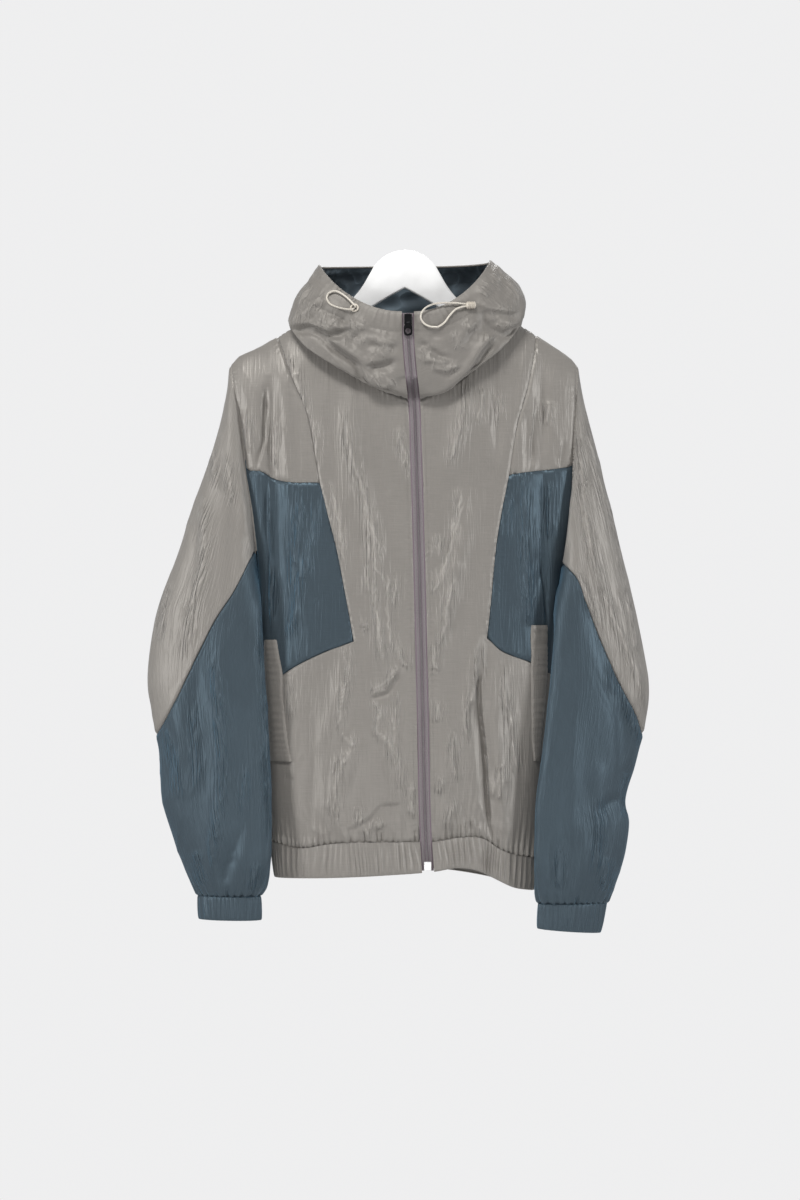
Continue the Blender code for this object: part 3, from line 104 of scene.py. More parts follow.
# neck seam on the front and on the back
NECK_FRONT = (
    (-107, -54), (-98, -76), (-86, -99), (-70, -123), (-35.7, -147.6), (9, -166),
    (36, -157), (69, -140), (96, -109.5), (114, -81), (117, -53))
NECK_BACK = ((-107, -54), (-80, -62), (-40, -68), (40, -68), (85, -62), (117, -53))
# zip: height and place across of its middle line
ZIP_LINE = (
    (-40, 3), (-59, 3.7), (-91, 4.1), (-130, 7), (-165, 11), (-231, 13.5), (-534, 21.5),
    (-706, 25.8), (-770, 29.6))
ZIP_HALF = 7.4                  # from the middle line to the panels' edges

# largest folds, each a line over the cloth: x and z of its one end, x and z of its
# other end, half width and height (below 0 a trough)
FRONT_FOLDS = (
    (-165, -150, -160, -262, 9, -7.0), (-150, -135, -142, -258, 9, 3.5),
    (-162, -262, -146, -455, 11, -6.5), (-132, -285, -118, -440, 11, 3.5),
    (-204, -160, -199, -250, 6, -4.0), (168, -125, 167, -252, 9, -6.5),
    (152, -190, 151, -262, 7, -4.0), (151, -262, 150, -420, 9, 5.0),
    (171, -262, 170, -450, 9, -6.0), (-72, -147, -50, -280, 12, 4.0),
    (-50, -280, -22, -392, 11, 4.0), (-92, -180, -82, -300, 10, -3.0),
    (-33, -430, -29, -500, 10, 3.5), (82, -147, 50, -262, 12, 4.0),
    (112, -147, 114, -232, 8, -4.0), (80, -307, 34, -480, 12, 4.5),
    (64, -300, 44, -380, 9, -3.0), (95, -460, 70, -560, 11, 4.0),
    (101, -458, 91, -520, 8, -6.0), (91, -520, 108, -700, 9, -7.0),
    (112, -520, 122, -700, 11, 5.0), (-69, -467, -98, -585, 12, 3.5),
    (-58, -590, -90, -660, 12, 4.0), (-90, -660, -72, -702, 11, 3.5),
    (-110, -560, -120, -690, 12, -3.5), (-140, -585, -134, -690, 11, 3.0),
    (-20, -560, -14, -690, 13, 2.5), (50, -560, 48, -690, 13, 2.5),
    (140, -520, 142, -640, 9, -3.0))
BACK_FOLDS = (
    (-150, -150, -130, -420, 14, 4.0), (-95, -260, -80, -560, 15, -4.0),
    (-40, -300, -45, -640, 15, 4.0), (15, -240, 20, -520, 15, -3.5),
    (60, -320, 50, -660, 15, 4.0), (105, -260, 95, -600, 14, -4.0),
    (150, -160, 140, -430, 14, 4.0), (-130, -480, -120, -690, 14, 3.5),
    (135, -480, 130, -690, 14, 3.0))


def table_curve(rows, column=1, by=0):
    """A smooth function through one column of a table, read by another column."""
    rows = sorted(rows, key=lambda row: row[by])
    at = np.array([row[by] for row in rows], float) * MM
    value = np.array([row[column] for row in rows], float) * MM
    step = np.diff(at)
    rise = np.diff(value) / step
    slope = np.empty(len(at))
    slope[0], slope[-1] = rise[0], rise[-1]
    same_way = rise[:-1] * rise[1:] > 0
    mean = (rise[:-1] * step[1:] + rise[1:] * step[:-1]) / (step[1:] + step[:-1])
    slope[1:-1] = np.where(same_way, mean, 0.0)

    def read(place):
        place = np.clip(place, at[0], at[-1])
        i = np.clip(np.searchsorted(at, place) - 1, 0, len(step) - 1)
        t = (place - at[i]) / step[i]
        return ((2 * t**3 - 3 * t**2 + 1) * value[i] + (3 * t**2 - 2 * t**3) * value[i + 1]
                + (t**3 - 2 * t**2 + t) * step[i] * slope[i]
                + (t**3 - t**2) * step[i] * slope[i + 1])
    return read


side_left = table_curve(BODY_SIDES, 1)
side_right = table_curve(BODY_SIDES, 2)
body_middle = table_curve(BODY_DEPTH, 1)
body_half = table_curve(BODY_DEPTH, 2)
shoulder_height = table_curve(SHOULDER)
armhole_left = table_curve(ARMHOLE_LEFT)
armhole_right = table_curve(ARMHOLE_RIGHT)
zip_middle = table_curve(ZIP_LINE)
hem_seam = {"front": table_curve(HEM_SEAM_FRONT), "back": table_curve(HEM_SEAM_BACK)}
hem_edge = {"front": table_curve(HEM_EDGE_FRONT), "back": table_curve(HEM_EDGE_BACK)}


FOLD_RUN_OUT = 0.15             # a fold fades out this share of its length past its ends
FOLD_FADE = 1.69                # (1 + 2 * FOLD_RUN_OUT) squared
OVAL_POWER = 2.2                # how square the body's sections are
FOLDED_DEPTH = 20 * MM          # folds reach their full height where the body is this deep
SLOPE_STEP = 0.4 * MM           # over which the body form's slope is read
LEAST_LENGTH = 1e-12            # below this a direction is not scaled up


def unit(vectors):
    """The same directions, each one long."""
    length = np.linalg.norm(vectors, axis=-1, keepdims=True)
    return vectors / np.maximum(length, LEAST_LENGTH)


def fold_height(x, z, folds):
    """How far the folds lift the cloth at one place of the outline."""
    lift = np.zeros(np.broadcast(x, z).shape)
    for x0, z0, x1, z1, half_width, height in np.array(folds) * MM:
        along = np.array((x1 - x0, z1 - z0))
        length = np.hypot(*along)
        along = along / length
        run = ((x - x0) * along[0] + (z - z0) * along[1]) / length
        away = (x - x0) * along[1] - (z - z0) * along[0]
        run = np.clip(run, -FOLD_RUN_OUT, 1 + FOLD_RUN_OUT)
        fade = np.clip(1 - (2 * run - 1) ** 2 / FOLD_FADE, 0, 1)
        lift += height * fade * np.exp(-((away / half_width) ** 2))
    return lift


def body_depth(x, z):
    """Half depth of the plain body form at one place of its outline."""
    left, right = side_left(z), side_right(z)
    across = (x - (left + right) / 2) / ((right - left) / 2)
    oval = np.sqrt(np.clip(1 - np.clip(np.abs(across), 0, 1) ** OVAL_POWER, 0, 1))
    below = np.clip((shoulder_height(x) - z) / (SHOULDER_ROUND * MM), 0, 1)
    ridge = np.sqrt(np.clip(1 - (1 - below) ** 2, 0, 1))
    return body_half(z) * oval * ridge


def body_point(x, z, face, lift=0.0):
    """Points of the cloth's outer surface on one face of the body, shape (..., 3)."""
    x, z = np.broadcast_arrays(np.asarray(x, float), np.asarray(z, float))
    depth = body_depth(x, z)
    folds = FRONT_FOLDS if face == "front" else BACK_FOLDS
    share = np.clip(depth / FOLDED_DEPTH, 0, 1)
    depth = depth + fold_height(x, z, folds) * share
    depth = np.maximum(depth, SEAM / 2) + lift
    sign = -1 if face == "front" else 1
    return np.stack((x, body_middle(z) + sign * depth, z), axis=-1)


def body_normal(x, z, face):
    """Outward normals of the plain body form, the same for each piece at a seam."""
    step = SLOPE_STEP
    sign = -1 if face == "front" else 1
    slope_x = (body_depth(x + step, z) - body_depth(x - step, z)) / (2 * step)
    slope_z = (body_depth(x, z + step) - body_depth(x, z - step)) / (2 * step)
    normal = np.stack((-slope_x, np.full_like(slope_x, sign), -slope_z), axis=-1)
    return unit(normal)


# ------------------------------------------------------------------ lines
def flat_run(line):
    """The run from the start of a flat line to each of its places."""
    return np.pad(np.hypot(*np.diff(line, axis=0).T).cumsum(), (1, 0))


def run_along(line):
    """The run from the start of a line in space to each of its points."""
    return np.pad(np.linalg.norm(np.diff(line, axis=0), axis=-1).cumsum(), (1, 0))


def curve_through(line, run, at):
    """Places at some runs along the smooth curve through a line given in millimetres."""
    return np.stack([table_curve(np.column_stack((run, column)))(at) for column in line.T],
                    axis=-1)


def read_off(at, run, line):
    """Places at some runs along a line of straight stretches."""
    return np.stack([np.interp(at, run, column) for column in line.T], axis=-1)


# ------------------------------------------------------------------ panels of the body
def along(path, shares):
    """Places at shares of the length of a smooth path given in millimetres."""
    path = np.array(path, float)
    run = flat_run(path)
    return curve_through(path, run, np.asarray(shares) * run[-1] * MM)


def seam(path, pieces, first=0.0, last=1.0):
    """A seam's places, the same for each panel that meets there."""
    return along(path, np.linspace(first, last, pieces + 1))


def side_edge(low, high, pieces, left):
    """The side seam's places between two heights."""
    height = np.linspace(low, high, pieces + 1) * MM
    return np.column_stack(((side_left if left else side_right)(height), height))


def joined(*stretches):
    """One outline from stretches that end where the next begins."""
    return np.concatenate([stretches[0]] + [stretch[1:] for stretch in stretches[1:]])


def shares_of(outline):
    """How far along an outline each of its places lies, from 0 to 1."""
    run = flat_run(outline)
    return run / run[-1]


def drawn_in(outline, fixed=0, amount=SEAM / 2, turn=1):
    """An outline moved sideways for the seam gap, but for its first fixed places."""
    tangent = np.gradient(outline, axis=0)
    tangent /= np.hypot(*tangent.T)[:, None]
    moved = outline + turn * amount * np.column_stack((tangent[:, 1], -tangent[:, 0]))
    moved[:fixed] = outline[:fixed]
    return moved


BOW_FADE = 4                    # how fast a bowed edge straightens inside a panel


def filled(bottom, top, left, right):
    """A grid of places between four outlines (rows go up, columns go right)."""
    up = (shares_of(left) + shares_of(right))[:, None, None] / 2
    low_share, high_share = shares_of(bottom)[None, :, None], shares_of(top)[None, :, None]
    across = low_share * (1 - up) + high_share * up
    grid = (1 - across) * left[:, None] + across * right[:, None]
    low_bow = bottom - (bottom[0] * (1 - low_share[0]) + bottom[-1] * low_share[0])
    high_bow = top - (top[0] * (1 - high_share[0]) + top[-1] * high_share[0])
    grid = grid + low_bow * (1 - up) ** BOW_FADE + high_bow * up ** BOW_FADE
    grid[0], grid[-1], grid[:, 0], grid[:, -1] = bottom, top, left, right
    return grid

YOKE_ROWS = 56
ARM_ROWS = 40                   # from the blue panel's top down to the underarm
BLUE_SIDE_ROWS = 50             # from the underarm down to the blue panel's corner
BLUE_ROWS = ARM_ROWS + BLUE_SIDE_ROWS
BLUE_COLUMNS = 58
SIDE_ROWS = 60
NECK_COLUMNS = 70
RIDGE_COLUMNS = 28
BACK_RIDGE_COLUMNS = 16
BACK_NECK_COLUMNS = 40
HOOD_BACK_COLUMNS = 96
SLEEVE_YOKE_COLUMNS = 28        # of half a sleeve, above and below the panel's top
SLEEVE_ARM_COLUMNS = 20
SLEEVE_TIP_COLUMNS = 4
FRONT_COLUMNS = NECK_COLUMNS + RIDGE_COLUMNS
EVEN_SHARE, CROWDED_SHARE = 0.2, 0.8    # of the rows that crowd towards the ridge
NECK_MIDDLE = 5                 # the zip's place in NECK_FRONT
NECK_RISE = 0.5                 # how much higher the two necks meet the zip
HEM_AT = 26 * MM                # where the hem seam's height is read for the zip's edge
# the front's part of the shoulder ridge, from the yoke to the neck
RIDGE_LEFT = ((-157.4, -83.6), (-130, -67.5), (-107, -54))
RIDGE_RIGHT = ((162, -81.6), (140, -67.5), (117, -53))


def towards_ridge(pieces):
    """Shares that crowd towards the shoulder ridge."""
    even = np.linspace(0, 1, pieces + 1)
    return EVEN_SHARE * even + CROWDED_SHARE * np.sin(even * math.pi / 2)


def towards_side(pieces):
    """Shares that crowd towards the side seam, where the form turns fast."""
    return np.sin(np.linspace(0, math.pi / 2, pieces + 1))


def armhole_outline(left, arm_rows=ARM_ROWS, yoke_rows=YOKE_ROWS):
    """The armhole from the underarm up to the shoulder tip."""
    table = ARMHOLE_LEFT if left else ARMHOLE_RIGHT
    curve = armhole_left if left else armhole_right
    top = (BLUE_TOP_LEFT if left else BLUE_TOP_RIGHT)[0][1]
    heights = joined(np.linspace(UNDERARM, top, arm_rows + 1)[:, None],
                     (top + (table[0][0] - top) * towards_ridge(yoke_rows))[:, None])[:, 0] * MM
    return np.column_stack((curve(heights), heights))


def side_outline(left):
    """The side seam from the hem up to the underarm."""
    corner = (BLUE_BOTTOM_LEFT if left else BLUE_BOTTOM_RIGHT)[0][1]
    hem = HEM_SEAM_FRONT[0 if left else -1][1]
    return joined(side_edge(hem, corner, SIDE_ROWS, left),
                  side_edge(corner, UNDERARM, BLUE_SIDE_ROWS, left))


def shared_seams(left):
    """The blue panel's top, inner and lower seams and the yoke's inner seam."""
    if left:
        tables = BLUE_TOP_LEFT, BLUE_INNER_LEFT, BLUE_BOTTOM_LEFT, YOKE_SEAM_LEFT
    else:
        tables = BLUE_TOP_RIGHT, BLUE_INNER_RIGHT, BLUE_BOTTOM_RIGHT, YOKE_SEAM_RIGHT
    top, inner, bottom, yoke = tables
    return (seam(top, BLUE_COLUMNS), seam(inner, BLUE_ROWS),
            along(bottom, 1 - towards_side(BLUE_COLUMNS)[::-1]),
            along(yoke, towards_ridge(YOKE_ROWS)))


def yoke_places(left):
    """Outline places of a yoke, columns running away from the armhole."""
    if left:
        top_path = [row for row in SHOULDER if row[0] <= RIDGE_LEFT[0][0]]
    else:
        top_path = [row for row in SHOULDER[::-1] if row[0] >= RIDGE_RIGHT[0][0]]
    bottom, _, _, inner = shared_seams(left)
    outer = armhole_outline(left)[ARM_ROWS:]
    top = seam(top_path, BLUE_COLUMNS)
    outer[-1], top[0] = top[0], top[0]
    turn = -1 if left else 1
    inner = drawn_in(inner, turn=turn)
    bottom = drawn_in(bottom, turn=turn)
    bottom[0], bottom[-1, 0] = outer[0] + (0, SEAM / 2), inner[0, 0]
    inner[0], top[-1] = bottom[-1], inner[-1]
    outer[0] = bottom[0]
    return filled(bottom, top, outer, inner)


def blue_places(left):
    """Outline places of a blue side panel, columns running away from the armhole."""
    armhole = armhole_outline(left)[:ARM_ROWS + 1]
    side = side_outline(left)[SIDE_ROWS:]
    side[0, 1] += SEAM / 2
    outer = joined(side, armhole)
    top, inner, bottom, _ = shared_seams(left)
    turn = -1 if left else 1
    inner = drawn_in(inner, turn=turn)
    bottom = drawn_in(bottom, fixed=1, turn=turn)
    top = drawn_in(top, turn=-turn)
    top[0], top[-1, 0] = outer[-1] - (0, SEAM / 2), inner[-1, 0]
    outer[-1], inner[-1] = top[0], top[-1]
    bottom[-1] = inner[0] = (inner[0, 0], bottom[-1, 1])
    bottom[0] = outer[0]
    return filled(bottom, top, outer, inner)


def front_places(left):
    """Outline places of a front panel, columns running from its side to the zip."""
    turn = 1 if left else -1
    hem = HEM_SEAM_FRONT[0 if left else -1][1]
    corner = (BLUE_BOTTOM_LEFT if left else BLUE_BOTTOM_RIGHT)[0][1]
    side = side_edge(hem, corner, SIDE_ROWS, left)
    side[-1, 1] -= SEAM / 2
    _, beside_blue, under_blue, beside_yoke = shared_seams(left)
    outer = joined(side, drawn_in(under_blue, fixed=1, turn=turn),
                   drawn_in(beside_blue, turn=turn), drawn_in(beside_yoke, turn=turn))
    beside_zip = -ZIP_HALF * MM if left else ZIP_HALF * MM
    low, high = hem_seam["front"](np.array(HEM_AT)), NECK_FRONT[NECK_MIDDLE][1] * MM
    heights = low + (high - low) * shares_of(outer)
    inner = np.column_stack((zip_middle(heights) + beside_zip, heights))
    neck, ridge = neck_and_ridge(left)
    top = joined(ridge, neck)
    top[0], inner[-1] = outer[-1], top[-1]
    across = outer[0, 0] + (inner[0, 0] - outer[0, 0]) * (
        1 - towards_side(FRONT_COLUMNS)[::-1])
    bottom = np.column_stack((across, hem_seam["front"](across)))
    bottom[0], bottom[-1] = outer[0], inner[0]
    return filled(bottom, top, outer, inner)


def neck_and_ridge(left):
    """The front neck seam, and the shoulder ridge out to the yoke."""
    height = NECK_FRONT[NECK_MIDDLE][1]
    zip_x = zip_middle(np.array(height * MM)) / MM + (-ZIP_HALF if left else ZIP_HALF)
    neck = NECK_FRONT[:NECK_MIDDLE] if left else NECK_FRONT[:NECK_MIDDLE:-1]
    return (seam(neck + ((float(zip_x), height + NECK_RISE),), NECK_COLUMNS),
            seam(RIDGE_LEFT if left else RIDGE_RIGHT, RIDGE_COLUMNS))


def back_places():
    """Outline places of the back, columns running towards -X as seen from behind."""
    left = joined(side_outline(True), armhole_outline(True))
    right = joined(side_outline(False), armhole_outline(False))
    ridge_left = seam([row for row in SHOULDER if row[0] <= RIDGE_LEFT[-1][0]],
                      BACK_RIDGE_COLUMNS)
    ridge_right = seam([row for row in SHOULDER if row[0] >= RIDGE_RIGHT[-1][0]],
                       BACK_RIDGE_COLUMNS)
    neck = seam(NECK_BACK, BACK_NECK_COLUMNS)
    top = joined(ridge_right[::-1], neck[::-1], ridge_left[::-1])
    left[-1], right[-1] = top[-1], top[0]
    count = len(top) - 1
    across = (1 - np.cos(np.linspace(0, math.pi, count + 1))) / 2
    across = right[0, 0] + (left[0, 0] - right[0, 0]) * across
    bottom = np.column_stack((across, hem_seam["back"](across)))
    bottom[0], bottom[-1] = right[0], left[0]
    return filled(bottom, top, right, left)


# ------------------------------------------------------------------ sleeves
ARMHOLE_GAP = 0.6 * MM
SEAM_LEAN = 0.25                # most that a sleeve's edge leans over the armhole's
LEAN_REACH = 0.35               # ring number up to which that limit holds
SECTION_STEP = 0.02             # of ring numbers, over which a slope is read
SEAM_TRIALS = 1500              # ring numbers that are tried for the colour seam
# a row for each section, from the shoulder down to the cuff: inner end's x, z and y,
# outer end's x, z and y, and half depth
SLEEVE_LEFT = (
    (-181.5, -379, -91, -222.6, -162, -90, 36), (-181, -386, -97, -238.6, -224, -88, 36),
    (-178.5, -400, -109, -262, -290, -86, 34), (-176, -423, -121, -281.7, -352, -85, 31),
    (-173.5, -462, -128, -307.5, -423, -84, 28), (-171, -509, -129, -319.8, -499, -84, 27),
    (-168.5, -546, -129, -315, -548, -84, 27), (-166, -595, -129, -306, -598, -84, 27),
    (-163.6, -657, -129, -301.4, -659, -84, 27), (-163.6, -718, -129, -285.4, -713, -85, 27),
    (-168.5, -758, -124, -268.1, -757, -88, 24), (-177, -775, -119, -257, -776.5, -91, 21))
SLEEVE_RIGHT = (
    (192, -381, -91, 222, -162, -90, 36), (190.5, -390, -97, 235, -214, -88, 36),
    (186, -404, -109, 254.6, -291, -86, 34), (183.5, -427, -121, 271.8, -362, -85, 31),
    (182, -463, -128, 289, -435, -84, 28), (178.4, -509, -129, 302.6, -514, -84, 27),
    (173.4, -552, -129, 299, -561, -84, 27), (168.5, -598, -129, 287.8, -610, -84, 27),
    (161, -657, -129, 274.3, -657, -84, 27), (159, -700, -129, 279, -688, -84, 27),
    (158.7, -737, -129, 273, -729, -85, 26), (160, -768, -124, 260.8, -765, -88, 24),
    (163.6, -784, -119, 251, -786, -91, 21))
# the slanting colour seam: height and place across
COLOUR_SEAM_LEFT = (
    (-349.4, -184), (-395, -206.6), (-437, -233.7), (-480, -255.8), (-556, -295),
    (-570, -304), (-600, -330))
COLOUR_SEAM_RIGHT = (
    (-349.4, 186), (-366, 194), (-380, 208), (-412, 221.5), (-488, 254), (-535, 276.8),
    (-556, 288),
    (-574, 295), (-600, 318))
COLOUR_SEAM_GAP = 0.4 * MM
UPPER_TIP = 6.0 * MM            # length of the grey upper's narrow end at the armhole
UPPER_ROWS = 130
LOWER_ROWS = 150
# folds of a sleeve's front and back: the same columns as on the body
SLEEVE_FOLDS_LEFT = (
    (-243, -265, -247, -425, 10, 3.5), (-270, -330, -290, -470, 10, 3.5),
    (-228, -470, -224, -600, 11, 4.0), (-226, -600, -236, -762, 11, 3.5),
    (-256, -495, -258, -570, 9, -3.5), (-282, -535, -272, -640, 10, 3.5),
    (-203, -560, -196, -700, 11, -3.0), (-202, -688, -222, -750, 9, -3.5),
    (-208, -250, -212, -400, 8, -3.0), (-178, -470, -176, -640, 9, 2.5))
SLEEVE_FOLDS_RIGHT = (
    (232, -240, 262, -400, 9, 3.5), (214, -230, 222, -380, 7, -3.5),
    (262, -400, 285, -520, 9, 3.5), (230, -430, 262, -520, 10, -3.0),
    (264, -500, 272, -650, 9, -4.0), (240, -620, 240, -700, 10, 3.5),
    (205, -560, 200, -700, 11, 3.0), (188, -705, 186, -775, 8, -3.5),
    (222, -690, 216, -770, 9, 3.5), (262, -655, 236, -672, 6, -4.0))


def armhole_normals(left):
    """The body's outward normals round an armhole, in the order of a sleeve's columns."""
    armhole = armhole_outline(left, SLEEVE_ARM_COLUMNS, SLEEVE_YOKE_COLUMNS)
    front = body_normal(armhole[:, 0], armhole[:, 1], "front")
    back = body_normal(armhole[:, 0], armhole[:, 1], "back")
    front[[0, -1], 1] = 0
    normal = np.concatenate((front, back[-2:0:-1]))
    return unit(normal)


def away_from_body(left, ring):
    """Directions along the cloth that lead from the body into a sleeve."""
    away = np.cross(np.roll(ring, -1, axis=0) - np.roll(ring, 1, axis=0),
                    armhole_normals(left))
    away *= np.sign(away[len(ring) // 4, 0]) * (-1 if left else 1)
    return unit(away)


def sleeve_sections(left, count=2 * (SLEEVE_YOKE_COLUMNS + SLEEVE_ARM_COLUMNS)):
    """The rings that the sleeve runs through; the first is the armhole itself."""
    armhole = armhole_outline(left, SLEEVE_ARM_COLUMNS, SLEEVE_YOKE_COLUMNS)
    armhole[-1] = (SHOULDER[0] if left else SHOULDER[-1])[0] * MM, armhole[-1, 1]
    front = body_point(armhole[:, 0], armhole[:, 1], "front")
    back = body_point(armhole[:, 0], armhole[:, 1], "back")
    first = np.concatenate((front, back[-2:0:-1]))
    first += away_from_body(left, first) * ARMHOLE_GAP
    turn = np.linspace(0, 2 * math.pi, count, endpoint=False)
    share = (1 - np.cos(turn)) / 2
    rings = [first]
    for row in SLEEVE_LEFT if left else SLEEVE_RIGHT:
        inner_x, inner_z, inner_y, outer_x, outer_z, outer_y, depth = np.array(row) * MM
        ring = np.stack((
            inner_x + (outer_x - inner_x) * share,
            inner_y + (outer_y - inner_y) * share - depth * np.sin(turn),
            inner_z + (outer_z - inner_z) * share), axis=-1)
        rings.append(ring)
    return np.array(rings)


def through_rings(rings, place):
    """Points at fractional ring numbers, one number for each column, (columns, 3)."""
    last = len(rings) - 1
    place = np.clip(place, 0, last)
    i = np.clip(place.astype(int), 0, last - 1)
    t = (place - i)[:, None]
    column = np.arange(rings.shape[1])
    p1, p2 = rings[i, column], rings[i + 1, column]
    p0 = np.where((i > 0)[:, None], rings[np.maximum(i - 1, 0), column], 2 * p1 - p2)
    p3 = np.where((i < last - 1)[:, None], rings[np.minimum(i + 2, last), column],
                  2 * p2 - p1)
    return 0.5 * (2 * p1 + (p2 - p0) * t + (2 * p0 - 5 * p1 + 4 * p2 - p3) * t**2
                  + (3 * p1 - p0 - 3 * p2 + p3) * t**3)


def sleeve_points(left, places, rings):
    """Outer points and outward normals of a sleeve at ring numbers (rows, columns)."""
    points = np.array([through_rings(rings, row) for row in places])
    ahead = np.array([through_rings(rings, row + SECTION_STEP) for row in places])
    behind = np.array([through_rings(rings, row - SECTION_STEP) for row in places])
    across = np.roll(points, -1, axis=1) - np.roll(points, 1, axis=1)
    normal = unit(np.cross(across, ahead - behind))
    centre = points.mean(axis=1, keepdims=True)
    if np.sum(normal * (points - centre)) < 0:
        normal = -normal
    away = away_from_body(left, rings[0])[None]
    lean = np.clip(np.sum(normal * away, axis=-1, keepdims=True) - SEAM_LEAN, 0, None)
    normal = unit(normal - away * lean * np.clip(1 - places / LEAN_REACH, 0, 1)[..., None])
    folds = SLEEVE_FOLDS_LEFT if left else SLEEVE_FOLDS_RIGHT
    flat = np.clip(np.abs(normal[..., 1:2]) * 1.6 - 0.5, 0, 1)
    grown = np.clip(places, 0, 1)[..., None]
    lift = fold_height(points[..., 0], points[..., 2], folds)[..., None]
    return points + normal * lift * flat * grown, normal


def colour_seam_places(left, rings):
    """The ring number at which each column of a sleeve crosses its colour seam."""
    crossing = table_curve(COLOUR_SEAM_LEFT if left else COLOUR_SEAM_RIGHT)
    side = -1 if left else 1
    trial = np.linspace(0, len(rings) - 1, SEAM_TRIALS)
    columns = rings.shape[1]
    picked = np.array([through_rings(rings, np.full(columns, t)) for t in trial])
    outside = side * (picked[..., 0] - crossing(picked[..., 2])) > 0
    outside |= picked[..., 2] > COLOUR_SEAM_LEFT[0][0] * MM
    found = trial[np.argmin(outside, axis=0)]
    tip = SLEEVE_TIP_COLUMNS
    found[:tip + 1] = 0
    found[-tip:] = 0
    edge = [tip, -tip]
    found[edge] = UPPER_TIP / np.linalg.norm(rings[1, edge] - rings[0, edge], axis=-1)
    return found


def column_lengths(rings):
    """Rough length of cloth for one ring number, for each column and ring."""
    return np.maximum(np.linalg.norm(np.diff(rings, axis=0), axis=-1), 2 * MM)


# lower edge of a cuff: inner end's x and z, outer end's x and z
CUFF_LEFT = (-176, -803, -256, -804.5)
CUFF_RIGHT = (162.4, -813.5, 243.5, -821.5)

HEM_LEAN_SIDE = 4.0             # the band's lower edge draws in at the side seams
HEM_LEAN_ZIP = 2.6              # and follows the zip at its other end


# ------------------------------------------------------------------ hood
# a row for each section, from the brim over the outside down to the neck seam: x of its
# right and left end; z in front, right, left and behind; y in front, at the sides and
# behind; and the power by which z falls towards the front
HOOD_RINGS = (
    (107, -107, -59, 11, 5, 8, -150, -80, -48, 1.6),
    (118, -119, -64, 1, -13, -4, -152, -82, -33, 1.6),
    (141, -132, -80, -20, -30, -60, -154, -86, -18, 1.5),
    (150, -139, -108, -42, -46, -140, -155, -90, -10, 1.35),
    (145, -144, -140, -59, -65, -208, -155, -91, -12, 1.25),
    (134, -130, -157, -52.5, -57, -222, -150, -91, -28, 1.5),
    (124, -118, -162, -47, -48, -150, -144, -90.5, -38, 1.8))
HOOD_ROWS = 96
LINING_ROWS = 44                # counted from the brim
LINING_START = 0.04             # section number where the lining begins
# powers by which the sections bend: width, height and depth behind, and depth in front
BEHIND_WIDE, BEHIND_HIGH, BEHIND_DEEP, AHEAD_DEEP = 0.8, 1.5, 0.5, 0.55


def hood_rings():
    """The hood's sections; columns run from the zip round the right, back and left."""
    front = np.linspace(0, math.pi / 2, NECK_COLUMNS + 1)
    back = np.linspace(math.pi / 2, math.pi * 1.5, HOOD_BACK_COLUMNS + 1)
    turn = np.concatenate((front, back[1:], front[1:] + math.pi * 1.5))
    ahead = np.clip(np.cos(turn), 0, 1)
    behind = np.clip(-np.cos(turn), 0, 1)
    right_side = turn <= math.pi
    wide = np.abs(np.sin(turn))
    rings = []
    for *sizes, power in HOOD_RINGS:
        (right_x, left_x, front_z, right_z, left_z, back_z, front_y, side_y,
         back_y) = np.array(sizes) * MM
        zip_x = zip_middle(front_z)
        edge = np.where(right_side, zip_x + ZIP_HALF * MM, zip_x - ZIP_HALF * MM)
        edge = np.where(behind > 0, (right_x + left_x) / 2, edge)
        side_x = np.where(right_side, right_x, left_x)
        side_z = np.where(right_side, right_z, left_z)
        share = np.where(behind > 0, wide ** BEHIND_WIDE, wide)
        x = edge + (side_x - edge) * share
        z = (side_z + (front_z - side_z) * ahead ** power
             + (back_z - side_z) * behind ** BEHIND_HIGH)
        y = (side_y + (front_y - side_y) * ahead ** AHEAD_DEEP
             + (back_y - side_y) * behind ** BEHIND_DEEP)
        rings.append(np.stack((x, y, z), axis=-1))
    neck_left, neck_right = neck_and_ridge(True)[0], neck_and_ridge(False)[0]
    neck_back = seam(NECK_BACK, HOOD_BACK_COLUMNS)[::-1]
    neck = np.concatenate((
        body_point(*neck_right[::-1].T, "front"), body_point(*neck_back[1:-1].T, "back"),
        body_point(*neck_left.T, "front")))
    rings.append(neck + (0, 0, SEAM))
    return np.array(rings)


def hood_points(places):
    """Outer points and outward normals of the hood at section numbers."""
    rings = hood_rings()
    columns = rings.shape[1]

    def at(place):
        return through_rings(rings, np.full(columns, place))
    points = np.array([at(place) for place in places])
    points[:, 0, 0] = zip_middle(points[:, 0, 2]) + ZIP_HALF * MM
    points[:, -1, 0] = zip_middle(points[:, -1, 2]) - ZIP_HALF * MM
    down = np.array([at(place + SECTION_STEP) - at(place - SECTION_STEP)
                     for place in places])
    normal = np.cross(np.gradient(points, axis=1), down)
    normal[:, [0, -1], 0] = 0
    normal = unit(normal)
    half = len(places) // 2
    outwards = (points - points.mean(axis=(0, 1)))[:half]
    if np.sum(normal[:half] * outwards) < 0:
        normal = -normal
    return points, normal


# ------------------------------------------------------------------ zip
TAPE_EDGES = (0.3, 7.0)         # from the zip's middle line
TAPE_SINK = 0.5
ZIP_TOP = -60.5
ZIP_BOTTOM = -742.0
ZIP_ROWS = 26
SLIDER_SIZE = (9.0, 2.8, 13.0)  # across, deep and high
SLIDER_Z = -68.5
BOTTOM_BOX_SIZE = (9.0, 2.6, 11.0)


def zip_depth(z):
    """Depth of the cloth's outer surface beside the zip at some heights."""
    rings = hood_rings()[:, 0]
    hood_z, hood_y = rings[::-1, 2], rings[::-1, 1]
    on_body = body_point(zip_middle(z), z, "front")[..., 1]
    return np.where(z > hood_z[0], np.interp(z, hood_z, hood_y), on_body)


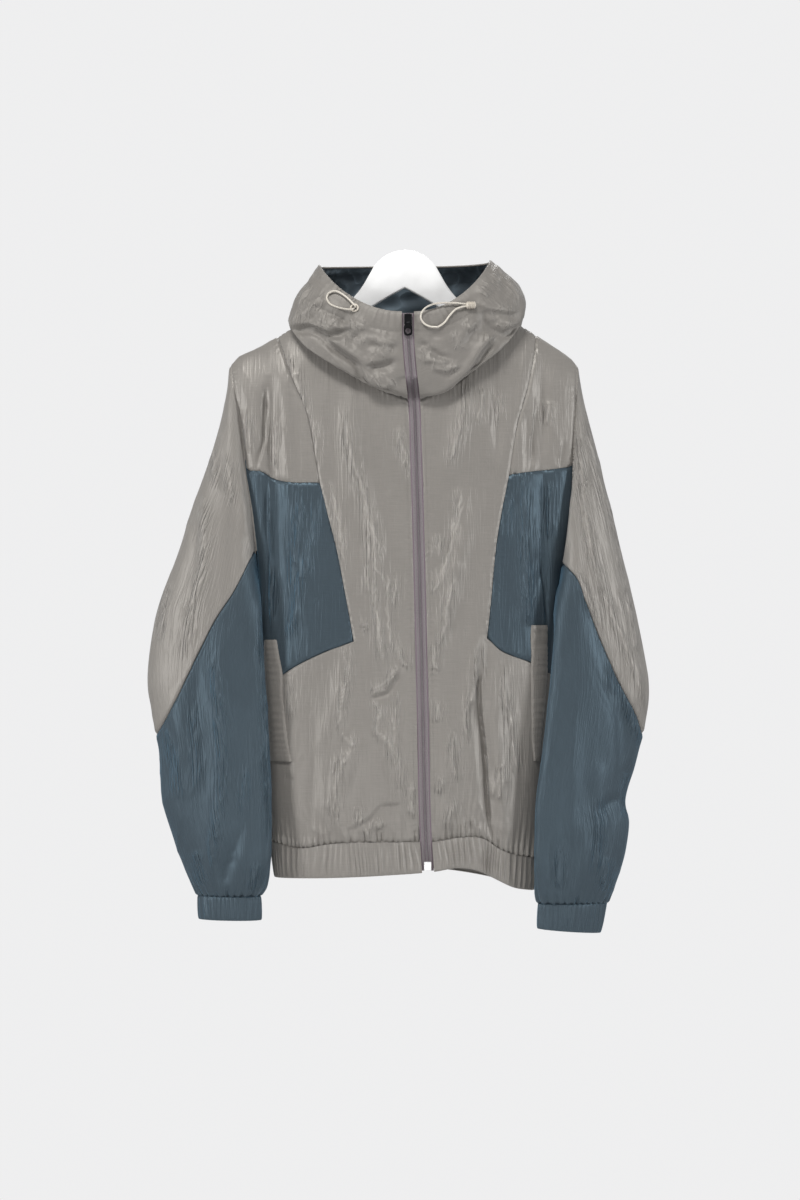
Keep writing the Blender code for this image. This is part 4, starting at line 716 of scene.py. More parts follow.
def zip_heights():
    """The heights at which both tapes and the coil have their points."""
    return np.linspace(ZIP_BOTTOM, ZIP_TOP, ZIP_ROWS + 1) * MM


def tape_depth(z):
    """Depth of the tapes' faces, a little behind the cloth, on their own facets."""
    height = zip_heights()
    return np.interp(z, height, zip_depth(height) + TAPE_SINK * MM)


# ------------------------------------------------------------------ sewn on
# pocket welts: outline rows from the lower end up, rear edge and front edge
WELT_ROWS_LEFT = (
    (-609, -168, -140), (-580, -169.5, -145), (-530, -173, -150), (-508, -174, -151.3),
    (-459.5, -176, -158.7))
WELT_ROWS_RIGHT = (
    (-609, 168, 160), (-580, 170, 157.4), (-540, 174.5, 156.5), (-488, 177, 156),
    (-441.5, 177, 156))

CORD_RADIUS = 1.1
# the two cord loops, each from the hood round and back to it: x, y and z
CORD_LEFT = (
    (-60.6, -148.2, -52.6), (-60.8, -151.5, -51.6), (-64, -149.9, -48.2),
    (-70, -146.2, -42), (-77.5, -142, -35.9), (-86, -138.7, -32.4), (-93, -137.9, -34.8),
    (-95.6, -138.6, -40.5), (-92, -142.5, -48), (-82.4, -145.6, -52.9),
    (-72, -148.8, -55.4), (-66, -151, -56), (-62.6, -151.6, -55.2),
    (-62.3, -148.2, -54.6))
CORD_RIGHT = (
    (75.8, -149.5, -52), (70, -150.4, -53), (62, -151.2, -56), (55.4, -152.8, -62.7),
    (46.7, -154.9, -73.8), (38.5, -156.2, -78), (30.8, -156.2, -77.5), (22.5, -155.9, -73),
    (19.2, -155.3, -66), (20.5, -154.6, -60), (26, -154, -54), (33, -153, -50.5),
    (42, -152, -48.6), (55, -150.6, -48.2), (66, -149.8, -48.6), (71, -149.5, -49.2),
    (75.8, -149.5, -49.4))


# ------------------------------------------------------------------ hanger
HANGER_THICK = 10.0
HANGER_MIDDLE = -90.0
HANGER_ROUND = 2.2              # rounding of its edges
HANGER_POINTS = 150             # along half of its outline
# half of the outline, from the dome's top out to the arm's end and back to the notch
HANGER_HALF = (
    (0, 23.4), (10, 22.4), (19, 19.3), (28, 14), (36, 6.5), (43, -5), (53, -22),
    (66, -37.5), (84, -48), (107, -60.5), (150, -85), (180, -102.5), (189, -109), (193, -118),
    (189, -127), (180, -128.5), (150, -112), (107, -86.5), (60, -59.5), (20, -34.5), (0, -23.4))


# ------------------------------------------------------------------ creases
# light creases of the front: half width, height (below 0 a furrow) and places
FRONT_CREASES = (
    (2, 0.9, (-46.7, -361.6), (-44.3, -405.9)),
    (2.6, 1.5, (-36.9, -361.6), (-35.7, -423.1), (-30.8, -442.8), (-24.6, -506.8)),
    (2.2, 1.2, (-28.3, -361.6), (-19.7, -386.2), (-21.6, -425.6), (-16, -464.9), (-12.3, -487.1)),
    (1.8, 0.9, (-17.2, -376.4), (-11.1, -386.2), (-14.8, -423.1)),
    (2.2, 1.2, (-8.6, -464.9), (-2.5, -484.6), (3.7, -489.5), (1.2, -495.7)),
    (2.2, -1.7, (-44.3, -526.4), (-24.6, -519.1), (-4.9, -494.5)),
    (2, 1.2, (-46.7, -521.5), (-27.1, -512.9), (-7.4, -489.5)),
    (2.4, 1.2, (-41.8, -531.4), (-29.5, -551), (-35.7, -565.8), (-27.1, -578.1),
     (-16, -592.9), (-18.4, -617.5)),
    (2.2, 1.2, (-7.4, -519.1), (-12.3, -563.3), (-14.8, -590.4), (-4.9, -622.4), (-1.2, -654.4)),
    (3, 1.4, (-67.7, -464.9), (-70.1, -499.4), (-81.2, -558.4), (-91, -583)),
    (3.6, 1.9, (-59, -590.4), (-78.7, -612.5), (-84.9, -637.1), (-86.1, -671.6), (-78.7, -691.3)),
    (2.2, 1.2, (-76.3, -573.2), (-59, -590.4)),
    (1.8, -1.1, (-32, -600.2), (-20.9, -644.5), (-14.8, -703.6)),
    (2, 1.2, (6.2, -629.8), (7.4, -647), (11.1, -679)),
    (2.2, -1.6, (-49.2, -681.4), (-29.5, -661.7), (-14.8, -665.4), (0, -656.8)),
    (2, 1.3, (-59, -661.7), (-51.7, -688.8), (-41.8, -703.6)),
    (2, 1.2, (-36.9, -679), (-29.5, -691.3)),
    (2.4, -1.5, (-95.9, -656.8), (-83.6, -674), (-71.3, -688.8), (-59, -701.1)),
    (2.6, 1.5, (65.2, -361.6), (56.6, -391.1), (48, -442.8), (36.9, -479.7)),
    (1.8, 0.9, (44.3, -366.5), (41.8, -386.2), (32, -405.9)),
    (1.8, 1, (36.9, -460), (35.7, -489.5), (43, -499.4)),
    (3, 1.6, (95.9, -461.2), (87.3, -499.4), (84.9, -521.5), (71.3, -556), (76.3, -575.6),
     (71.3, -597.8)),
    (2.4, 1.3, (61.5, -568.3), (59, -573.2), (57.8, -605.2), (65.2, -634.7)),
    (2, 1.1, (36.9, -647), (49.2, -627.3)),
    (2.4, 1.3, (64, -651.9), (56.6, -669.1), (52.9, -693.7)),
    (1.6, 0.8, (38.1, -533.8), (40.6, -560.9)),
    (2.4, 1.4, (120.5, -612.5), (110.7, -639.6), (105.8, -651.9)),
    (2.4, 1.2, (118.1, -484.6), (123, -533.8), (135.3, -583)),
    (2, -1.2, (71.3, -656.8), (83.6, -698.6)),
    (2, -1.3, (41.8, -706), (59, -735.5)),
    (2.4, 1.3, (-75.8, -164.8), (-69.7, -214), (-59.5, -255), (-51.2, -279.6), (-34.9, -337),
     (-26.6, -378)),
    (2, 1, (-92.2, -263.2), (-82, -308.3), (-71.8, -378)),
    (2.2, 1.2, (-51.2, -296), (-38.9, -328.8), (-36.9, -369.8), (-14.4, -402.6)),
    (1.8, 0.9, (-55.4, -275.5), (-45.1, -312.4), (-43, -378)),
    (1.8, 0.8, (-116.8, -173), (-108.7, -214), (-110.7, -255)),
    (1.8, 0.7, (-12.3, -197.6), (2.1, -238.6), (14.4, -263.2)),
    (1.6, -1.3, (-26.6, -270.6), (-17.2, -278.4)),
    (1.6, -1.3, (-16.4, -287.8), (-7.4, -289.5)),
    (2.6, 1.5, (75.9, -144.3), (67.7, -197.6), (51.3, -250.9)),
    (1.8, 1, (114.8, -152.5), (112.8, -197.6)),
    (1.8, 0.9, (96.3, -148.4), (88.2, -197.6)),
    (2.4, 1.5, (80, -271.4), (63.6, -316.5), (47.1, -378), (43, -410.8)),
    (1.8, 1, (71.7, -271.4), (55.4, -337)),
    (1.6, 0.8, (43, -328.8), (41, -361.6)),
    (1.6, 0.7, (-145.6, -103.3), (-125, -164.8), (-114.8, -197.6)),
    (2, 1.1, (-145.6, -505.1), (-141.4, -558.4)),
    (2, -1.3, (-116.8, -525.6), (-121, -591.2), (-137.3, -624)),
    (2, -1.4, (-157.9, -607.6), (-133.2, -612.5)),
    (2, -1.4, (-149.6, -630.2), (-135.3, -633)),
    (2.2, 1.2, (-155.8, -517.4), (-145.6, -550.2)),
    (1.8, -1.2, (149.7, -644.5), (159.9, -640.4)),
    (2.2, 1, (129.2, -558.4), (137.4, -624)),
    (2.2, 1.2, (120.9, -624), (112.8, -656.8)),
    (2.2, 1.2, (-55.4, -443.6), (-43, -439.5)),
    (2, -1.3, (-59.5, -449.8), (-45.1, -441.6)))
# the same for the yokes and the blue panels
SIDE_CREASES = (
    (3.2, -2.4, (-168.1, -144.3), (-169.3, -214), (-180.4, -250.9)),
    (2.2, 1.3, (-155.8, -181.2), (-157.9, -250.9)),
    (1.8, 0.9, (-194.7, -173), (-188.6, -230.4)),
    (2.4, -1.6, (155.8, -164.8), (151.7, -250.9)),
    (2, -1.2, (190.7, -214), (188.6, -250.9)),
    (1.8, 0.9, (176.3, -164.8), (174.3, -197.6)),
    (2.2, -1.6, (-168.1, -255), (-166.1, -402.6)),
    (2, 1.4, (-125, -271.4), (-133.2, -337), (-141.4, -398.5)),
    (2, 1.3, (-106.6, -279.6), (-114.8, -337), (-125, -394.4)),
    (2.4, 1.8, (147.6, -250.9), (145.5, -328.8), (149.7, -408.8)),
    (3, -1.8, (166.1, -255), (159.9, -337), (166.1, -408.8)),
    (1.8, 1, (179.2, -263.2), (176.3, -337)),
    (1.8, 0.9, (129.2, -279.6), (125.1, -337)),
    (2, 1.5, (-125, -361.6), (-133.2, -414.9), (-141.4, -460)),
    (2, 1.4, (149.7, -361.6), (151.7, -443.6)),
    (2.4, -1.6, (164, -369.8), (174.3, -398.5), (180.4, -423.1)),
    (1.8, 1, (-161.9, -369.8), (-164, -435.4)),
    (1.8, -1.2, (-102.5, -398.5), (-112.7, -423.1), (-114.8, -455.9)))
# the same for the sleeves
SLEEVE_CREASES_LEFT = (
    (2.4, 1.4, (-239.8, -197.6), (-230.8, -275.5)),
    (2.2, 1.2, (-264.4, -246.8), (-276.8, -328.8)),
    (2.6, 1.5, (-250.1, -279.6), (-246, -337), (-252.2, -410.8)),
    (2, 1, (-219.3, -230.4), (-211.2, -296)),
    (2.4, 1.3, (-250.1, -361.6), (-260.3, -414.9), (-272.6, -484.6)),
    (2, 1, (-293.2, -386.2), (-303.4, -464.1)),
    (2.6, 1.6, (-241.9, -464.1), (-227.5, -525.6), (-223.5, -591.2), (-223.5, -648.6),
     (-233.7, -710.1), (-239.8, -755.2)),
    (2, 1.2, (-260.3, -525.6), (-258.3, -591.2), (-252.2, -648.6)),
    (2.4, 1.2, (-177.5, -427.2), (-172.2, -484.6), (-168.9, -591.2), (-166.9, -710.1)),
    (2.4, -1.9, (-202.9, -687.6), (-215.2, -730.6), (-227.5, -771.6)),
    (1.8, 1, (-295.2, -566.6), (-284.9, -607.6), (-276.8, -656.8)),
    (2, 1.3, (-256.2, -718.3), (-250.1, -763.4)),
    (1.8, 1, (-194.7, -615.8), (-198.9, -673.2)),
    (2, 1.2, (-180.4, -730.6), (-186.6, -767.5)),
    (1.8, 0.9, (-233.7, -496.9), (-230.8, -533.8)))
# and on the other side
SLEEVE_CREASES_RIGHT = (
    (3.4, -2.2, (213.2, -123.8), (211.2, -160.7), (208.3, -246.8)),
    (2.4, 1.6, (224.3, -160.7), (229.6, -214), (235.8, -255), (264.4, -337), (272.7, -398.5)),
    (2, 1.2, (215.2, -197.6), (219.3, -296), (231.6, -361.6), (252.2, -402.6)),
    (2, 1, (243.9, -230.4), (252.2, -279.6)),
    (2.6, 1.7, (235.8, -361.6), (243.9, -402.6), (260.4, -443.6), (285, -496.9), (299.3, -558.4)),
    (2.2, 1.2, (268.5, -386.2), (276.8, -423.1), (289.1, -484.6)),
    (2, 1.1, (211.2, -369.8), (227.5, -414.9), (248.1, -451.8)),
    (2.4, 1.5, (264.4, -509.2), (276.8, -546.1), (293.2, -591.2)),
    (1.8, 0.9, (239.8, -648.6), (235.8, -751.1)),
    (2.2, 1.3, (276.8, -624), (274.7, -681.4)),
    (1.8, 0.9, (190.7, -710.1), (188.6, -767.5)),
    (2.4, -1.8, (295.2, -591.2), (276.8, -624), (274.7, -648.6)),
    (2, 1, (254.2, -488.7), (256.2, -525.6)),
    (2, 1.2, (248.1, -726.5), (246, -771.6)),
    (1.8, -1.2, (229.6, -496.9), (252.2, -537.9), (268.5, -566.6)))
# the hood's outside, which rolls over the neck seam
CHIN_FOLDS = (
    (3.4, 3, (-143.5, -75), (-127.1, -61.3), (-106.6, -46.9), (-92.2, -40.2)),
    (4, -3.2, (-139.4, -76.7), (-116.8, -73.6), (-92.2, -83.8), (-85.1, -80.4), (-70.7, -73.6)),
    (3.2, 2.6, (-110.7, -64.4), (-94.3, -72.6), (-77.9, -64.4)),
    (3, -2.6, (-72.8, -56.2), (-74.8, -70.5), (-86.1, -79.7)),
    (3.2, 2.4, (-71.8, -66.4), (-59.4, -80.8), (-47.1, -70.5)),
    (2.8, -2.4, (-57.4, -74.6), (-61.5, -84.9), (-71.8, -91)),
    (2.8, 2.2, (-75.8, -86.9), (-55.4, -93.1), (-43, -85.9)),
    (2.6, -2.2, (-71.8, -96.1), (-51.3, -89.4)),
    (3.6, 3, (-47.1, -118.7), (-30.8, -109.5), (-15.4, -109.9)),
    (3.2, -3, (-53.3, -124.8), (-39, -120.1), (-26.7, -118.1), (-12.3, -112.5)),
    (2.8, 2.4, (-28.7, -115.6), (-19.5, -99.2)),
    (2.8, -2.8, (-30.8, -148.4), (-24.6, -132), (-12.3, -142.3), (-1, -132)),
    (2.8, 2.4, (-30.8, -132), (-20.5, -142.3), (-6.2, -146.4)),
    (3.2, 2.6, (-43, -138.2), (-30.8, -146.4), (-14.4, -148.4)),
    (2.8, 2.2, (-34.8, -99.2), (-26.7, -91), (-22.5, -82.8)),
    (2.4, 1.8, (-22.5, -93.1), (-10.2, -99.2)),
    (2.8, -2.4, (17.4, -89), (30.8, -101.3), (43, -109.5), (57.4, -116)),
    (2.8, 2.4, (24.6, -118.7), (38.9, -119.7), (53.3, -119.3)),
    (2.8, 2.4, (30.8, -125.9), (51.2, -130), (67.7, -123.8)),
    (2.4, 2, (22.6, -99.2), (27.7, -111.5), (21.5, -123.8)),
    (3, -2.6, (95.3, -100.2), (93.3, -84.9), (106.6, -73), (119.9, -80.8)),
    (2.8, 2.6, (99.4, -97.2), (102.9, -82.8)),
    (2.8, 2.4, (88.1, -51.7), (112.7, -54.5), (139.4, -56.6)),
    (3.4, -3, (101.5, -57.2), (105, -74.6), (123, -80.4), (141.4, -70.5)),
    (2.8, 2.4, (110.7, -58.2), (116.8, -70.5), (133.2, -70.5)),
    (3, 2.4, (110.7, 3.3), (118.9, -11.1), (111.1, -35.7)),
    (2.8, 1.8, (122, -9), (133.2, -29.5), (141.4, -48)),
    (2.6, 1.8, (92.2, -39.8), (109.7, -21.7)),
    (2.6, -2, (114.8, -0.8), (121, -21.3), (118.9, -41.8)),
    (2.6, 2, (-116.8, -19.3), (-123, -35.7), (-131.2, -54.1)),
    (2.8, -2.2, (-108.7, -19.3), (-118.9, -29.5), (-125, -45.9)),
    (2.6, 2, (-109.7, 3.3), (-114.8, -15.2)),
    (2.6, -2, (-92.2, -16.2), (-80, -27.5), (-63.6, -39.8)),
    (2.6, 2, (-86.1, -17.2), (-67.7, -31.6), (-51.3, -44.9)),
    (2.4, 1.8, (57.4, -82.8), (65.6, -95.1), (63.5, -107.4)),
    (2.4, -1.8, (36.9, -82.8), (35.9, -93.1)),
    (2.4, 1.6, (71.8, -70.5), (86.1, -82.8)))
# folds with one sharp side: width of the slow side (below 0 on the left) and height
OVERLAPS = (
    (24, 4.6, (98.4, -460), (91.5, -516.6), (97.2, -558.4), (103.3, -607.6), (105.8, -644.5),
     (110.7, -725.7)),
    (13, 3, (-166.9, -144.3), (-168.5, -214), (-179.2, -250.9)),
    (14, 4.2, (-166.9, -255), (-165.2, -402.6), (-163, -455)),
    (-12, 2.6, (157, -160.7), (152.1, -250.9)),
    (-14, 4.4, (166.9, -255), (162.3, -337), (168.9, -408.8), (171, -450)),
    (-8, 1.6, (191.5, -214), (189.4, -250.9)),
    (-9, 2.4, (-4.9, -493.2), (-24.6, -520.3), (-45.5, -527.7)),
    (8, 1.8, (-71.3, -688.8), (-49.2, -679), (-29.5, -660.5), (0, -656.8)))
# the same on the hood
HOOD_OVERLAPS = (
    (12, 4.6, (-105.6, -79.7), (-86.1, -96.1), (-54.3, -120.7), (-43, -145.3),
     (-22.5, -152.1), (-3.1, -158.7)),
    (-12, 4.6, (110.7, -82.8), (98.4, -99.2), (77.9, -127.9), (51.2, -152.5), (24.6, -164.8)),
    (12, 4.6, (-142.5, -74.6), (-116.8, -73), (-92.2, -82.8), (-71.8, -73.6)),
    (10, 3.6, (-53.3, -124.8), (-39, -120.1), (-26.7, -118.1), (-12.3, -112.5)),
    (8, 2.6, (-30.8, -148.4), (-22.5, -135.1), (-12.3, -142.3), (-1, -133)),
    (8, 2.8, (17.4, -89), (30.8, -101.3), (43, -109.5), (57.4, -116)),
    (7, 2, (22.6, -118.7), (38.9, -120.1), (53.3, -119.3)),
    (10, 4.2, (101.5, -57.2), (105, -74.6), (123, -80.4), (141.4, -70.5)),
    (-7, 2.4, (-57.4, -74.6), (-61.5, -84.9), (-71.8, -91)),
    (-8, 2.6, (-67.7, -74.6), (-74.8, -79.7), (-86.1, -79.7)),
    (8, 2.6, (-123, -50), (-102.5, -44.3), (-86.1, -56.2), (-67.7, -70.5)),
    (-8, 2.6, (-19.5, -91), (-24.6, -101.3), (-30.8, -111.5)),
    (7, 2.2, (-43, -91), (-30.8, -99.2), (-12.3, -99.2)),
    (9, 2.8, (-47.1, -142.3), (-30.8, -146.8), (-12.3, -148.4)),
    (-8, 2.4, (88.1, -70.5), (75.8, -82.8), (69.7, -99.2)),
    (7, 2, (30.8, -125.9), (51.2, -130.4), (67.7, -124.2)),
    (7, 2.4, (88.1, -51.7), (112.7, -55.1), (139.4, -57.4)),
    (6, 2, (-109.7, 1.2), (-102.5, -15.2), (-86.1, -18.2)),
    (-6, 2, (118.9, 5.3), (112.7, -15.2), (94.3, -37.7)))


def knots(column, row, seed):
    """A repeatable number from -1 to 1 for each whole place of a lattice."""
    mixed = (column * 374761393 + row * 668265263 + seed * 974711) & 0xFFFFFFFF
    mixed = ((mixed ^ (mixed >> 13)) * 1274126177) & 0xFFFFFFFF
    return ((mixed ^ (mixed >> 16)) & 0xFFFF) / 32767.5 - 1


def waver(x, y, seed):
    """Smooth uneven heights from -1 to 1 whose knots lie one unit apart."""
    column, row = np.floor(x).astype(np.int64), np.floor(y).astype(np.int64)
    right, up = x - column, y - row
    right, up = right * right * (3 - 2 * right), up * up * (3 - 2 * up)
    low = knots(column, row, seed) * (1 - right) + knots(column + 1, row, seed) * right
    high = (knots(column, row + 1, seed) * (1 - right)
            + knots(column + 1, row + 1, seed) * right)
    return low * (1 - up) + high * up


def crinkle(across, down, wide, tall, seed):
    """Soft hollows between thin raised creases, from about -0.4 to 0.6."""
    sway = 0.8 * waver(across / (3 * wide), down / (0.7 * tall), seed + 5)
    rough = waver(across / wide + sway, down / tall, seed)
    patch = 0.55 + 0.45 * waver(across / (5 * wide), down / (1.5 * tall), seed + 9)
    return ((1 - np.abs(rough)) ** 3 - 0.4) * patch


def crinkled(x, z, sizes, seed):
    """Crinkles of a given height, width and length."""
    height, wide, tall = sizes
    return height * crinkle(x, z, wide, tall, seed)


def rounded(away, height, reach):
    """A rounded swell or dip along a line."""
    return height * np.exp(-(away / reach) ** 2)


def calmed(away, reach, least):
    """The share of the creases that is left near a seam."""
    return np.clip(away / reach, least, 1)


def patches(x, z, share, wide, tall, seed):
    """Where cloth that doesn't show from the front is creased, from 0 to 1; it masks the nylon's
    relief and its painted highlights there.
    """
    return np.clip(share + waver(x / wide, z / tall, seed), 0, 1)


def nearest(x, z, line):
    """Signed distance from a line through places, the run along it and its length."""
    spots = np.array(line) * MM
    steps = np.diff(spots, axis=0)
    lengths = np.hypot(steps[:, 0], steps[:, 1])
    begun = np.concatenate(((0,), lengths.cumsum()))
    gap = np.full(np.broadcast(x, z).shape, 9.0)
    side, run = np.zeros(gap.shape), np.zeros(gap.shape)
    for spot, step, length, start in zip(spots, steps / lengths[:, None], lengths, begun):
        right, up = x - spot[0], z - spot[1]
        ahead = np.clip(right * step[0] + up * step[1], 0, length)
        off = np.hypot(right - ahead * step[0], up - ahead * step[1])
        closer = off < gap
        gap = np.where(closer, off, gap)
        side = np.where(closer, np.sign(right * step[1] - up * step[0]), side)
        run = np.where(closer, start + ahead, run)
    return gap * side, run, begun[-1]


LEAN, STEEP = 1.8, 0.8          # how wide a crease is on its slow and on its steep side
JAGS = ((1.5, 9, 0), (0.7, 4, 30))      # size and spacing of a crease's steps, and their seed
SECOND_AWAY, SECOND_SWAY = 4.5, 2.0     # of the line beside a crease
SECOND_SWAY_PITCH = 0.020
HEIGHT_PITCH = 0.018            # over which a crease's height changes
CREST, SECOND_CREST = 1.5 * MM, 1.2 * MM    # half widths of the painted highlight streaks on the crests
OVERLAP_SWAY, OVERLAP_SWAY_PITCH = 1.5 * MM, 0.030
OVERLAP_EDGE = 1.5 * MM         # over which an overlap falls on its sharp side
OVERLAP_DIP = 0.6               # depth of the dip beside it, to the overlap's height


def along_waver(run, pitch, seed):
    """Uneven heights from -1 to 1 along a line."""
    return waver(run / pitch, 0 * run, seed)


def end_fade(run, length, steep=5):
    """1 along a line, falling to 0 at both ends."""
    return np.clip(steep * np.minimum(run, length - run) / length, 0, 1)


def jagged(away, run, number):
    """A crease's line wanders in small uneven steps."""
    for size, spacing, seed in JAGS:
        away = away + size * MM * along_waver(run, spacing / 1000, number + seed)
    return away


def beside(away, run, number):
    """A weaker second line that runs beside a crease, nearer and farther by turns."""
    sway = SECOND_SWAY * along_waver(run, SECOND_SWAY_PITCH, number)
    return jagged(away, run, number + 7) - (SECOND_AWAY + sway) * MM


def crease_height(x, z, creases):
    """Sharp-topped jagged creases along lines over the cloth."""
    lift = np.zeros(np.broadcast(x, z).shape)
    for number, (half_width, height, *line) in enumerate(creases):
        away, run, length = nearest(x, z, line)
        tall = height * MM * (0.8 + 0.35 * along_waver(run, HEIGHT_PITCH, number + 50))
        tall = tall * end_fade(run, length, 4)
        main, second = jagged(away, run, number), beside(away, run, number)
        wide = np.where(main < 0, LEAN, STEEP) * half_width * MM
        lift += tall * (np.exp(-np.abs(main / wide) ** 1.15)
                        + 0.4 * np.exp(-np.abs(second / (half_width * MM)) ** 1.2)
                        + 0.3 * np.exp(-(away / (4 * half_width * MM)) ** 2))
    return lift


def crease_reach(x, z, creases, reach=9.0):
    """How near the cloth is to a raised crease: 1 on it, below a half around it. It masks the
    nylon's relief and its painted highlights.
    """
    near = np.zeros(np.broadcast(x, z).shape)
    for number, (_, height, *line) in enumerate(creases):
        if height < 0:
            continue
        away, run, length = nearest(x, z, line)
        main, second = jagged(away, run, number), beside(away, run, number)
        crest = np.maximum(np.exp(-np.abs(main / CREST)),
                           0.6 * np.exp(-np.abs(second / SECOND_CREST)))
        around = np.exp(-(away / (reach * MM)) ** 2)
        near = np.maximum(near, end_fade(run, length) * (0.4 * around + 0.6 * crest))
    return near


def overlap_height(x, z, overlaps, dip_width=3.2):
    """Folds that rise slowly on one side and fall sharply on the other."""
    lift = np.zeros(np.broadcast(x, z).shape)
    for number, (rise, height, *line) in enumerate(overlaps):
        away, run, length = nearest(x, z, line)
        sway = OVERLAP_SWAY * along_waver(run, OVERLAP_SWAY_PITCH, number)
        away = away * np.sign(rise) + sway
        slow = np.clip(1 + away / (abs(rise) * MM), 0, 1) ** 2 * (away <= 0)
        sharp = np.exp(-(away / OVERLAP_EDGE) ** 2) * (away > 0)
        dip = np.exp(-((away - (dip_width + 0.8) * MM) / (dip_width * MM)) ** 2)
        lift += height * MM * end_fade(run, length) * (slow + sharp - OVERLAP_DIP * dip)
    return lift


# ------------------------------------------------------------------ sewing
def turned_to(points, edge):
    """A grid turned so that the named edge is its first column."""
    return {"first column": points, "last column": points[:, ::-1],
            "first row": points.transpose(1, 0, 2),
            "last row": points[::-1].transpose(1, 0, 2)}[edge]


def run_across(points):
    """How far along its row each point of a grid lies."""
    away = np.linalg.norm(np.diff(points, axis=1), axis=-1).cumsum(axis=1)
    return np.pad(away, ((0, 0), (1, 0)))


def to_edge(points, edge):
    """Distance of each point of a grid from one edge, and how far it is along it."""
    turned = turned_to(points, edge)
    away = run_across(turned)
    run = np.broadcast_to(run_along(turned[:, 0])[:, None], away.shape)
    if edge == "last column":
        return away[:, ::-1], run[:, ::-1]
    if edge == "first row":
        return away.T, run.T
    if edge == "last row":
        return away.T[::-1], run.T[::-1]
    return away, run


GROOVE_DEPTH = 1.7 * MM         # how deep the cloth rolls down into a seam
GROOVE_REACH = 2.0 * MM


def seam_groove(away):
    """Cloth rolls down into a seam."""
    return -rounded(away, GROOVE_DEPTH, GROOVE_REACH)


def puckers(away, run, height, seed, pitch=6.5, reach=7.0, slant=0.5):
    """Small slanting puckers beside a line of stitches."""
    phase = (run + slant * away) / (pitch * MM) + 0.7 * waver(run / 0.021, away / 0.05, seed)
    uneven = 0.65 + 0.35 * along_waver(run, 0.013, seed + 3)
    return height * uneven * np.sin(2 * math.pi * phase) * np.exp(-(away / (reach * MM)) ** 2)


def gathers(away, run, height, seed, pitch=9.0, reach=30.0):
    """Gathers that spring from a gathered seam and die out, uneven in width and length."""
    phase = run / (pitch * MM) + 0.9 * waver(run / 0.034, away / 0.09, seed)
    far = reach * MM * (0.8 + 0.45 * along_waver(run, 0.017, seed + 3))
    wave = np.sin(2 * math.pi * phase) + 0.35 * np.sin(4.4 * math.pi * phase + 1)
    return height * wave * np.exp(-(away / far) ** 1.5)


# ------------------------------------------------------------------ making pieces
SURFACES = {}                   # the points and normals of each piece of cloth
WELD = 1e-6                     # points nearer than this become one
CLOTH_ANGLE = math.radians(60)  # edges sharper than these stay sharp
HANGER_ANGLE = math.radians(35)


def facing(points, towards, closed=False):
    """Unit normals of a grid, all on the side that the given direction points to."""
    if closed:
        across = np.roll(points, -1, axis=1) - np.roll(points, 1, axis=1)
    else:
        across = np.gradient(points, axis=1)
    normal = unit(np.cross(across, np.gradient(points, axis=0)))
    return normal if np.sum(normal * towards) > 0 else -normal


def deselect():
    """Object mode, with nothing selected."""
    if bpy.context.object and bpy.context.object.mode != "OBJECT":
        bpy.ops.object.mode_set(mode="OBJECT")
    bpy.ops.object.select_all(action="DESELECT")


def new_piece(name):
    """The object that was added last, under its own name."""
    piece = bpy.context.object
    piece.name = piece.data.name = name
    return piece


def give_finish(mesh, finish):
    """Give a mesh one finish."""
    mesh.materials.clear()
    mesh.materials.append(finish)


def values(items, what, width=3):
    """One value or vector of each point or face of a mesh."""
    found = np.empty(len(items) * width)
    items.foreach_get(what, found)
    return found.reshape(-1, width)


def weave_map(mesh, places):
    """The piece's own map, in metres along the cloth's threads."""
    corner = np.empty(len(mesh.loops), np.int64)
    mesh.loops.foreach_get("vertex_index", corner)
    layer = mesh.uv_layers.new(name="threads") if not mesh.uv_layers else mesh.uv_layers[0]
    layer.data.foreach_set("uv", places[corner].astype(np.float32).ravel())


def grid_piece(name, points, towards, finish, wall=THIN, closed=False, offset=-1.0,
               creased=None, flat_map=False):
    """A sheet of cloth from a grid of points, with thread map and thickness."""
    if closed:
        points = np.concatenate((points, points[:, :1]), axis=1)
        if creased is not None:
            creased = np.concatenate((creased, creased[:, :1]), axis=1)
    rows, columns = points.shape[:2]
    deselect()
    bpy.ops.mesh.primitive_grid_add(x_subdivisions=columns - 1, y_subdivisions=rows - 1)
    piece = new_piece(name)
    mesh = piece.data
    if len(mesh.vertices) != rows * columns:
        raise RuntimeError(f"{name} has {len(mesh.vertices)} points in its grid")
    world = points - (0, 0, TABLE_DROP)
    mesh.vertices.foreach_set("co", world.astype(np.float32).ravel())
    if flat_map:
        along_u, along_v = points[..., 0], points[..., 2]
    else:
        along_v = run_across(points.transpose(1, 0, 2)).T
        wide = run_across(points)[:, -1].mean()
        along_u = np.linspace(0, wide, columns)[None] + 0 * along_v
    weave_map(mesh, np.stack((along_u, along_v), axis=-1).reshape(-1, 2))
    if creased is not None:
        layer = mesh.attributes.new("creased", "FLOAT", "POINT")
        layer.data.foreach_set("value", creased.astype(np.float32).ravel())
    mesh.update()
    wish = np.array(towards)
    if callable(towards):
        wish = towards(values(mesh.polygons, "center") + (0, 0, TABLE_DROP))
    if np.sum(values(mesh.polygons, "normal") * wish * values(mesh.polygons, "area", 1)) < 0:
        mesh.flip_normals()
    if closed:
        bpy.ops.object.mode_set(mode="EDIT")
        bpy.ops.mesh.select_all(action="SELECT")
        bpy.ops.mesh.remove_doubles(threshold=WELD)
        bpy.ops.object.mode_set(mode="OBJECT")
    give_finish(mesh, finish)
    if wall:
        solid = piece.modifiers.new("cloth thickness", "SOLIDIFY")
        solid.thickness = wall
        solid.offset = offset
        bpy.ops.object.modifier_apply(modifier=solid.name)
    bpy.ops.object.shade_smooth_by_angle(angle=CLOTH_ANGLE)
    return piece


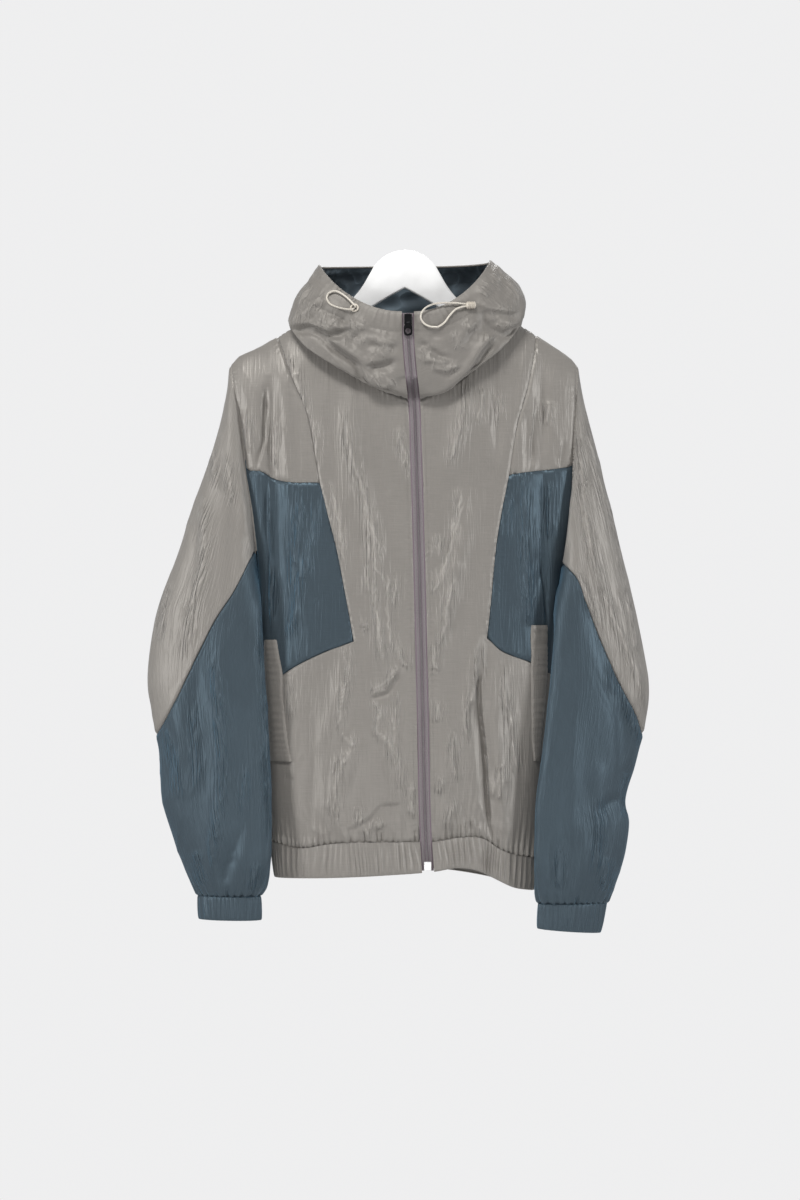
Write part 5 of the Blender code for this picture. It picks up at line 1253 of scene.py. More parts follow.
def hand_over(piece, slot, *nodes, body=BODY):
    """Hang a finished piece on its body in place of the plain nodes."""
    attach(piece, body)
    if nodes:
        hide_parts(*nodes)
    return piece


def flat_cut(points, closed=False):
    """Work out the width, height and area of a sheet of cloth from the lengths along its threads;
    nothing is done with them.
    """
    grid = np.concatenate((points, points[:, :1]), axis=1) if closed else points
    wide = np.linalg.norm(np.diff(grid, axis=1), axis=-1).sum(axis=1).max()
    tall = np.linalg.norm(np.diff(grid, axis=0), axis=-1).sum(axis=0).max()
    a, b = grid[1:, :-1] - grid[:-1, 1:], grid[1:, 1:] - grid[:-1, :-1]
    area = 0.5 * np.linalg.norm(np.cross(a, b), axis=-1).sum()
    wide = min(wide, area / (0.5 * tall))
    area = min(float(area), float(wide * tall))


TURNED_IN = 2.4                 # how far a seam allowance reaches in


def turned_in(points, normal, edges, deep=TURNED_IN, tuck=None):
    """A grid with its seam allowances turned in behind the named edges."""
    for edge in edges:
        row = {"first row": 0, "last row": -1}.get(edge)
        if row is not None:
            extra = (points[row] - normal[row] * deep * MM)[None]
            if row == 0 and tuck is not None:
                extra = (points[row] + tuck)[None]
            parts = (extra, points) if row == 0 else (points, extra)
            points = np.concatenate(parts, axis=0)
            parts = (normal[:1], normal) if row == 0 else (normal, normal[-1:])
            normal = np.concatenate(parts, axis=0)
        else:
            column = 0 if edge == "first column" else -1
            extra = (points[:, column] - normal[:, column] * deep * MM)[:, None]
            parts = (extra, points) if column == 0 else (points, extra)
            points = np.concatenate(parts, axis=1)
            parts = (normal[:, :1], normal) if column == 0 else (normal, normal[:, -1:])
            normal = np.concatenate(parts, axis=1)
    return points


def cloth(name, points, lift, towards, finish, slot, nodes, closed=False, rests_on=(),
          sheet=True, creased=None, flat_map=False, edges=(), tuck=None):
    """Lift a grid of cloth by its creases, make it a sheet and hand it over."""
    wish = towards(points) if callable(towards) else towards
    normal = facing(points, wish, closed)
    points = points + normal * lift[..., None]
    SURFACES[name] = (points, facing(points, wish, closed))
    whole = turned_in(points, normal, edges, tuck=tuck)
    if creased is not None:
        creased = turned_in(creased[..., None] + np.zeros(3), 0 * normal, edges)[..., 0]
    piece = grid_piece(name, whole, towards, finish, closed=closed, creased=creased,
                       flat_map=flat_map)
    hand_over(piece, slot, *nodes)
    if sheet:
        flat_cut(points, closed)
    return piece


ALL_EDGES = ("first row", "last row", "first column", "last column")


# ------------------------------------------------------------------ finishes
class Finish:
    """A material, with short ways to add and join its nodes."""

    def __init__(self, name, colour, roughness, metallic=0.0, sheen=0.0, specular=0.5,
                 coat=0.0):
        self.material = bpy.data.materials.new(name)
        self.material.use_nodes = True
        self.tree = self.material.node_tree
        self.shader = self.tree.nodes["Principled BSDF"]
        self.colour = (*colour[:3], 1)
        self.shader.inputs["Base Color"].default_value = self.colour
        self.shader.inputs["Roughness"].default_value = roughness
        self.shader.inputs["Metallic"].default_value = metallic
        self.shader.inputs["Sheen Weight"].default_value = sheen
        self.shader.inputs["Sheen Roughness"].default_value = 0.4
        self.shader.inputs["Specular IOR Level"].default_value = specular
        self.shader.inputs["Coat Weight"].default_value = coat
        self.bump = None

    def node(self, kind, inputs=(), **settings):
        """A node with its settings, and its inputs by name or number."""
        made = self.tree.nodes.new(kind)
        for key, value in settings.items():
            setattr(made, key, value)
        for key, value in dict(inputs).items():
            if isinstance(value, bpy.types.NodeSocket):
                self.tree.links.new(value, made.inputs[key])
            else:
                made.inputs[key].default_value = value
        return made

    def places(self, scale, source="UV"):
        """Coordinates along the threads (UV) or of the object, stretched."""
        start = self.node("ShaderNodeTexCoord").outputs[source]
        return self.node("ShaderNodeMapping", {"Vector": start, "Scale": scale}).outputs[0]

    def noise(self, scale, detail=2.0, roughness=0.5, source="UV"):
        """Noise with so many knots a metre along each axis."""
        return self.node("ShaderNodeTexNoise", {
            "Vector": self.places(scale, source), "Scale": 1.0, "Detail": detail,
            "Roughness": roughness}).outputs["Fac"]

    def split(self, source="UV"):
        """The separate coordinates along the threads (UV) or of the object."""
        start = self.node("ShaderNodeTexCoord").outputs[source]
        return self.node("ShaderNodeSeparateXYZ", {"Vector": start}).outputs

    def maths(self, operation, first, second=0.0):
        """One step of arithmetic."""
        return self.node("ShaderNodeMath", {0: first, 1: second},
                         operation=operation).outputs[0]

    def ramp(self, value, low, high, dark=0.0, light=1.0):
        """A value brought from one range to another."""
        return self.node("ShaderNodeMapRange", {
            "Value": value, "From Min": low, "From Max": high, "To Min": dark,
            "To Max": light}).outputs[0]

    def waves(self, pitch, axis, source="UV"):
        """A sine wave with so many metres from crest to crest, from 0 to 1."""
        place = self.split(source)[axis]
        wave = self.maths("SINE", self.maths("MULTIPLY", place, 2 * math.pi / pitch))
        return self.ramp(wave, -1.0, 1.0)

    def shade(self, value, low, high):
        """Multiply the colour by an uneven value brought between two shades."""
        self.multiply(self.ramp(value, 0.3, 0.7, low, high))

    def lighten(self, value, by, tint=(1, 1, 1)):
        """Lighten the colour where a value from 0 to 1 is high."""
        factor = self.node("ShaderNodeVectorMath", {
            0: [by * part for part in tint], 1: value, 2: (1, 1, 1)},
            operation="MULTIPLY_ADD").outputs[0]
        self.multiply(factor)

    def multiply(self, factor):
        """Multiply the colour by a value or vector."""
        last = self.shader.inputs["Base Color"]
        before = last.links[0].from_socket if last.is_linked else None
        if before is None:
            before = self.node("ShaderNodeRGB").outputs[0]
            before.default_value = self.colour
        self.tree.links.new(self.node("ShaderNodeVectorMath", {0: before, 1: factor},
                                      operation="MULTIPLY").outputs[0], last)

    def raise_by(self, height, distance, strength=1.0):
        """Add relief, its height given from 0 to 1 and its distance in metres."""
        inputs = {"Height": height, "Distance": distance, "Strength": strength}
        if self.bump:
            inputs["Normal"] = self.bump
        self.bump = self.node("ShaderNodeBump", inputs).outputs[0]
        self.tree.links.new(self.bump, self.shader.inputs["Normal"])

    def gloss(self, value, low, high):
        """Let the roughness run unevenly between two numbers."""
        self.tree.links.new(self.ramp(value, 0.3, 0.7, low, high),
                            self.shader.inputs["Roughness"])

    def ridged(self, scale, power=3.0):
        """Thin uneven ridges from noise."""
        middle = self.maths("ABSOLUTE", self.maths("SUBTRACT", self.noise(scale, 1.0), 0.5))
        flat = self.ramp(middle, 0.0, 0.16, 1.0, 0.0)
        return self.maths("POWER", flat, power)


THREAD = 0.0006                 # from thread to thread of the nylon, in metres
TAPE_RIB, TAPE_WARP = 0.0009, 0.0016    # the same for the zip tape, along and across
# the tape's tinted lines: place across, half width; and how they change the colour
TAPE_LINES = ((0.0064, 0.0007), (0.0016, 0.0008))
TAPE_LINE_TINT = (-0.22, -0.38, -0.26)
PLAIT = 3600.0                  # how close the cord's strands cross, in radians a metre


def nylon(name, colour, slub, tint, painted_highlight, specular=0.8, glow=(1, 1, 1),
          crumple=(210, 15, 1), relief=1.0, roughness=0.40):
    """Thin satin nylon: cross threads, slubs, fine relief streaks where it is creased, and
    painted highlights that lighten the colour along the streaks and along the crease crests.
    """
    made = Finish(name, colour, roughness, sheen=0.25, specular=specular)
    made.shader.inputs["Sheen Tint"].default_value = (*glow, 1)
    made.shader.inputs["Specular Tint"].default_value = (*tint, 1)
    made.shade(made.noise((45, 1300, 1), detail=3.0, roughness=0.6), 1 - slub, 1 + slub)
    made.shade(made.noise((9, 9, 9), 2.0, source="Object"), 0.96, 1.04)
    near = made.node("ShaderNodeAttribute", attribute_name="creased").outputs["Fac"]
    crest = made.ramp(near, 0.5, 1.0, 0.0, 1.0)
    near = made.ramp(near, 0.0, 0.5, 0.10, 1.0)
    streaks = made.maths("MULTIPLY", made.ridged(crumple, 2.5), near)
    painted_crest_highlight = made.maths("MULTIPLY", made.ramp(made.noise((160, 45, 1), 3.0), 0.25, 0.6, 0.5),
                        crest)
    # painted highlight: the colour is lightened along the relief streaks and, more strongly,
    # along the crests of raised creases
    made.lighten(streaks, painted_highlight * 0.5)
    made.lighten(painted_crest_highlight, painted_highlight * 1.6)
    made.raise_by(streaks, distance=0.0016 * relief)
    made.raise_by(made.maths("MULTIPLY", made.noise((480, 50, 1), detail=3.0), near),
                  distance=0.0009 * relief, strength=0.7)
    made.raise_by(made.noise((75, 14, 1)), distance=0.0007, strength=0.3)
    threads = made.maths("MULTIPLY", made.waves(THREAD, 0), made.waves(THREAD, 1))
    made.raise_by(threads, distance=0.00005, strength=0.5)
    return made.material


def crumpled(name, colour):
    """The hood's lining, with many small crumples, painted highlights along their ridges, and
    painted light and shade in uneven patches.
    """
    made = Finish(name, colour, 0.40, sheen=0.2)
    made.shade(made.noise((60, 1500, 1), detail=3.0), 0.92, 1.08)
    folds = made.ridged((42, 30, 1), power=2.0)
    # painted highlight: the colour is lightened along the crumples' ridges
    made.lighten(folds, 0.7)
    # painted light and shade: the colour runs lighter and darker in uneven patches, standing in
    # for lit and shaded facets
    made.shade(made.noise((36, 26, 1)), 0.72, 1.2)
    made.raise_by(folds, distance=0.0016, strength=0.6)
    made.raise_by(made.noise((140, 90, 1), detail=3.0), distance=0.0010, strength=0.3)
    return made.material


def woven_tape(name, colour):
    """Zip tape with close cross ribs."""
    made = Finish(name, colour, 0.75, sheen=0.1)
    made.shade(made.noise((700, 700, 1)), 0.9, 1.1)
    made.raise_by(made.waves(TAPE_RIB, 1), distance=0.0003, strength=0.7)
    made.raise_by(made.waves(TAPE_WARP, 0), distance=0.0002, strength=0.6)
    across = made.split()[0]
    for place, half in TAPE_LINES:
        gap = made.maths("ABSOLUTE", made.maths("SUBTRACT", across, place))
        made.lighten(made.ramp(gap, half * 0.6, half, 1.0, 0.0), 1.0, TAPE_LINE_TINT)
    return made.material


def braid(name, colour):
    """Round braided cord, with painted shade in the grooves between its strands."""
    made = Finish(name, colour, 0.7, sheen=0.15)
    round_it, down_it = (made.maths("MULTIPLY", part, PLAIT) for part in made.split()[:2])
    strands = [made.maths("SINE", made.maths(way, round_it, down_it))
               for way in ("ADD", "SUBTRACT")]
    plait = made.maths("MAXIMUM", *strands)
    plait = made.ramp(plait, -1.0, 1.0)
    # painted shade: the colour darkens in the grooves between the strands
    made.shade(plait, 0.86, 1.04)
    made.raise_by(plait, distance=0.0004, strength=0.9)
    return made.material


def hard(name, colour, roughness, metallic=0.0, wear=0.05, coat=0.0, grain=600):
    """Metal or moulded plastic with faint unevenness."""
    made = Finish(name, colour, roughness, metallic, coat=coat)
    made.shade(made.noise((grain / 8,) * 3, 3.0, source="Object"), 1 - wear, 1 + wear)
    made.gloss(made.noise((grain / 4,) * 3, 2.0, source="Object"),
               roughness * 0.85, roughness * 1.15)
    made.raise_by(made.noise((grain,) * 3, source="Object"), distance=0.00008,
                  strength=0.3)
    return made.material


FINISHES = {}
WARM_SHINE = (1.0, 0.96, 0.90)  # tint of the grey nylon's shine
COOL_SHINE, COOL_GLOW = (0.57, 0.82, 1.0), (0.33, 0.68, 1.0)    # the same for the blue


def finishes():
    """All finishes, made once, from the colours in the panel."""
    if FINISHES:
        return FINISHES
    colours = bpy.context.scene.windbreaker_colours
    FINISHES.update({
        # the fifth number of each nylon is the strength of its painted crease highlights
        "grey": nylon("grey nylon", colours.shell, 0.08, WARM_SHINE, 0.40),
        # painted shade: the hood's nylon is the shell colour darkened to 0.88, standing in for
        # the shade of its many folds
        "shaded hood grey": nylon("hood nylon", [c * 0.88 for c in colours.shell], 0.08,
                           WARM_SHINE, 0.24, specular=0.6, crumple=(85, 40, 1),
                           relief=0.6, roughness=0.48),
        "blue": nylon("slate nylon", colours.slate, 0.10, COOL_SHINE, 0.30,
                      specular=0.55, glow=COOL_GLOW),
        # painted light: the lining is the slate nylon's colour made 2.1 times lighter, standing
        # in for light inside the shaded hood
        "lining": crumpled("slate lining", [c * 2.1 for c in colours.slate]),
        "tape": woven_tape("zip tape", colours.tape),
        "coil": hard("zip coil", [c * 0.75 for c in colours.tape], 0.45),
        "dark": hard("dark metal", (0.022, 0.022, 0.024), 0.32, 0.85, 0.2),
        "bright": hard("bright box", (0.72, 0.72, 0.72), 0.3, 0.5),
        "cord": braid("cord", colours.cord),
        "trim": hard("trim", colours.trim, 0.42, 0.25, 0.08),
        "white": hard("hanger white", colours.hanger, 0.38, coat=0.25, grain=300),
        "peg": hard("peg metal", (0.62, 0.61, 0.60), 0.28, 1.0, 0.08),
        "thread": Finish("sewing thread", [c * 1.05 for c in colours.shell], 0.6).material,
        "blue thread": Finish("blue thread", [c * 1.1 for c in colours.slate], 0.6).material,
        "floor": hard("floor", (0.75, 0.75, 0.75), 0.8, wear=0.02, grain=20)})
    return FINISHES


# ------------------------------------------------------------------ the jacket's pieces
FRONTWARDS = (0, -1, 0)
BACKWARDS = (0, 1, 0)


# crinkles and crumples: height, width and length
BODY_COARSE, BODY_FINE = (1.0 * MM, 0.024, 0.120), (0.3 * MM, 0.010, 0.050)
SLEEVE_COARSE, SLEEVE_FINE = (1.6 * MM, 0.022, 0.120), (0.6 * MM, 0.009, 0.050)
HOOD_COARSE, HOOD_FINE = (1.5 * MM, 0.024, 0.044), (0.8 * MM, 0.012, 0.024)
LINING_COARSE, LINING_FINE = (5.5 * MM, 0.030, 0.028), (1.6 * MM, 0.013, 0.015)
HEM_CRUMPLE = (3.4 * MM, 0.014, 0.026)
HEM_CRUMPLE_REACH = 36 * MM     # how far up from the hem band they reach
HEM_CRUMPLE_SLANT = 0.5


def body_creases(points, creases, seed, share=1.0):
    """Listed creases and fine crinkles of one body panel."""
    x, z = points[..., 0], points[..., 2]
    made = crease_height(x, z, creases) + crinkled(x, z, BODY_COARSE, seed)
    if creases:
        made = made + overlap_height(x, z, OVERLAPS)
    return share * (made + crinkled(x, z, BODY_FINE, seed + 1))


def side_name(left):
    """The word for one side."""
    return "left" if left else "right"


STITCH_LINE = 5.0               # from the panel's edge beside the zip
STITCH_SINK = 0.35 * MM         # how deep a row of stitches lies in the cloth
ZIP_EDGE_ROUND = 0.9 * MM       # how far the edge beside the zip rolls down
ROLL_REACH = 1.6 * MM


def make_front(left):
    """A front panel: folds, gathers over the hem, puckers beside the zip."""
    name = side_name(left)
    places = front_places(left)
    points = body_point(places[..., 0], places[..., 1], "front")
    x, z = points[..., 0], points[..., 2]
    lift = body_creases(points, FRONT_CREASES, 11 if left else 31)
    hem, hem_run = to_edge(points, "first row")
    zip_away, zip_run = to_edge(points, "last column")
    outer, outer_run = to_edge(points, "first column")
    neck, neck_run = to_edge(points, "last row")
    lift += gathers(hem, hem_run, 1.3 * MM, 3 if left else 4, pitch=7.5)
    crumples = crinkled(x + HEM_CRUMPLE_SLANT * z, z, HEM_CRUMPLE, 15 + left)
    lift += rounded(hem, crumples, HEM_CRUMPLE_REACH)
    lift += gathers(neck, neck_run, 0.5 * MM, 7, pitch=8, reach=14)
    lift += puckers(np.abs(zip_away - STITCH_LINE * MM), zip_run, 0.55 * MM, 5 + left)
    lift += puckers(outer, outer_run, 0.5 * MM, 8 + left, pitch=8, reach=9)
    for away in (hem, outer, neck):
        lift += seam_groove(away)
    lift -= rounded(zip_away, ZIP_EDGE_ROUND, ROLL_REACH)
    lift -= rounded(zip_away - STITCH_LINE * MM, STITCH_SINK, ROLL_REACH)
    reach = crease_reach(x, z, FRONT_CREASES)
    cloth(f"cloth_front_{name}", points, lift, FRONTWARDS, finishes()["grey"], "grey_shell",
          (f"front_{name}",), rests_on=("hanger",), creased=reach, flat_map=True,
          edges=ALL_EDGES)


def make_side(name, node, places, seed, share, pucker_seed, heights, finish, slot, **more):
    """A panel beside a front, puckered by so many millimetres along its edges."""
    points = body_point(places[..., 0], places[..., 1], "front")
    lift = body_creases(points, SIDE_CREASES, seed, share)
    for edge, height in heights:
        away, run = to_edge(points, edge)
        lift += puckers(away, run, height * MM, pucker_seed, pitch=8, reach=9)
        lift += seam_groove(away)
    reach = crease_reach(points[..., 0], points[..., 2], SIDE_CREASES)
    cloth(name, points, lift, FRONTWARDS, finishes()[finish], slot, (node,), creased=reach,
          flat_map=True, edges=ALL_EDGES, **more)


def make_yoke(left):
    """The grey panel between the shoulder and the blue panel."""
    name = side_name(left)
    heights = (("first row", 0.4), ("first column", 0.5), ("last column", 0.5), ("last row", 0))
    make_side(f"cloth_yoke_{name}", f"yoke_{name}", yoke_places(left), 12 if left else 32,
              1.35, 14 + left, heights, "grey", "grey_shell", rests_on=("hanger",))


def make_blue(left):
    """The blue chest panel."""
    name = side_name(left)
    heights = (("first row", 0.5), ("last row", 0.4), ("first column", 0.4),
               ("last column", 0.5))
    make_side(f"cloth_side_{name}", f"side_panel_{name}", blue_places(left),
              13 if left else 33, 0.9, 17 + left, heights, "blue", "slate_shell")


def make_back():
    """The back, plain, with long soft folds and gathers over the hem."""
    places = back_places()[::2]
    points = body_point(places[..., 0], places[..., 1], "back")
    lift = body_creases(points, (), 51, 0.8)
    lift += crease_height(-points[..., 0], points[..., 2], FRONT_CREASES)
    hem, run = to_edge(points, "first row")
    lift += gathers(hem, run, 1.6 * MM, 6, pitch=13, reach=34) + seam_groove(hem)
    lift += seam_groove(to_edge(points, "last row")[0])
    reach = patches(points[..., 0], points[..., 2], 0.4, 0.04, 0.15, 52)
    cloth("cloth_back", points, lift, BACKWARDS, finishes()["grey"], "grey_shell", ("back",),
          rests_on=("hanger",), creased=reach, flat_map=True, edges=ALL_EDGES)


AHEAD_GAIN, AHEAD_LOSS = 1.6, 0.2       # a sleeve's front, from how far it faces forward
SLEEVE_CALM = 14 * MM           # how far from a seam the creases reach their full height
BACK_SWING = 0.37               # so that the back's crinkles aren't those of the front
BEHIND = 0.2                    # the cloth lies behind where it faces back this much
UNDER_AWAY, UNDER_IN = 3.0, 2.0         # where the sleeve's edge is tucked under the body


def sleeve_lift(points, normal, left, seed):
    """Creases on a sleeve's front, and crinkles all round."""
    x, z = points[..., 0], points[..., 2]
    ahead = np.clip(-normal[..., 1] * AHEAD_GAIN - AHEAD_LOSS, 0, 1)
    creases = SLEEVE_CREASES_LEFT if left else SLEEVE_CREASES_RIGHT
    lift = crease_height(x, z, creases) * ahead
    swing = np.where(normal[..., 1] > 0, BACK_SWING, 0.0)
    lift += crinkled(x + swing, z, SLEEVE_COARSE, seed)
    return lift + crinkled(x + swing, z, SLEEVE_FINE, seed + 1)


def from_middle(points):
    """Directions from the middle of a piece."""
    return points - points.reshape(-1, 3).mean(axis=0)


def sleeve_reach(points, normal, creases):
    """Where a sleeve is creased, in front and behind."""
    x, z = points[..., 0], points[..., 2]
    behind = patches(x, z, 0.3, 0.03, 0.12, 53)
    return np.where(normal[..., 1] > BEHIND, behind, crease_reach(x, z, creases))


def sleeve_puckers(away, run, seed):
    """Puckers along a sleeve's seam."""
    return puckers(away, run, 0.6 * MM, seed, pitch=9, reach=10)


def make_sleeve(left):
    """The grey upper and the blue lower of one sleeve; returns the last ring."""
    name = side_name(left)
    rings = sleeve_sections(left)
    meet = colour_seam_places(left, rings)
    lengths = column_lengths(rings)
    at = np.minimum(meet.astype(int), len(lengths) - 1)
    gap = COLOUR_SEAM_GAP / lengths[at, np.arange(rings.shape[1])]
    shares = np.linspace(0, 1, UPPER_ROWS + 1)[:, None]
    outer, normal = sleeve_points(left, shares * np.maximum(meet - gap, 0)[None], rings)
    keep = slice(SLEEVE_TIP_COLUMNS, rings.shape[1] - SLEEVE_TIP_COLUMNS + 1)
    under = (-away_from_body(left, rings[0]) * UNDER_AWAY * MM
             - armhole_normals(left) * UNDER_IN * MM)
    outer, normal = outer[:, keep], normal[:, keep]
    lift = sleeve_lift(outer, normal, left, 61 if left else 71)
    grown = np.clip(shares * 6, 0, 1)
    for edge, seed in (("first row", 62), ("last row", 63)):
        away, run = to_edge(outer, edge)
        lift = (lift * calmed(away, SLEEVE_CALM, 0.25)
                + sleeve_puckers(away, run, seed) * grown + seam_groove(away))
    creases = SLEEVE_CREASES_LEFT if left else SLEEVE_CREASES_RIGHT
    reach = sleeve_reach(outer, normal, creases)
    cloth(f"cloth_sleeve_upper_{name}", outer, lift, from_middle, finishes()["grey"],
          "grey_shell", (f"sleeve_upper_{name}",), creased=reach, edges=ALL_EDGES,
          tuck=under[keep])
    start = np.where(meet > 0, meet + gap, 0)
    shares = np.linspace(0, 1, LOWER_ROWS + 1)[:, None]
    outer, normal = sleeve_points(
        left, start[None] + shares * (len(rings) - 1 - start)[None], rings)
    end = outer[-1].copy()
    lift = sleeve_lift(outer, normal, left, 64 if left else 74)
    away, run = to_edge(outer, "first row")
    lift = (lift * calmed(away, SLEEVE_CALM, 0.25)
            + (sleeve_puckers(away, run, 65) + seam_groove(away)))
    away, run = to_edge(outer, "last row")
    lift += gathers(away, run, 1.5 * MM, 66, pitch=8.5, reach=26) + seam_groove(away)
    cloth(f"cloth_sleeve_lower_{name}", outer, lift, from_middle, finishes()["blue"],
          "slate_shell", (f"sleeve_lower_{name}",), closed=True,
          creased=sleeve_reach(outer, normal, creases), edges=("first row", "last row"),
          tuck=np.where((meet > 0)[:, None], -normal[0] * TURNED_IN * MM, under))
    return end


BINDING_TOP = -235              # the strip covers the seam below this height
BINDING_HALF = 6.0
BINDING_SINK, BINDING_SLANT = 1.7, 0.5      # how deep it lies, and how much one edge deeper


def make_binding(left):
    """The narrow strip that covers the armhole seam from inside."""
    ring = sleeve_sections(left)[0]
    across, inward = away_from_body(left, ring), -armhole_normals(left)
    points = np.array([ring + across * share * BINDING_HALF * MM
                       + inward * (BINDING_SINK + BINDING_SLANT * share) * MM
                       for share in np.linspace(-1, 1, 7)])
    points = np.roll(points, points.shape[1] // 2, axis=1)
    points = points[:, points[3, :, 2] < BINDING_TOP * MM]
    cloth(f"binding_{side_name(left)}", points, np.zeros(points.shape[:2]), from_middle,
          finishes()["blue"], "slate_shell", ())


def finer(line, times, closed=False):
    """A line of points with so many times the points, through the same places."""
    count = len(line)
    last = count if closed else count - 1
    at = np.arange(last * times + (0 if closed else 1)) / times
    low = at.astype(int) % count
    high = (low + 1) % count if closed else np.minimum(low + 1, count - 1)
    t = (at - at.astype(int))[:, None]
    return line[low] * (1 - t) + line[high] * t


BAND_ROWS = 16
BAND_GAP = 0.2 * MM             # between a band and the cloth above it
# how far a band's upper rows lie in behind the cloth, and how high the first one stands
BAND_BEHIND, BAND_UNDER, BAND_UP = 2.8 * MM, 2.6 * MM, 4 * MM
BAND_SWELL = 0.7 * MM
EDGE_PLEAT = 0.45               # share of a pleat's height that is left at the edges
CUFF_PITCH, CUFF_HEIGHT = 6.4, 1.0 * MM         # of the pleats
HEM_PITCH, HEM_HEIGHT = 6.6, 1.25 * MM
CUFF_DEPTH = 0.96               # depth of a cuff's lower edge, to that of its upper one


def band(top, bottom, out, pitch, height, seed):
    """A gathered elastic band: uneven pleats, a soft swell and a rolled lower edge."""
    run = run_along(top)
    rows = [top - out * BAND_BEHIND + (0, 0, BAND_UP), top - out * BAND_UNDER]
    for share in np.linspace(0, 1, BAND_ROWS + 1):
        sway = 0.35 * waver(run / 0.02, 0 * run + share * 1.2, seed + 1)
        phase = run / (pitch * MM) + 1.1 * waver(run / 0.030, 0 * run, seed) + sway
        deep = 0.7 + 0.5 * waver(run / 0.011, 0 * run + share * 0.8, seed + 2)
        pleat = (0.5 - np.abs(np.sin(math.pi * phase))) * deep * height * 2
        swell = math.sin(math.pi * share) ** 0.5
        lift = pleat * (EDGE_PLEAT + 0.55 * swell) + BAND_SWELL * swell
        rows.append(top * (1 - share) + bottom * share + out * lift[:, None])
    for turn in np.linspace(0.3, 1, 4) * math.pi:
        lift = pleat * EDGE_PLEAT - MM * (1 - math.cos(turn))
        rows.append(bottom + out * lift[:, None] - (0, 0, MM * math.sin(turn)))
    return np.array(rows)[::-1]


def make_cuff(left, end_ring):
    """The gathered blue cuff."""
    inner_x, inner_z, outer_x, outer_z = np.array(CUFF_LEFT if left else CUFF_RIGHT) * MM
    ring = finer(end_ring, 3, closed=True)
    ring = np.concatenate((ring, ring[:1]))
    centre = end_ring.mean(axis=0)
    across = ring[:, 0] - ring[:, 0].min()
    share = across / across.max()
    low_x, high_x = min(inner_x, outer_x), max(inner_x, outer_x)
    low_z, high_z = (outer_z, inner_z) if left else (inner_z, outer_z)
    bottom = np.stack((low_x + (high_x - low_x) * share,
                       centre[1] + (ring[:, 1] - centre[1]) * CUFF_DEPTH,
                       low_z + (high_z - low_z) * share), axis=-1)
    out = unit((ring - centre) * (1, 2.0, 0))
    points = band(ring - (0, 0, BAND_GAP), bottom, out, CUFF_PITCH, CUFF_HEIGHT,
                  41 + left)[:, :-1]
    name = f"cuff_{side_name(left)}"
    cloth(f"cloth_{name}", points, np.zeros(points.shape[:2]), from_middle,
          finishes()["blue"], "slate_shell", (name,), closed=True)


def make_hem(name, places, face, lean, seed):
    """A gathered grey hem band below one panel."""
    places = finer(places, 3)
    x, z = places[:, 0], places[:, 1]
    top = body_point(x, z, face) - (0, 0, BAND_GAP)
    ends = (x[0], x[-1]) if x[0] < x[-1] else (x[-1], x[0])
    drift = np.interp(x, ends, lean if x[0] < x[-1] else lean[::-1]) * MM
    bottom = body_point(x, z, face)
    bottom[:, 0] += drift
    bottom[:, 2] = hem_edge[face](x)
    out = unit(body_normal(x, z, face) * (1, 1, 0))
    points = band(top, bottom, out, HEM_PITCH, HEM_HEIGHT, seed)
    middle = body_middle(z).mean()
    sign = -1 if face == "front" else 1
    points[..., 1] = sign * np.maximum(sign * points[..., 1], sign * middle + BAND_GAP)
    cloth(f"cloth_{name}", points, np.zeros(points.shape[:2]),
          FRONTWARDS if face == "front" else BACKWARDS, finishes()["grey"], "grey_shell",
          (name,))


LINED = 0.53                    # share of the hood's rings that the lining reaches
BRIM = 25.0                     # depth of the stitched channel round the hood's opening
RIM_ROUND = 1.3                 # the brim's cloth rolls over to the lining
RIM_ROWS = 6
RIM_FROM, RIM_TO = math.pi * 1.15, 0.3      # its turn, from inside to outside
# share of the hood's rows, and share of its sections that they have reached there
HOOD_SPREAD = ((0, 0.14, 0.72, 1), (0, 0.27, 0.58, 1))
HOOD_ROUND = 0.7                # rough length of cloth round the hood, in metres
LINING_END = 0.5                # share of the hood's sections that the lining covers
LINING_SINK = 2.4 * MM          # how far its crumples lie behind the shell
LINING_ROOM = 0.4 * MM          # how far the shell may be pressed in over the lining
CHANNEL_MIDDLE = 14 * MM        # of the cord's channel, from the brim
BESIDE_ZIP, BESIDE_ZIP_REACH = 0.040, 0.024     # where the channel is gathered most
BRIM_LINE, BRIM_LINE_REACH = 0.6 * MM, 2.4 * MM     # the dip of the channel's seam
LINING_LINE, LINING_LINE_REACH = 0.5 * MM, 1.8 * MM
HOOD_HEART = (0.006, -0.09, -0.1)       # the hood's cloth faces away from this place


def softened(lift, passes=2):
    """Heights over a grid, each averaged with the ones beside it."""
    for _ in range(passes):
        for axis in (0, 1):
            wide = np.pad(lift, [(1, 1) if n == axis else (0, 0) for n in (0, 1)], mode="edge")
            count = lift.shape[axis]
            low, high = (np.take(wide, range(n, n + count), axis=axis) for n in (0, 2))
            lift = (low + 2 * lift + high) / 4
    return lift


PROUD_MOST = 4.0 * MM           # the hood's folds stand out by less than this
PRESSED_MOST = 5 * MM           # and are pressed in by no more than this
FOLD_GAIN, OVERLAP_GAIN, HOOD_DIP = 1.4, 2.0, 5.0   # to the tables' heights; dip's width
HOOD_FRONT = -60 * MM           # the folds lie in front of this plane


def hood_folds(points, normal):
    """How far the hood's large folds stand out and are pressed in, and where they are."""
    x, z = points[..., 0], points[..., 2]
    ahead = np.clip(0.1 - normal[..., 1] * 2.5, 0, 1) * (points[..., 1] < HOOD_FRONT)
    made = (FOLD_GAIN * crease_height(x, z, CHIN_FOLDS)
            + OVERLAP_GAIN * overlap_height(x, z, HOOD_OVERLAPS, HOOD_DIP))
    made = softened(made * ahead)
    proud = PROUD_MOST * np.tanh(np.maximum(made, 0) / PROUD_MOST)
    return proud, np.clip(made, -PRESSED_MOST, 0), ahead


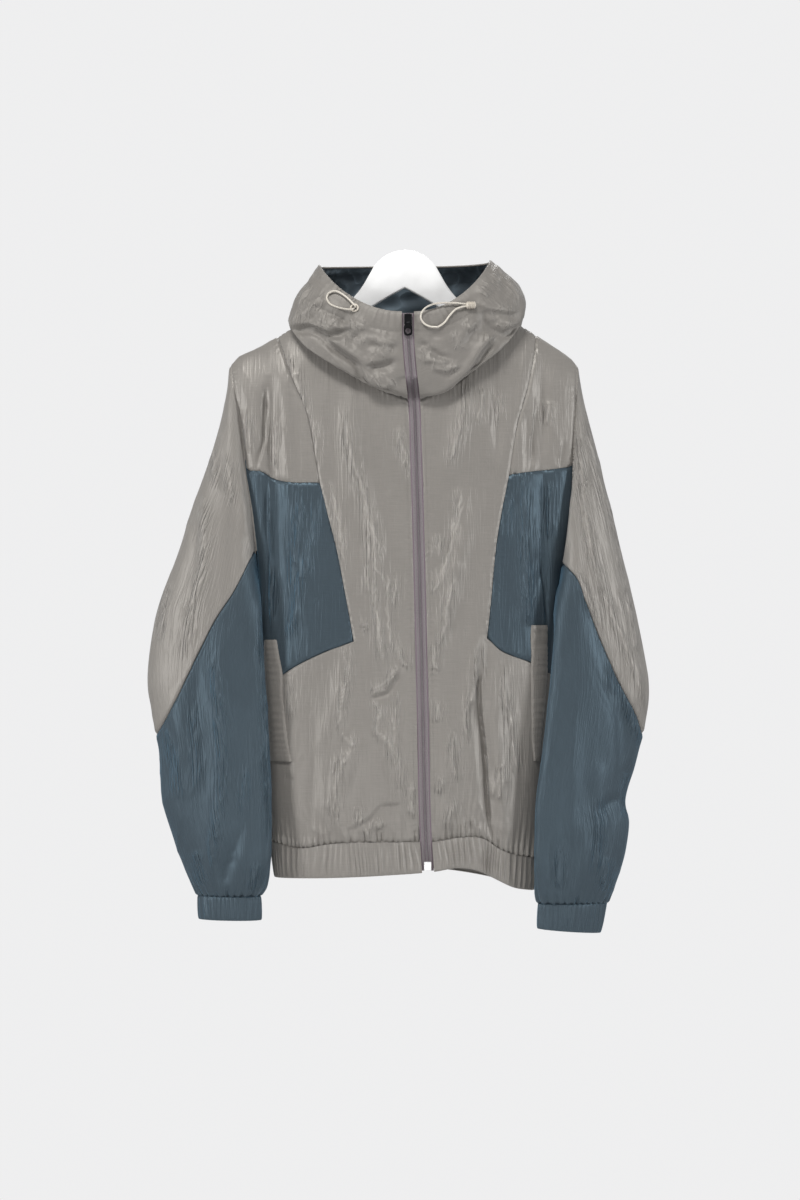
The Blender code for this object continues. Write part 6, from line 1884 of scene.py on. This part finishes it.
def make_hood():
    """The hood's shell with its rolled brim, and the crumpled lining inside it."""
    last = len(HOOD_RINGS)
    places = last * np.interp(np.linspace(0, 1, HOOD_ROWS + 1), *HOOD_SPREAD)
    points, normal = hood_points(places)
    x, z = points[..., 0], points[..., 2]
    lift, pressed, ahead = hood_folds(points, normal)
    turn = np.linspace(0, 1, points.shape[1])[None] * HOOD_ROUND
    lift += crinkled(turn + 0.9 * z, z * 1.1, HOOD_COARSE, 81)
    lift += crinkled(turn - 0.8 * z, z, HOOD_FINE, 82)
    brim, brim_run = to_edge(points, "first row")
    neck, neck_run = to_edge(points, "last row")
    lift *= calmed(brim, 8 * MM, 0.2) * calmed(neck, 6 * MM, 0.3)
    by_zip = rounded(np.abs(x - HOOD_HEART[0]) - BESIDE_ZIP, normal[..., 1] < 0,
                     BESIDE_ZIP_REACH)
    lift += by_zip * gathers(np.abs(brim - CHANNEL_MIDDLE), brim_run, 1.3 * MM, 83, pitch=6,
                             reach=14)
    lift += puckers(np.abs(brim - BRIM * MM), brim_run, 0.5 * MM, 84, pitch=7, reach=8)
    lift -= rounded(brim - BRIM * MM, BRIM_LINE, BRIM_LINE_REACH)
    lift += gathers(neck, neck_run, 0.7 * MM, 85, pitch=9, reach=14)
    lined = places[:, None] <= LINED * last
    lift = np.where(lined, np.maximum(lift, -LINING_ROOM), lift) + pressed + seam_groove(neck)
    shell = points + normal * lift[..., None]
    up = unit(points[0] - points[1])
    centre = shell[0] - normal[0] * RIM_ROUND * MM
    roll = [centre + RIM_ROUND * MM * (normal[0] * math.cos(a) + up * math.sin(a))
            for a in np.linspace(RIM_FROM, RIM_TO, RIM_ROWS)]
    shell = np.concatenate((np.array(roll), shell))
    reach = np.clip(crease_reach(x, z, CHIN_FOLDS) * ahead, 0, 1)
    cloth("cloth_hood", shell, np.zeros(shell.shape[:2]), lambda p: p - HOOD_HEART,
          finishes()["shaded hood grey"], "grey_shell", ("hood_shell",), rests_on=("hanger",),
          creased=np.pad(reach, ((RIM_ROWS, 0), (0, 0)), mode="edge"))
    places = last * np.linspace(0, LINING_END, LINING_ROWS + 1)
    places[0] = LINING_START
    points, normal = hood_points(places)
    x, z = points[..., 0], points[..., 2]
    pressed = hood_folds(points, normal)[1]
    inner = points - normal * (WALL + LAYER - pressed[..., None])
    lift = crinkled(turn + 0 * x, z, LINING_COARSE, 91) - LINING_SINK
    lift += crinkled(turn + 0 * x, z, LINING_FINE, 92)
    edge = to_edge(inner, "first row")[0]
    lift *= calmed(edge, 6 * MM, 0.1)
    lift += rounded(edge - BRIM * MM, LINING_LINE, LINING_LINE_REACH)
    inner = inner + normal * np.minimum(lift, 0)[..., None]
    cloth("cloth_hood_lining", inner, np.zeros(x.shape), lambda p: HOOD_HEART - p,
          finishes()["lining"], "slate_shell", ("hood_lining",))


# ------------------------------------------------------------------ zip, welts and thread
TEETH_PITCH = 1.9
TEETH_AWAY = 0.75 * MM          # of the teeth from the zip's middle and from its tapes
# the tape across, from the middle outward: share of its width and height over its back
TAPE_SHAPE = ((0, 0.1), (0.10, 0.55), (0.2, 0.6), (0.30, 0.1), (0.42, -0.1), (0.55, 0.0),
              (0.68, 0.25), (0.8, 0.3), (0.9, 0.0), (1.0, -0.3))
TAPE_POINTS = 341
TAPE_UNDER = 0.6                # how far a tape reaches on under the cloth
TEETH_HALF = (1.25, 0.35, 0.55)  # half width, depth and height of a tooth


def make_tapes():
    """Both zip tapes with their raised edges."""
    for name, side in (("left", -1), ("right", 1)):
        height = np.linspace(ZIP_BOTTOM, ZIP_TOP, TAPE_POINTS) * MM
        share, rise = np.array(TAPE_SHAPE).T
        rise = rise * MM
        reach = (TAPE_EDGES[0] + (TAPE_EDGES[1] + TAPE_UNDER - TAPE_EDGES[0]) * share) * MM
        x = zip_middle(height)[:, None] + side * reach[None]
        y = np.broadcast_to(tape_depth(height)[:, None], x.shape) - rise[None]
        z = np.broadcast_to(height[:, None], x.shape)
        y = y + 0.25 * MM * waver(z / 0.03, x * 0, 101 + side)
        points = np.stack((x, y, z), axis=-1)
        cloth(f"tape_{name}", points, np.zeros(x.shape), FRONTWARDS, finishes()["tape"],
              "zip_tape", (f"zip_tape_{name}",), sheet=False)


def copies(name, points, faces, places, turns, finish):
    """One mesh of many copies of a small shape, each at its place in its own frame."""
    everywhere = np.einsum("ncx,pc->npx", turns, points) + places[:, None]
    firsts = range(0, len(points) * len(places), len(points))
    deselect()
    bpy.ops.mesh.primitive_cube_add(size=MM)
    piece = new_piece(name)
    mesh = piece.data
    mesh.clear_geometry()
    mesh.from_pydata((everywhere.reshape(-1, 3) - (0, 0, TABLE_DROP)).tolist(), [],
                     [[first + corner for corner in face] for first in firsts
                      for face in faces])
    give_finish(mesh, finish)
    mesh.update()
    recalculated(piece)
    return piece


def bead(half_wide, half_deep, half_long, taper=0.55):
    """Points and faces of a small rounded bar, its length along its third axis."""
    points, faces = [], []
    for end, swell in ((-1, taper), (-0.55, 1), (0.55, 1), (1, taper)):
        for turn in range(6):
            angle = math.pi / 3 * turn
            points.append((half_wide * swell * math.cos(angle),
                           half_deep * swell * math.sin(angle), half_long * end))
    for row in range(3):
        for turn in range(6):
            a, b = row * 6 + turn, row * 6 + (turn + 1) % 6
            faces.append((a, b, b + 6, a + 6))
    faces.append(tuple(range(6))[::-1])
    faces.append(tuple(range(18, 24)))
    return np.array(points), faces


def make_coil():
    """The closed zip's teeth, left and right by turns."""
    low = (ZIP_BOTTOM + BOTTOM_BOX_SIZE[2] - 1) * MM
    high = (SLIDER_Z - SLIDER_SIZE[2] / 2 + 1) * MM
    height = np.arange(low, high, TEETH_PITCH / 2 * MM)
    side = np.where(np.arange(len(height)) % 2 == 0, -1, 1)
    middle = zip_middle(height)
    places = np.stack((middle + side * TEETH_AWAY, tape_depth(height) - TEETH_AWAY, height), -1)
    wide, deep, tall = np.array(TEETH_HALF) * MM
    points, faces = bead(deep * 1.6, tall, wide)
    frames = np.tile(((0.0, -1, 0), (0, 0, 1), (1, 0, 0)), (len(height), 1, 1))
    piece = copies("zip_teeth", points, faces, places, frames, finishes()["coil"])
    hand_over(piece, "zip_coil", "zip_coil")


def recalculated(piece, welded=False, capped=False):
    """Turn every face outward, after welding near points and closing open ends."""
    form = bmesh.new()
    form.from_mesh(piece.data)
    if welded:
        bmesh.ops.remove_doubles(form, verts=form.verts, dist=WELD)
    if capped:
        open_edges = [edge for edge in form.edges if edge.is_boundary]
        bmesh.ops.holes_fill(form, edges=open_edges, sides=0)
    bmesh.ops.recalc_face_normals(form, faces=form.faces)
    form.to_mesh(piece.data)
    form.free()


def line_beside(name, edge, distance):
    """Points and normals of a line on a piece of cloth, parallel to one edge."""
    points, normal = (turned_to(grid, edge) for grid in SURFACES[name])
    runs = run_across(points)
    return [np.array([read_off(distance * MM, run, row) for run, row in zip(runs, grid)])
            for grid in (points, normal)]


STITCH_TAPER = 0.4              # thickness of a stitch at its ends, to that of its middle
STITCH_PROUD = 0.25             # height of its middle line over the cloth, in radii


def sew(name, line, out, finish, slot):
    """A row of stitches along a line, each a small rounded bar sunk at its ends."""
    sizes = bpy.context.scene.windbreaker_sizes
    run = run_along(line)
    at = np.arange(sizes.stitch_pitch / 2, run[-1], sizes.stitch_pitch)
    spot, up = read_off(at, run, line), read_off(at, run, out)
    ahead = unit(read_off(at + MM, run, line) - read_off(at - MM, run, line))
    up = unit(up - ahead * np.sum(up * ahead, axis=-1, keepdims=True))
    frames = np.stack((np.cross(up, ahead), up, ahead), axis=1)
    radius = sizes.thread / 2
    points, faces = bead(radius, radius, sizes.stitch_length / 2, STITCH_TAPER)
    hand_over(copies(name, points, faces, spot + up * radius * STITCH_PROUD, frames, finish),
              slot)


WELT_ROWS = 76
WELT_COLUMNS = 12
WELT_ROLL = 1.6 * MM            # how far the welt's two long edges roll down
WELT_PROUD, WELT_SWELL, WELT_PUCKER = 0.9 * MM, 0.5 * MM, 0.35 * MM
WELT_END, WELT_END_REACH = 1.0 * MM, 1.5 * MM       # how its ends roll down
WELT_PITCH = 0.0075             # from pucker to pucker along the welt
WELT_STITCHES = 3.0             # from the welt's front edge to its stitches


def make_welt(left):
    """A pocket welt with a rolled front edge and small cross puckers."""
    name = side_name(left)
    table = WELT_ROWS_LEFT if left else WELT_ROWS_RIGHT
    height = np.linspace(table[0][0], table[-1][0], WELT_ROWS + 1) * MM
    rear, front = table_curve(table, 1)(height), table_curve(table, 2)(height)
    share = np.linspace(0, 1, WELT_COLUMNS + 1)[None]
    x = rear[:, None] * (1 - share) + front[:, None] * share
    z = np.broadcast_to(height[:, None], x.shape)
    x = x + 0.5 * MM * waver(z / 0.02, share * 2, 111 + left)
    points = body_point(x, z, "front", LAYER + WELT_PROUD + WALL)
    run = z - z[0]
    round_edge = 1 - (2 * np.clip(share, 0.5, 1) - 1) ** 4
    lift = WELT_PROUD * (round_edge - 1) + WELT_SWELL * np.sin(math.pi * share)
    phase = run / WELT_PITCH + waver(run / 0.02, x, 5)
    lift = lift + WELT_PUCKER * np.sin(2 * math.pi * phase)
    ends = np.minimum(run, run[-1:] - run)
    lift = lift - rounded(ends, WELT_END, WELT_END_REACH)
    lift = lift - rounded(share, WELT_ROLL, 0.10) - WELT_ROLL * (share > 0.999)
    cloth(f"cloth_welt_{name}", points, lift + 0 * x, FRONTWARDS, finishes()["grey"],
          "grey_shell", (f"pocket_welt_{name}",), rests_on=(f"cloth_side_{name}",))


# ------------------------------------------------------------------ cords and trims
CORD_STEP = 1.2                 # from ring to ring of a cord


def smooth_route(route, step):
    """Places along a smooth curve through a cord's route."""
    route = np.array(route)
    run = run_along(route)
    at = np.linspace(0, run[-1], round(run[-1] / step) + 1) * MM
    return curve_through(route, run, at)


def tube_rings(path, radius, sides=12):
    """Rings round a path, without twist."""
    ahead = unit(np.gradient(path, axis=0))
    side = np.cross(ahead[0], (0, 1, 0.1))
    side /= np.linalg.norm(side)
    rings = []
    turn = np.linspace(0, 2 * math.pi, sides, endpoint=False)
    for place, forward in zip(path, ahead):
        side = side - forward * np.dot(side, forward)
        side /= np.linalg.norm(side)
        other = np.cross(forward, side)
        rings.append([place + radius * (side * math.cos(a) + other * math.sin(a))
                      for a in turn])
    return np.array(rings)


def make_cord(name, route):
    """A braided cord as a tube with closed ends, along the plain cord's own route."""
    sizes = bpy.context.scene.windbreaker_sizes
    path = smooth_route(route, CORD_STEP)
    rings = tube_rings(path, sizes.cord_diameter / 2)
    centre = path[:, None]

    def outside(p):
        if p.ndim == 3:
            return p - centre
        near = np.argmin(np.linalg.norm(p[:, None] - path[None], axis=-1), axis=1)
        return p - path[near]
    piece = grid_piece(f"braid_{name}", rings, outside, finishes()["cord"], wall=0,
                       closed=True)
    recalculated(piece, capped=True)
    hand_over(piece, "cord", f"hood_cord_{name}")


def node_frame(name):
    """Middle and main directions (longest first) of a plain node."""
    points = values(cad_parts[name].data.vertices, "co")
    middle = (points.max(axis=0) + points.min(axis=0)) / 2
    return middle, np.linalg.svd(points - points.mean(axis=0), full_matrices=False)[2]


def turned_profile(name, profile, middle, axis, finish, sides=28):
    """A round piece from a profile of (distance along the axis, radius)."""
    axis = axis / np.linalg.norm(axis)
    one = np.cross(axis, (0.3, 0.2, 1.0))
    one /= np.linalg.norm(one)
    other = np.cross(axis, one)
    turn = np.linspace(0, 2 * math.pi, sides, endpoint=False)
    profile = np.array(profile) * MM
    rings = np.array([[middle + axis * far + radius * (one * math.cos(a) + other * math.sin(a))
                       for a in turn] for far, radius in profile])
    piece = grid_piece(name, rings + (0, 0, TABLE_DROP), lambda p: p - middle, finish,
                       wall=0, closed=True)
    recalculated(piece, welded=True, capped=True)
    return piece


EYELET_THICK = 1.0              # half the eyelet's height
EYELET_MIDDLE, EYELET_HALF = 4.3, 1.15      # radius of its ring, and half the ring's width
# the stopper's end and one of its ribs: places along its axis and radii
STOPPER_END = ((-5.8, 0.01), (-5.8, 2.6), (-5.4, 3.5), (-4.9, 3.8))
STOPPER_RIB = ((-0.6, 3.9), (-0.3, 4.6), (0.3, 4.6), (0.6, 3.9))
STOPPER_RIBS = (-4.0, -2.0, 0.0, 2.0, 4.0)


def make_trims():
    """The eyelet's rounded ring and the ribbed cord stopper."""
    middle, axes = node_frame("eyelet_left")
    turn = np.linspace(0, 2 * math.pi, 13)
    ring = [(EYELET_THICK * math.sin(a), EYELET_MIDDLE - EYELET_HALF * math.cos(a))
            for a in turn]
    eyelet = turned_profile("eyelet_ring", ring, middle, axes[2], finishes()["trim"])
    hand_over(eyelet, "cord_trim", "eyelet_left")
    middle, axes = node_frame("cord_stopper_right")
    profile = list(STOPPER_END)
    for far in STOPPER_RIBS:
        profile += [(far + along_it, radius) for along_it, radius in STOPPER_RIB]
    profile += [(-far, radius) for far, radius in reversed(STOPPER_END)]
    stopper = turned_profile("stopper_barrel", profile, middle, axes[0], finishes()["trim"])
    hand_over(stopper, "cord_trim", "cord_stopper_right")


# ------------------------------------------------------------------ hanger
def make_hanger():
    """The hanger: a smooth flat outline with rounded edges."""
    half = np.array(HANGER_HALF, float)
    run = flat_run(half)
    smooth = curve_through(half, run, np.linspace(0, run[-1], HANGER_POINTS) * MM)
    outline = np.concatenate((smooth, smooth[-2:0:-1] * (-1, 1)))
    deselect()
    bpy.ops.mesh.primitive_circle_add(vertices=len(outline), fill_type="NGON")
    piece = new_piece("hanger_board")
    near = (HANGER_MIDDLE - HANGER_THICK / 2) * MM
    for vertex, (x, z) in zip(piece.data.vertices, outline):
        vertex.co = (x, near, z - TABLE_DROP)
    bpy.ops.object.mode_set(mode="EDIT")
    bpy.ops.mesh.select_all(action="SELECT")
    bpy.ops.mesh.extrude_region_move(
        TRANSFORM_OT_translate={"value": (0, HANGER_THICK * MM, 0)})
    bpy.ops.object.mode_set(mode="OBJECT")
    recalculated(piece)
    edge = piece.modifiers.new("rounded edges", "BEVEL")
    edge.width = HANGER_ROUND * MM
    edge.segments = 4
    edge.limit_method = "ANGLE"
    edge.angle_limit = math.radians(50)
    bpy.ops.object.modifier_apply(modifier=edge.name)
    bpy.ops.object.shade_smooth_by_angle(angle=HANGER_ANGLE)
    give_finish(piece.data, finishes()["white"])
    hand_over(piece, "hanger_white", "hanger")


# ------------------------------------------------------------------ the panel's settings
class WindbreakerSizes(PropertyGroup):
    """Sizes of the sewn details."""

    stitch_length: FloatProperty(
        name="Stitch length", description="Length of one stitch that shows",
        default=2.3 * MM, min=1 * MM, max=5 * MM, unit="LENGTH", precision=4)
    stitch_pitch: FloatProperty(
        name="Stitch spacing", description="From the start of one stitch to the next",
        default=3.1 * MM, min=1.5 * MM, max=8 * MM, unit="LENGTH", precision=4)
    thread: FloatProperty(
        name="Thread", description="Thickness of the sewing thread",
        default=0.42 * MM, min=0.1 * MM, max=1 * MM, unit="LENGTH", precision=5)
    cord_diameter: FloatProperty(
        name="Cord diameter", description="Thickness of the hood's braided cords",
        default=2 * CORD_RADIUS * MM, min=1 * MM, max=5 * MM, unit="LENGTH", precision=4)
    camera_distance: FloatProperty(
        name="Camera distance", description="From the camera to the jacket's front",
        default=3.5, min=1.0, max=10.0, unit="LENGTH")


class WindbreakerColours(PropertyGroup):
    """Base colours of the cloth, tape, cord and hanger."""

    shell: FloatVectorProperty(
        name="Shell", description="Grey nylon of the upper body and sleeves",
        default=(0.205, 0.192, 0.177), subtype="COLOR", size=3, min=0, max=1)
    slate: FloatVectorProperty(
        name="Slate", description="Slate blue nylon of the chest, sleeves and lining",
        default=(0.0420, 0.0545, 0.065), subtype="COLOR", size=3, min=0, max=1)
    tape: FloatVectorProperty(
        name="Zip tape", description="Mauve woven tape",
        default=(0.205, 0.182, 0.192), subtype="COLOR", size=3, min=0, max=1)
    cord: FloatVectorProperty(
        name="Cord", description="Cream braided cord",
        default=(0.74, 0.69, 0.61), subtype="COLOR", size=3, min=0, max=1)
    trim: FloatVectorProperty(
        name="Trim", description="Beige eyelet and stopper",
        default=(0.60, 0.55, 0.48), subtype="COLOR", size=3, min=0, max=1)
    hanger: FloatVectorProperty(
        name="Hanger", description="Satin white of the hanger",
        default=(0.93, 0.93, 0.93), subtype="COLOR", size=3, min=0, max=1)


# ------------------------------------------------------------------ stage and light
FRAME_HEIGHT = 1.476            # of what the camera sees at the jacket's front
FILM_HEIGHT = 36                # of the camera, in millimetres
CAMERA_AIM = (-0.006, -0.12, -0.427)
FLOOR_SIZE = 2.6
FLOOR_PLACE = (0, -0.1, -1.52)
WORLD_COLOUR = (0.86, 0.86, 0.865, 1)
WORLD_STRENGTH = 0.30
LIGHT_AIM = (0, -0.1, -0.45)
# name, place, width and height, power, tint
LIGHTS = (
    ("key light", (-0.6, -1.9, 2.2), (1.1, 0.7), 66, (1.0, 0.99, 0.97)),
    ("low fill", (0.0, -2.1, -1.15), (1.3, 0.25), 7, (1.0, 1.0, 1.0)),
    ("left strip", (-2.3, -1.15, -0.1), (0.35, 1.8), 32, (1.0, 1.0, 1.0)),
    ("right strip", (2.3, -1.15, -0.1), (0.35, 1.8), 34, (0.98, 0.99, 1.0)),
    ("back light", (0.4, 2.2, 2.3), (1.4, 0.8), 34, (1.0, 1.0, 1.0)))


# ------------------------------------------------------------------ operators
class WindbreakerStep(Operator):
    """One step of the making."""

    bl_options = {"REGISTER", "UNDO"}


class JACKET_OT_camera(WindbreakerStep):
    """Put the camera straight in front of the jacket"""

    bl_idname = "jacket.camera"
    bl_label = "Camera"

    def execute(self, context):
        distance = context.scene.windbreaker_sizes.camera_distance
        camera = bpy.data.cameras.new("camera")
        camera.lens = FILM_HEIGHT * distance / FRAME_HEIGHT
        camera.clip_end = 100
        holder = bpy.data.objects.new("camera", camera)
        holder.location = np.array(CAMERA_AIM) - (0, distance, 0)
        holder.rotation_euler = (math.radians(90), 0, 0)
        context.scene.collection.objects.link(holder)
        context.scene.camera = holder
        return {"FINISHED"}


class JACKET_OT_cords(WindbreakerStep):
    """Lay both braided cords of the hood"""

    bl_idname = "jacket.cords"
    bl_label = "Hood cords"

    def execute(self, context):
        make_cord("left", CORD_LEFT)
        make_cord("right", CORD_RIGHT)
        return {"FINISHED"}


class JACKET_OT_stage(WindbreakerStep):
    """Add the floor and the soft light"""

    bl_idname = "jacket.stage"
    bl_label = "Stage and light"

    def execute(self, context):
        deselect()
        bpy.ops.mesh.primitive_plane_add(size=FLOOR_SIZE, location=(0, 0, 0))
        floor = context.object
        floor.name = "floor"
        floor.data.transform(Matrix.Translation(FLOOR_PLACE))
        floor.data.materials.append(finishes()["floor"])
        for name, place, size, power, tint in LIGHTS:
            light = bpy.data.lights.new(name, "AREA")
            light.shape = "RECTANGLE"
            light.size, light.size_y = size
            light.energy = power
            light.color = tint
            holder = bpy.data.objects.new(name, light)
            holder.location = place
            aim = Vector(np.array(LIGHT_AIM) - place)
            holder.rotation_euler = aim.to_track_quat("-Z", "Y").to_euler()
            context.scene.collection.objects.link(holder)
        world = bpy.data.worlds.new("studio")
        world.use_nodes = True
        nodes, links = world.node_tree.nodes, world.node_tree.links
        seen, glow = nodes["Background"], nodes.new("ShaderNodeBackground")
        seen.inputs["Color"].default_value = WORLD_COLOUR
        glow.inputs["Color"].default_value = WORLD_COLOUR
        glow.inputs["Strength"].default_value = WORLD_STRENGTH
        ray, mix = nodes.new("ShaderNodeLightPath"), nodes.new("ShaderNodeMixShader")
        links.new(ray.outputs["Is Camera Ray"], mix.inputs[0])
        links.new(glow.outputs[0], mix.inputs[1])
        links.new(seen.outputs[0], mix.inputs[2])
        links.new(mix.outputs[0], nodes["World Output"].inputs["Surface"])
        context.scene.world = world
        context.scene.view_settings.view_transform = "Standard"
        return {"FINISHED"}


class JACKET_OT_body(WindbreakerStep):
    """Make the front panels, yokes, blue chest panels and the back"""

    bl_idname = "jacket.body"
    bl_label = "Body panels"

    def execute(self, context):
        for left in (True, False):
            make_front(left)
            make_yoke(left)
            make_blue(left)
        make_back()
        return {"FINISHED"}


class JACKET_OT_sleeves(WindbreakerStep):
    """Make both sleeves and their gathered cuffs"""

    bl_idname = "jacket.sleeves"
    bl_label = "Sleeves and cuffs"

    def execute(self, context):
        for left in (True, False):
            make_cuff(left, make_sleeve(left))
            make_binding(left)
        return {"FINISHED"}


class JACKET_OT_hood(WindbreakerStep):
    """Make the hood and its lining"""

    bl_idname = "jacket.hood"
    bl_label = "Hood"

    def execute(self, context):
        make_hood()
        return {"FINISHED"}


class JACKET_OT_hem(WindbreakerStep):
    """Make the gathered hem band"""

    bl_idname = "jacket.hem"
    bl_label = "Hem band"

    def execute(self, context):
        make_hem("hem_band_left", front_places(True)[0], "front",
                 (HEM_LEAN_SIDE, HEM_LEAN_ZIP), 21)
        make_hem("hem_band_right", front_places(False)[0], "front",
                 (-HEM_LEAN_SIDE, HEM_LEAN_ZIP), 23)
        make_hem("hem_band_back", back_places()[0], "back",
                 (-HEM_LEAN_SIDE, HEM_LEAN_SIDE), 25)
        return {"FINISHED"}


class JACKET_OT_zip(WindbreakerStep):
    """Make the zip's tapes and teeth, and finish its slider, tab and box"""

    bl_idname = "jacket.zip"
    bl_label = "Zip"

    def execute(self, context):
        make_tapes()
        make_coil()
        for node, finish in (("zip_slider", "dark"), ("zip_pull_tab", "dark"),
                             ("zip_bottom_box", "bright"), ("wall_peg", "peg")):
            give_finish(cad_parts[node].data, finishes()[finish])
        return {"FINISHED"}


class JACKET_OT_welts(WindbreakerStep):
    """Make both pocket welts"""

    bl_idname = "jacket.welts"
    bl_label = "Pocket welts"

    def execute(self, context):
        make_welt(True)
        make_welt(False)
        return {"FINISHED"}


class JACKET_OT_stitches(WindbreakerStep):
    """Sew the rows of stitches that show"""

    bl_idname = "jacket.stitches"
    bl_label = "Stitches"

    def execute(self, context):
        thread, blue = finishes()["thread"], finishes()["blue thread"]
        for side in ("left", "right"):
            sew(f"stitches_zip_{side}",
                *line_beside(f"cloth_front_{side}", "last column", STITCH_LINE),
                thread, "grey_shell")
            sew(f"stitches_welt_{side}",
                *line_beside(f"cloth_welt_{side}", "last column", WELT_STITCHES),
                thread, "grey_shell")
        sew("stitches_brim", *line_beside("cloth_hood", "first row", BRIM + 4),
            thread, "grey_shell")
        sew("stitches_brim_inside", *line_beside("cloth_hood_lining", "first row", BRIM),
            blue, "slate_shell")
        return {"FINISHED"}


class JACKET_OT_trims(WindbreakerStep):
    """Make the hood's eyelet ring and cord stopper"""

    bl_idname = "jacket.trims"
    bl_label = "Eyelet and stopper"

    def execute(self, context):
        make_trims()
        return {"FINISHED"}


class JACKET_OT_hanger(WindbreakerStep):
    """Make the flat white hanger"""

    bl_idname = "jacket.hanger"
    bl_label = "Hanger"

    def execute(self, context):
        make_hanger()
        return {"FINISHED"}


STEPS = (JACKET_OT_camera, JACKET_OT_cords, JACKET_OT_stage, JACKET_OT_body,
         JACKET_OT_sleeves, JACKET_OT_hood, JACKET_OT_hem, JACKET_OT_zip, JACKET_OT_welts,
         JACKET_OT_stitches, JACKET_OT_trims, JACKET_OT_hanger)


class JACKET_PT_panel(Panel):
    """Settings and steps of the windbreaker"""

    bl_idname = "JACKET_PT_panel"
    bl_label = "Windbreaker"
    bl_space_type = "VIEW_3D"
    bl_region_type = "UI"
    bl_category = "Windbreaker"

    def draw(self, context):
        for group in (context.scene.windbreaker_sizes, context.scene.windbreaker_colours):
            for name in group.__annotations__:
                self.layout.prop(group, name)
        for step in STEPS:
            self.layout.operator(step.bl_idname)


CLASSES = (WindbreakerSizes, WindbreakerColours) + STEPS + (JACKET_PT_panel,)


def register():
    for made in CLASSES:
        bpy.utils.register_class(made)
    bpy.types.Scene.windbreaker_sizes = PointerProperty(type=WindbreakerSizes)
    bpy.types.Scene.windbreaker_colours = PointerProperty(type=WindbreakerColours)


def unregister():
    del bpy.types.Scene.windbreaker_sizes
    del bpy.types.Scene.windbreaker_colours
    for made in reversed(CLASSES):
        bpy.utils.unregister_class(made)


def main():
    """Run every step in order."""
    register()
    bpy.ops.jacket.camera()
    bpy.ops.jacket.cords()
    bpy.ops.jacket.stage()
    bpy.ops.jacket.body()
    bpy.ops.jacket.sleeves()
    bpy.ops.jacket.hood()
    bpy.ops.jacket.hem()
    bpy.ops.jacket.zip()
    bpy.ops.jacket.welts()
    bpy.ops.jacket.stitches()
    bpy.ops.jacket.trims()
    bpy.ops.jacket.hanger()
    deselect()
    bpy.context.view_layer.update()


if __name__ == "__main__":
    main()
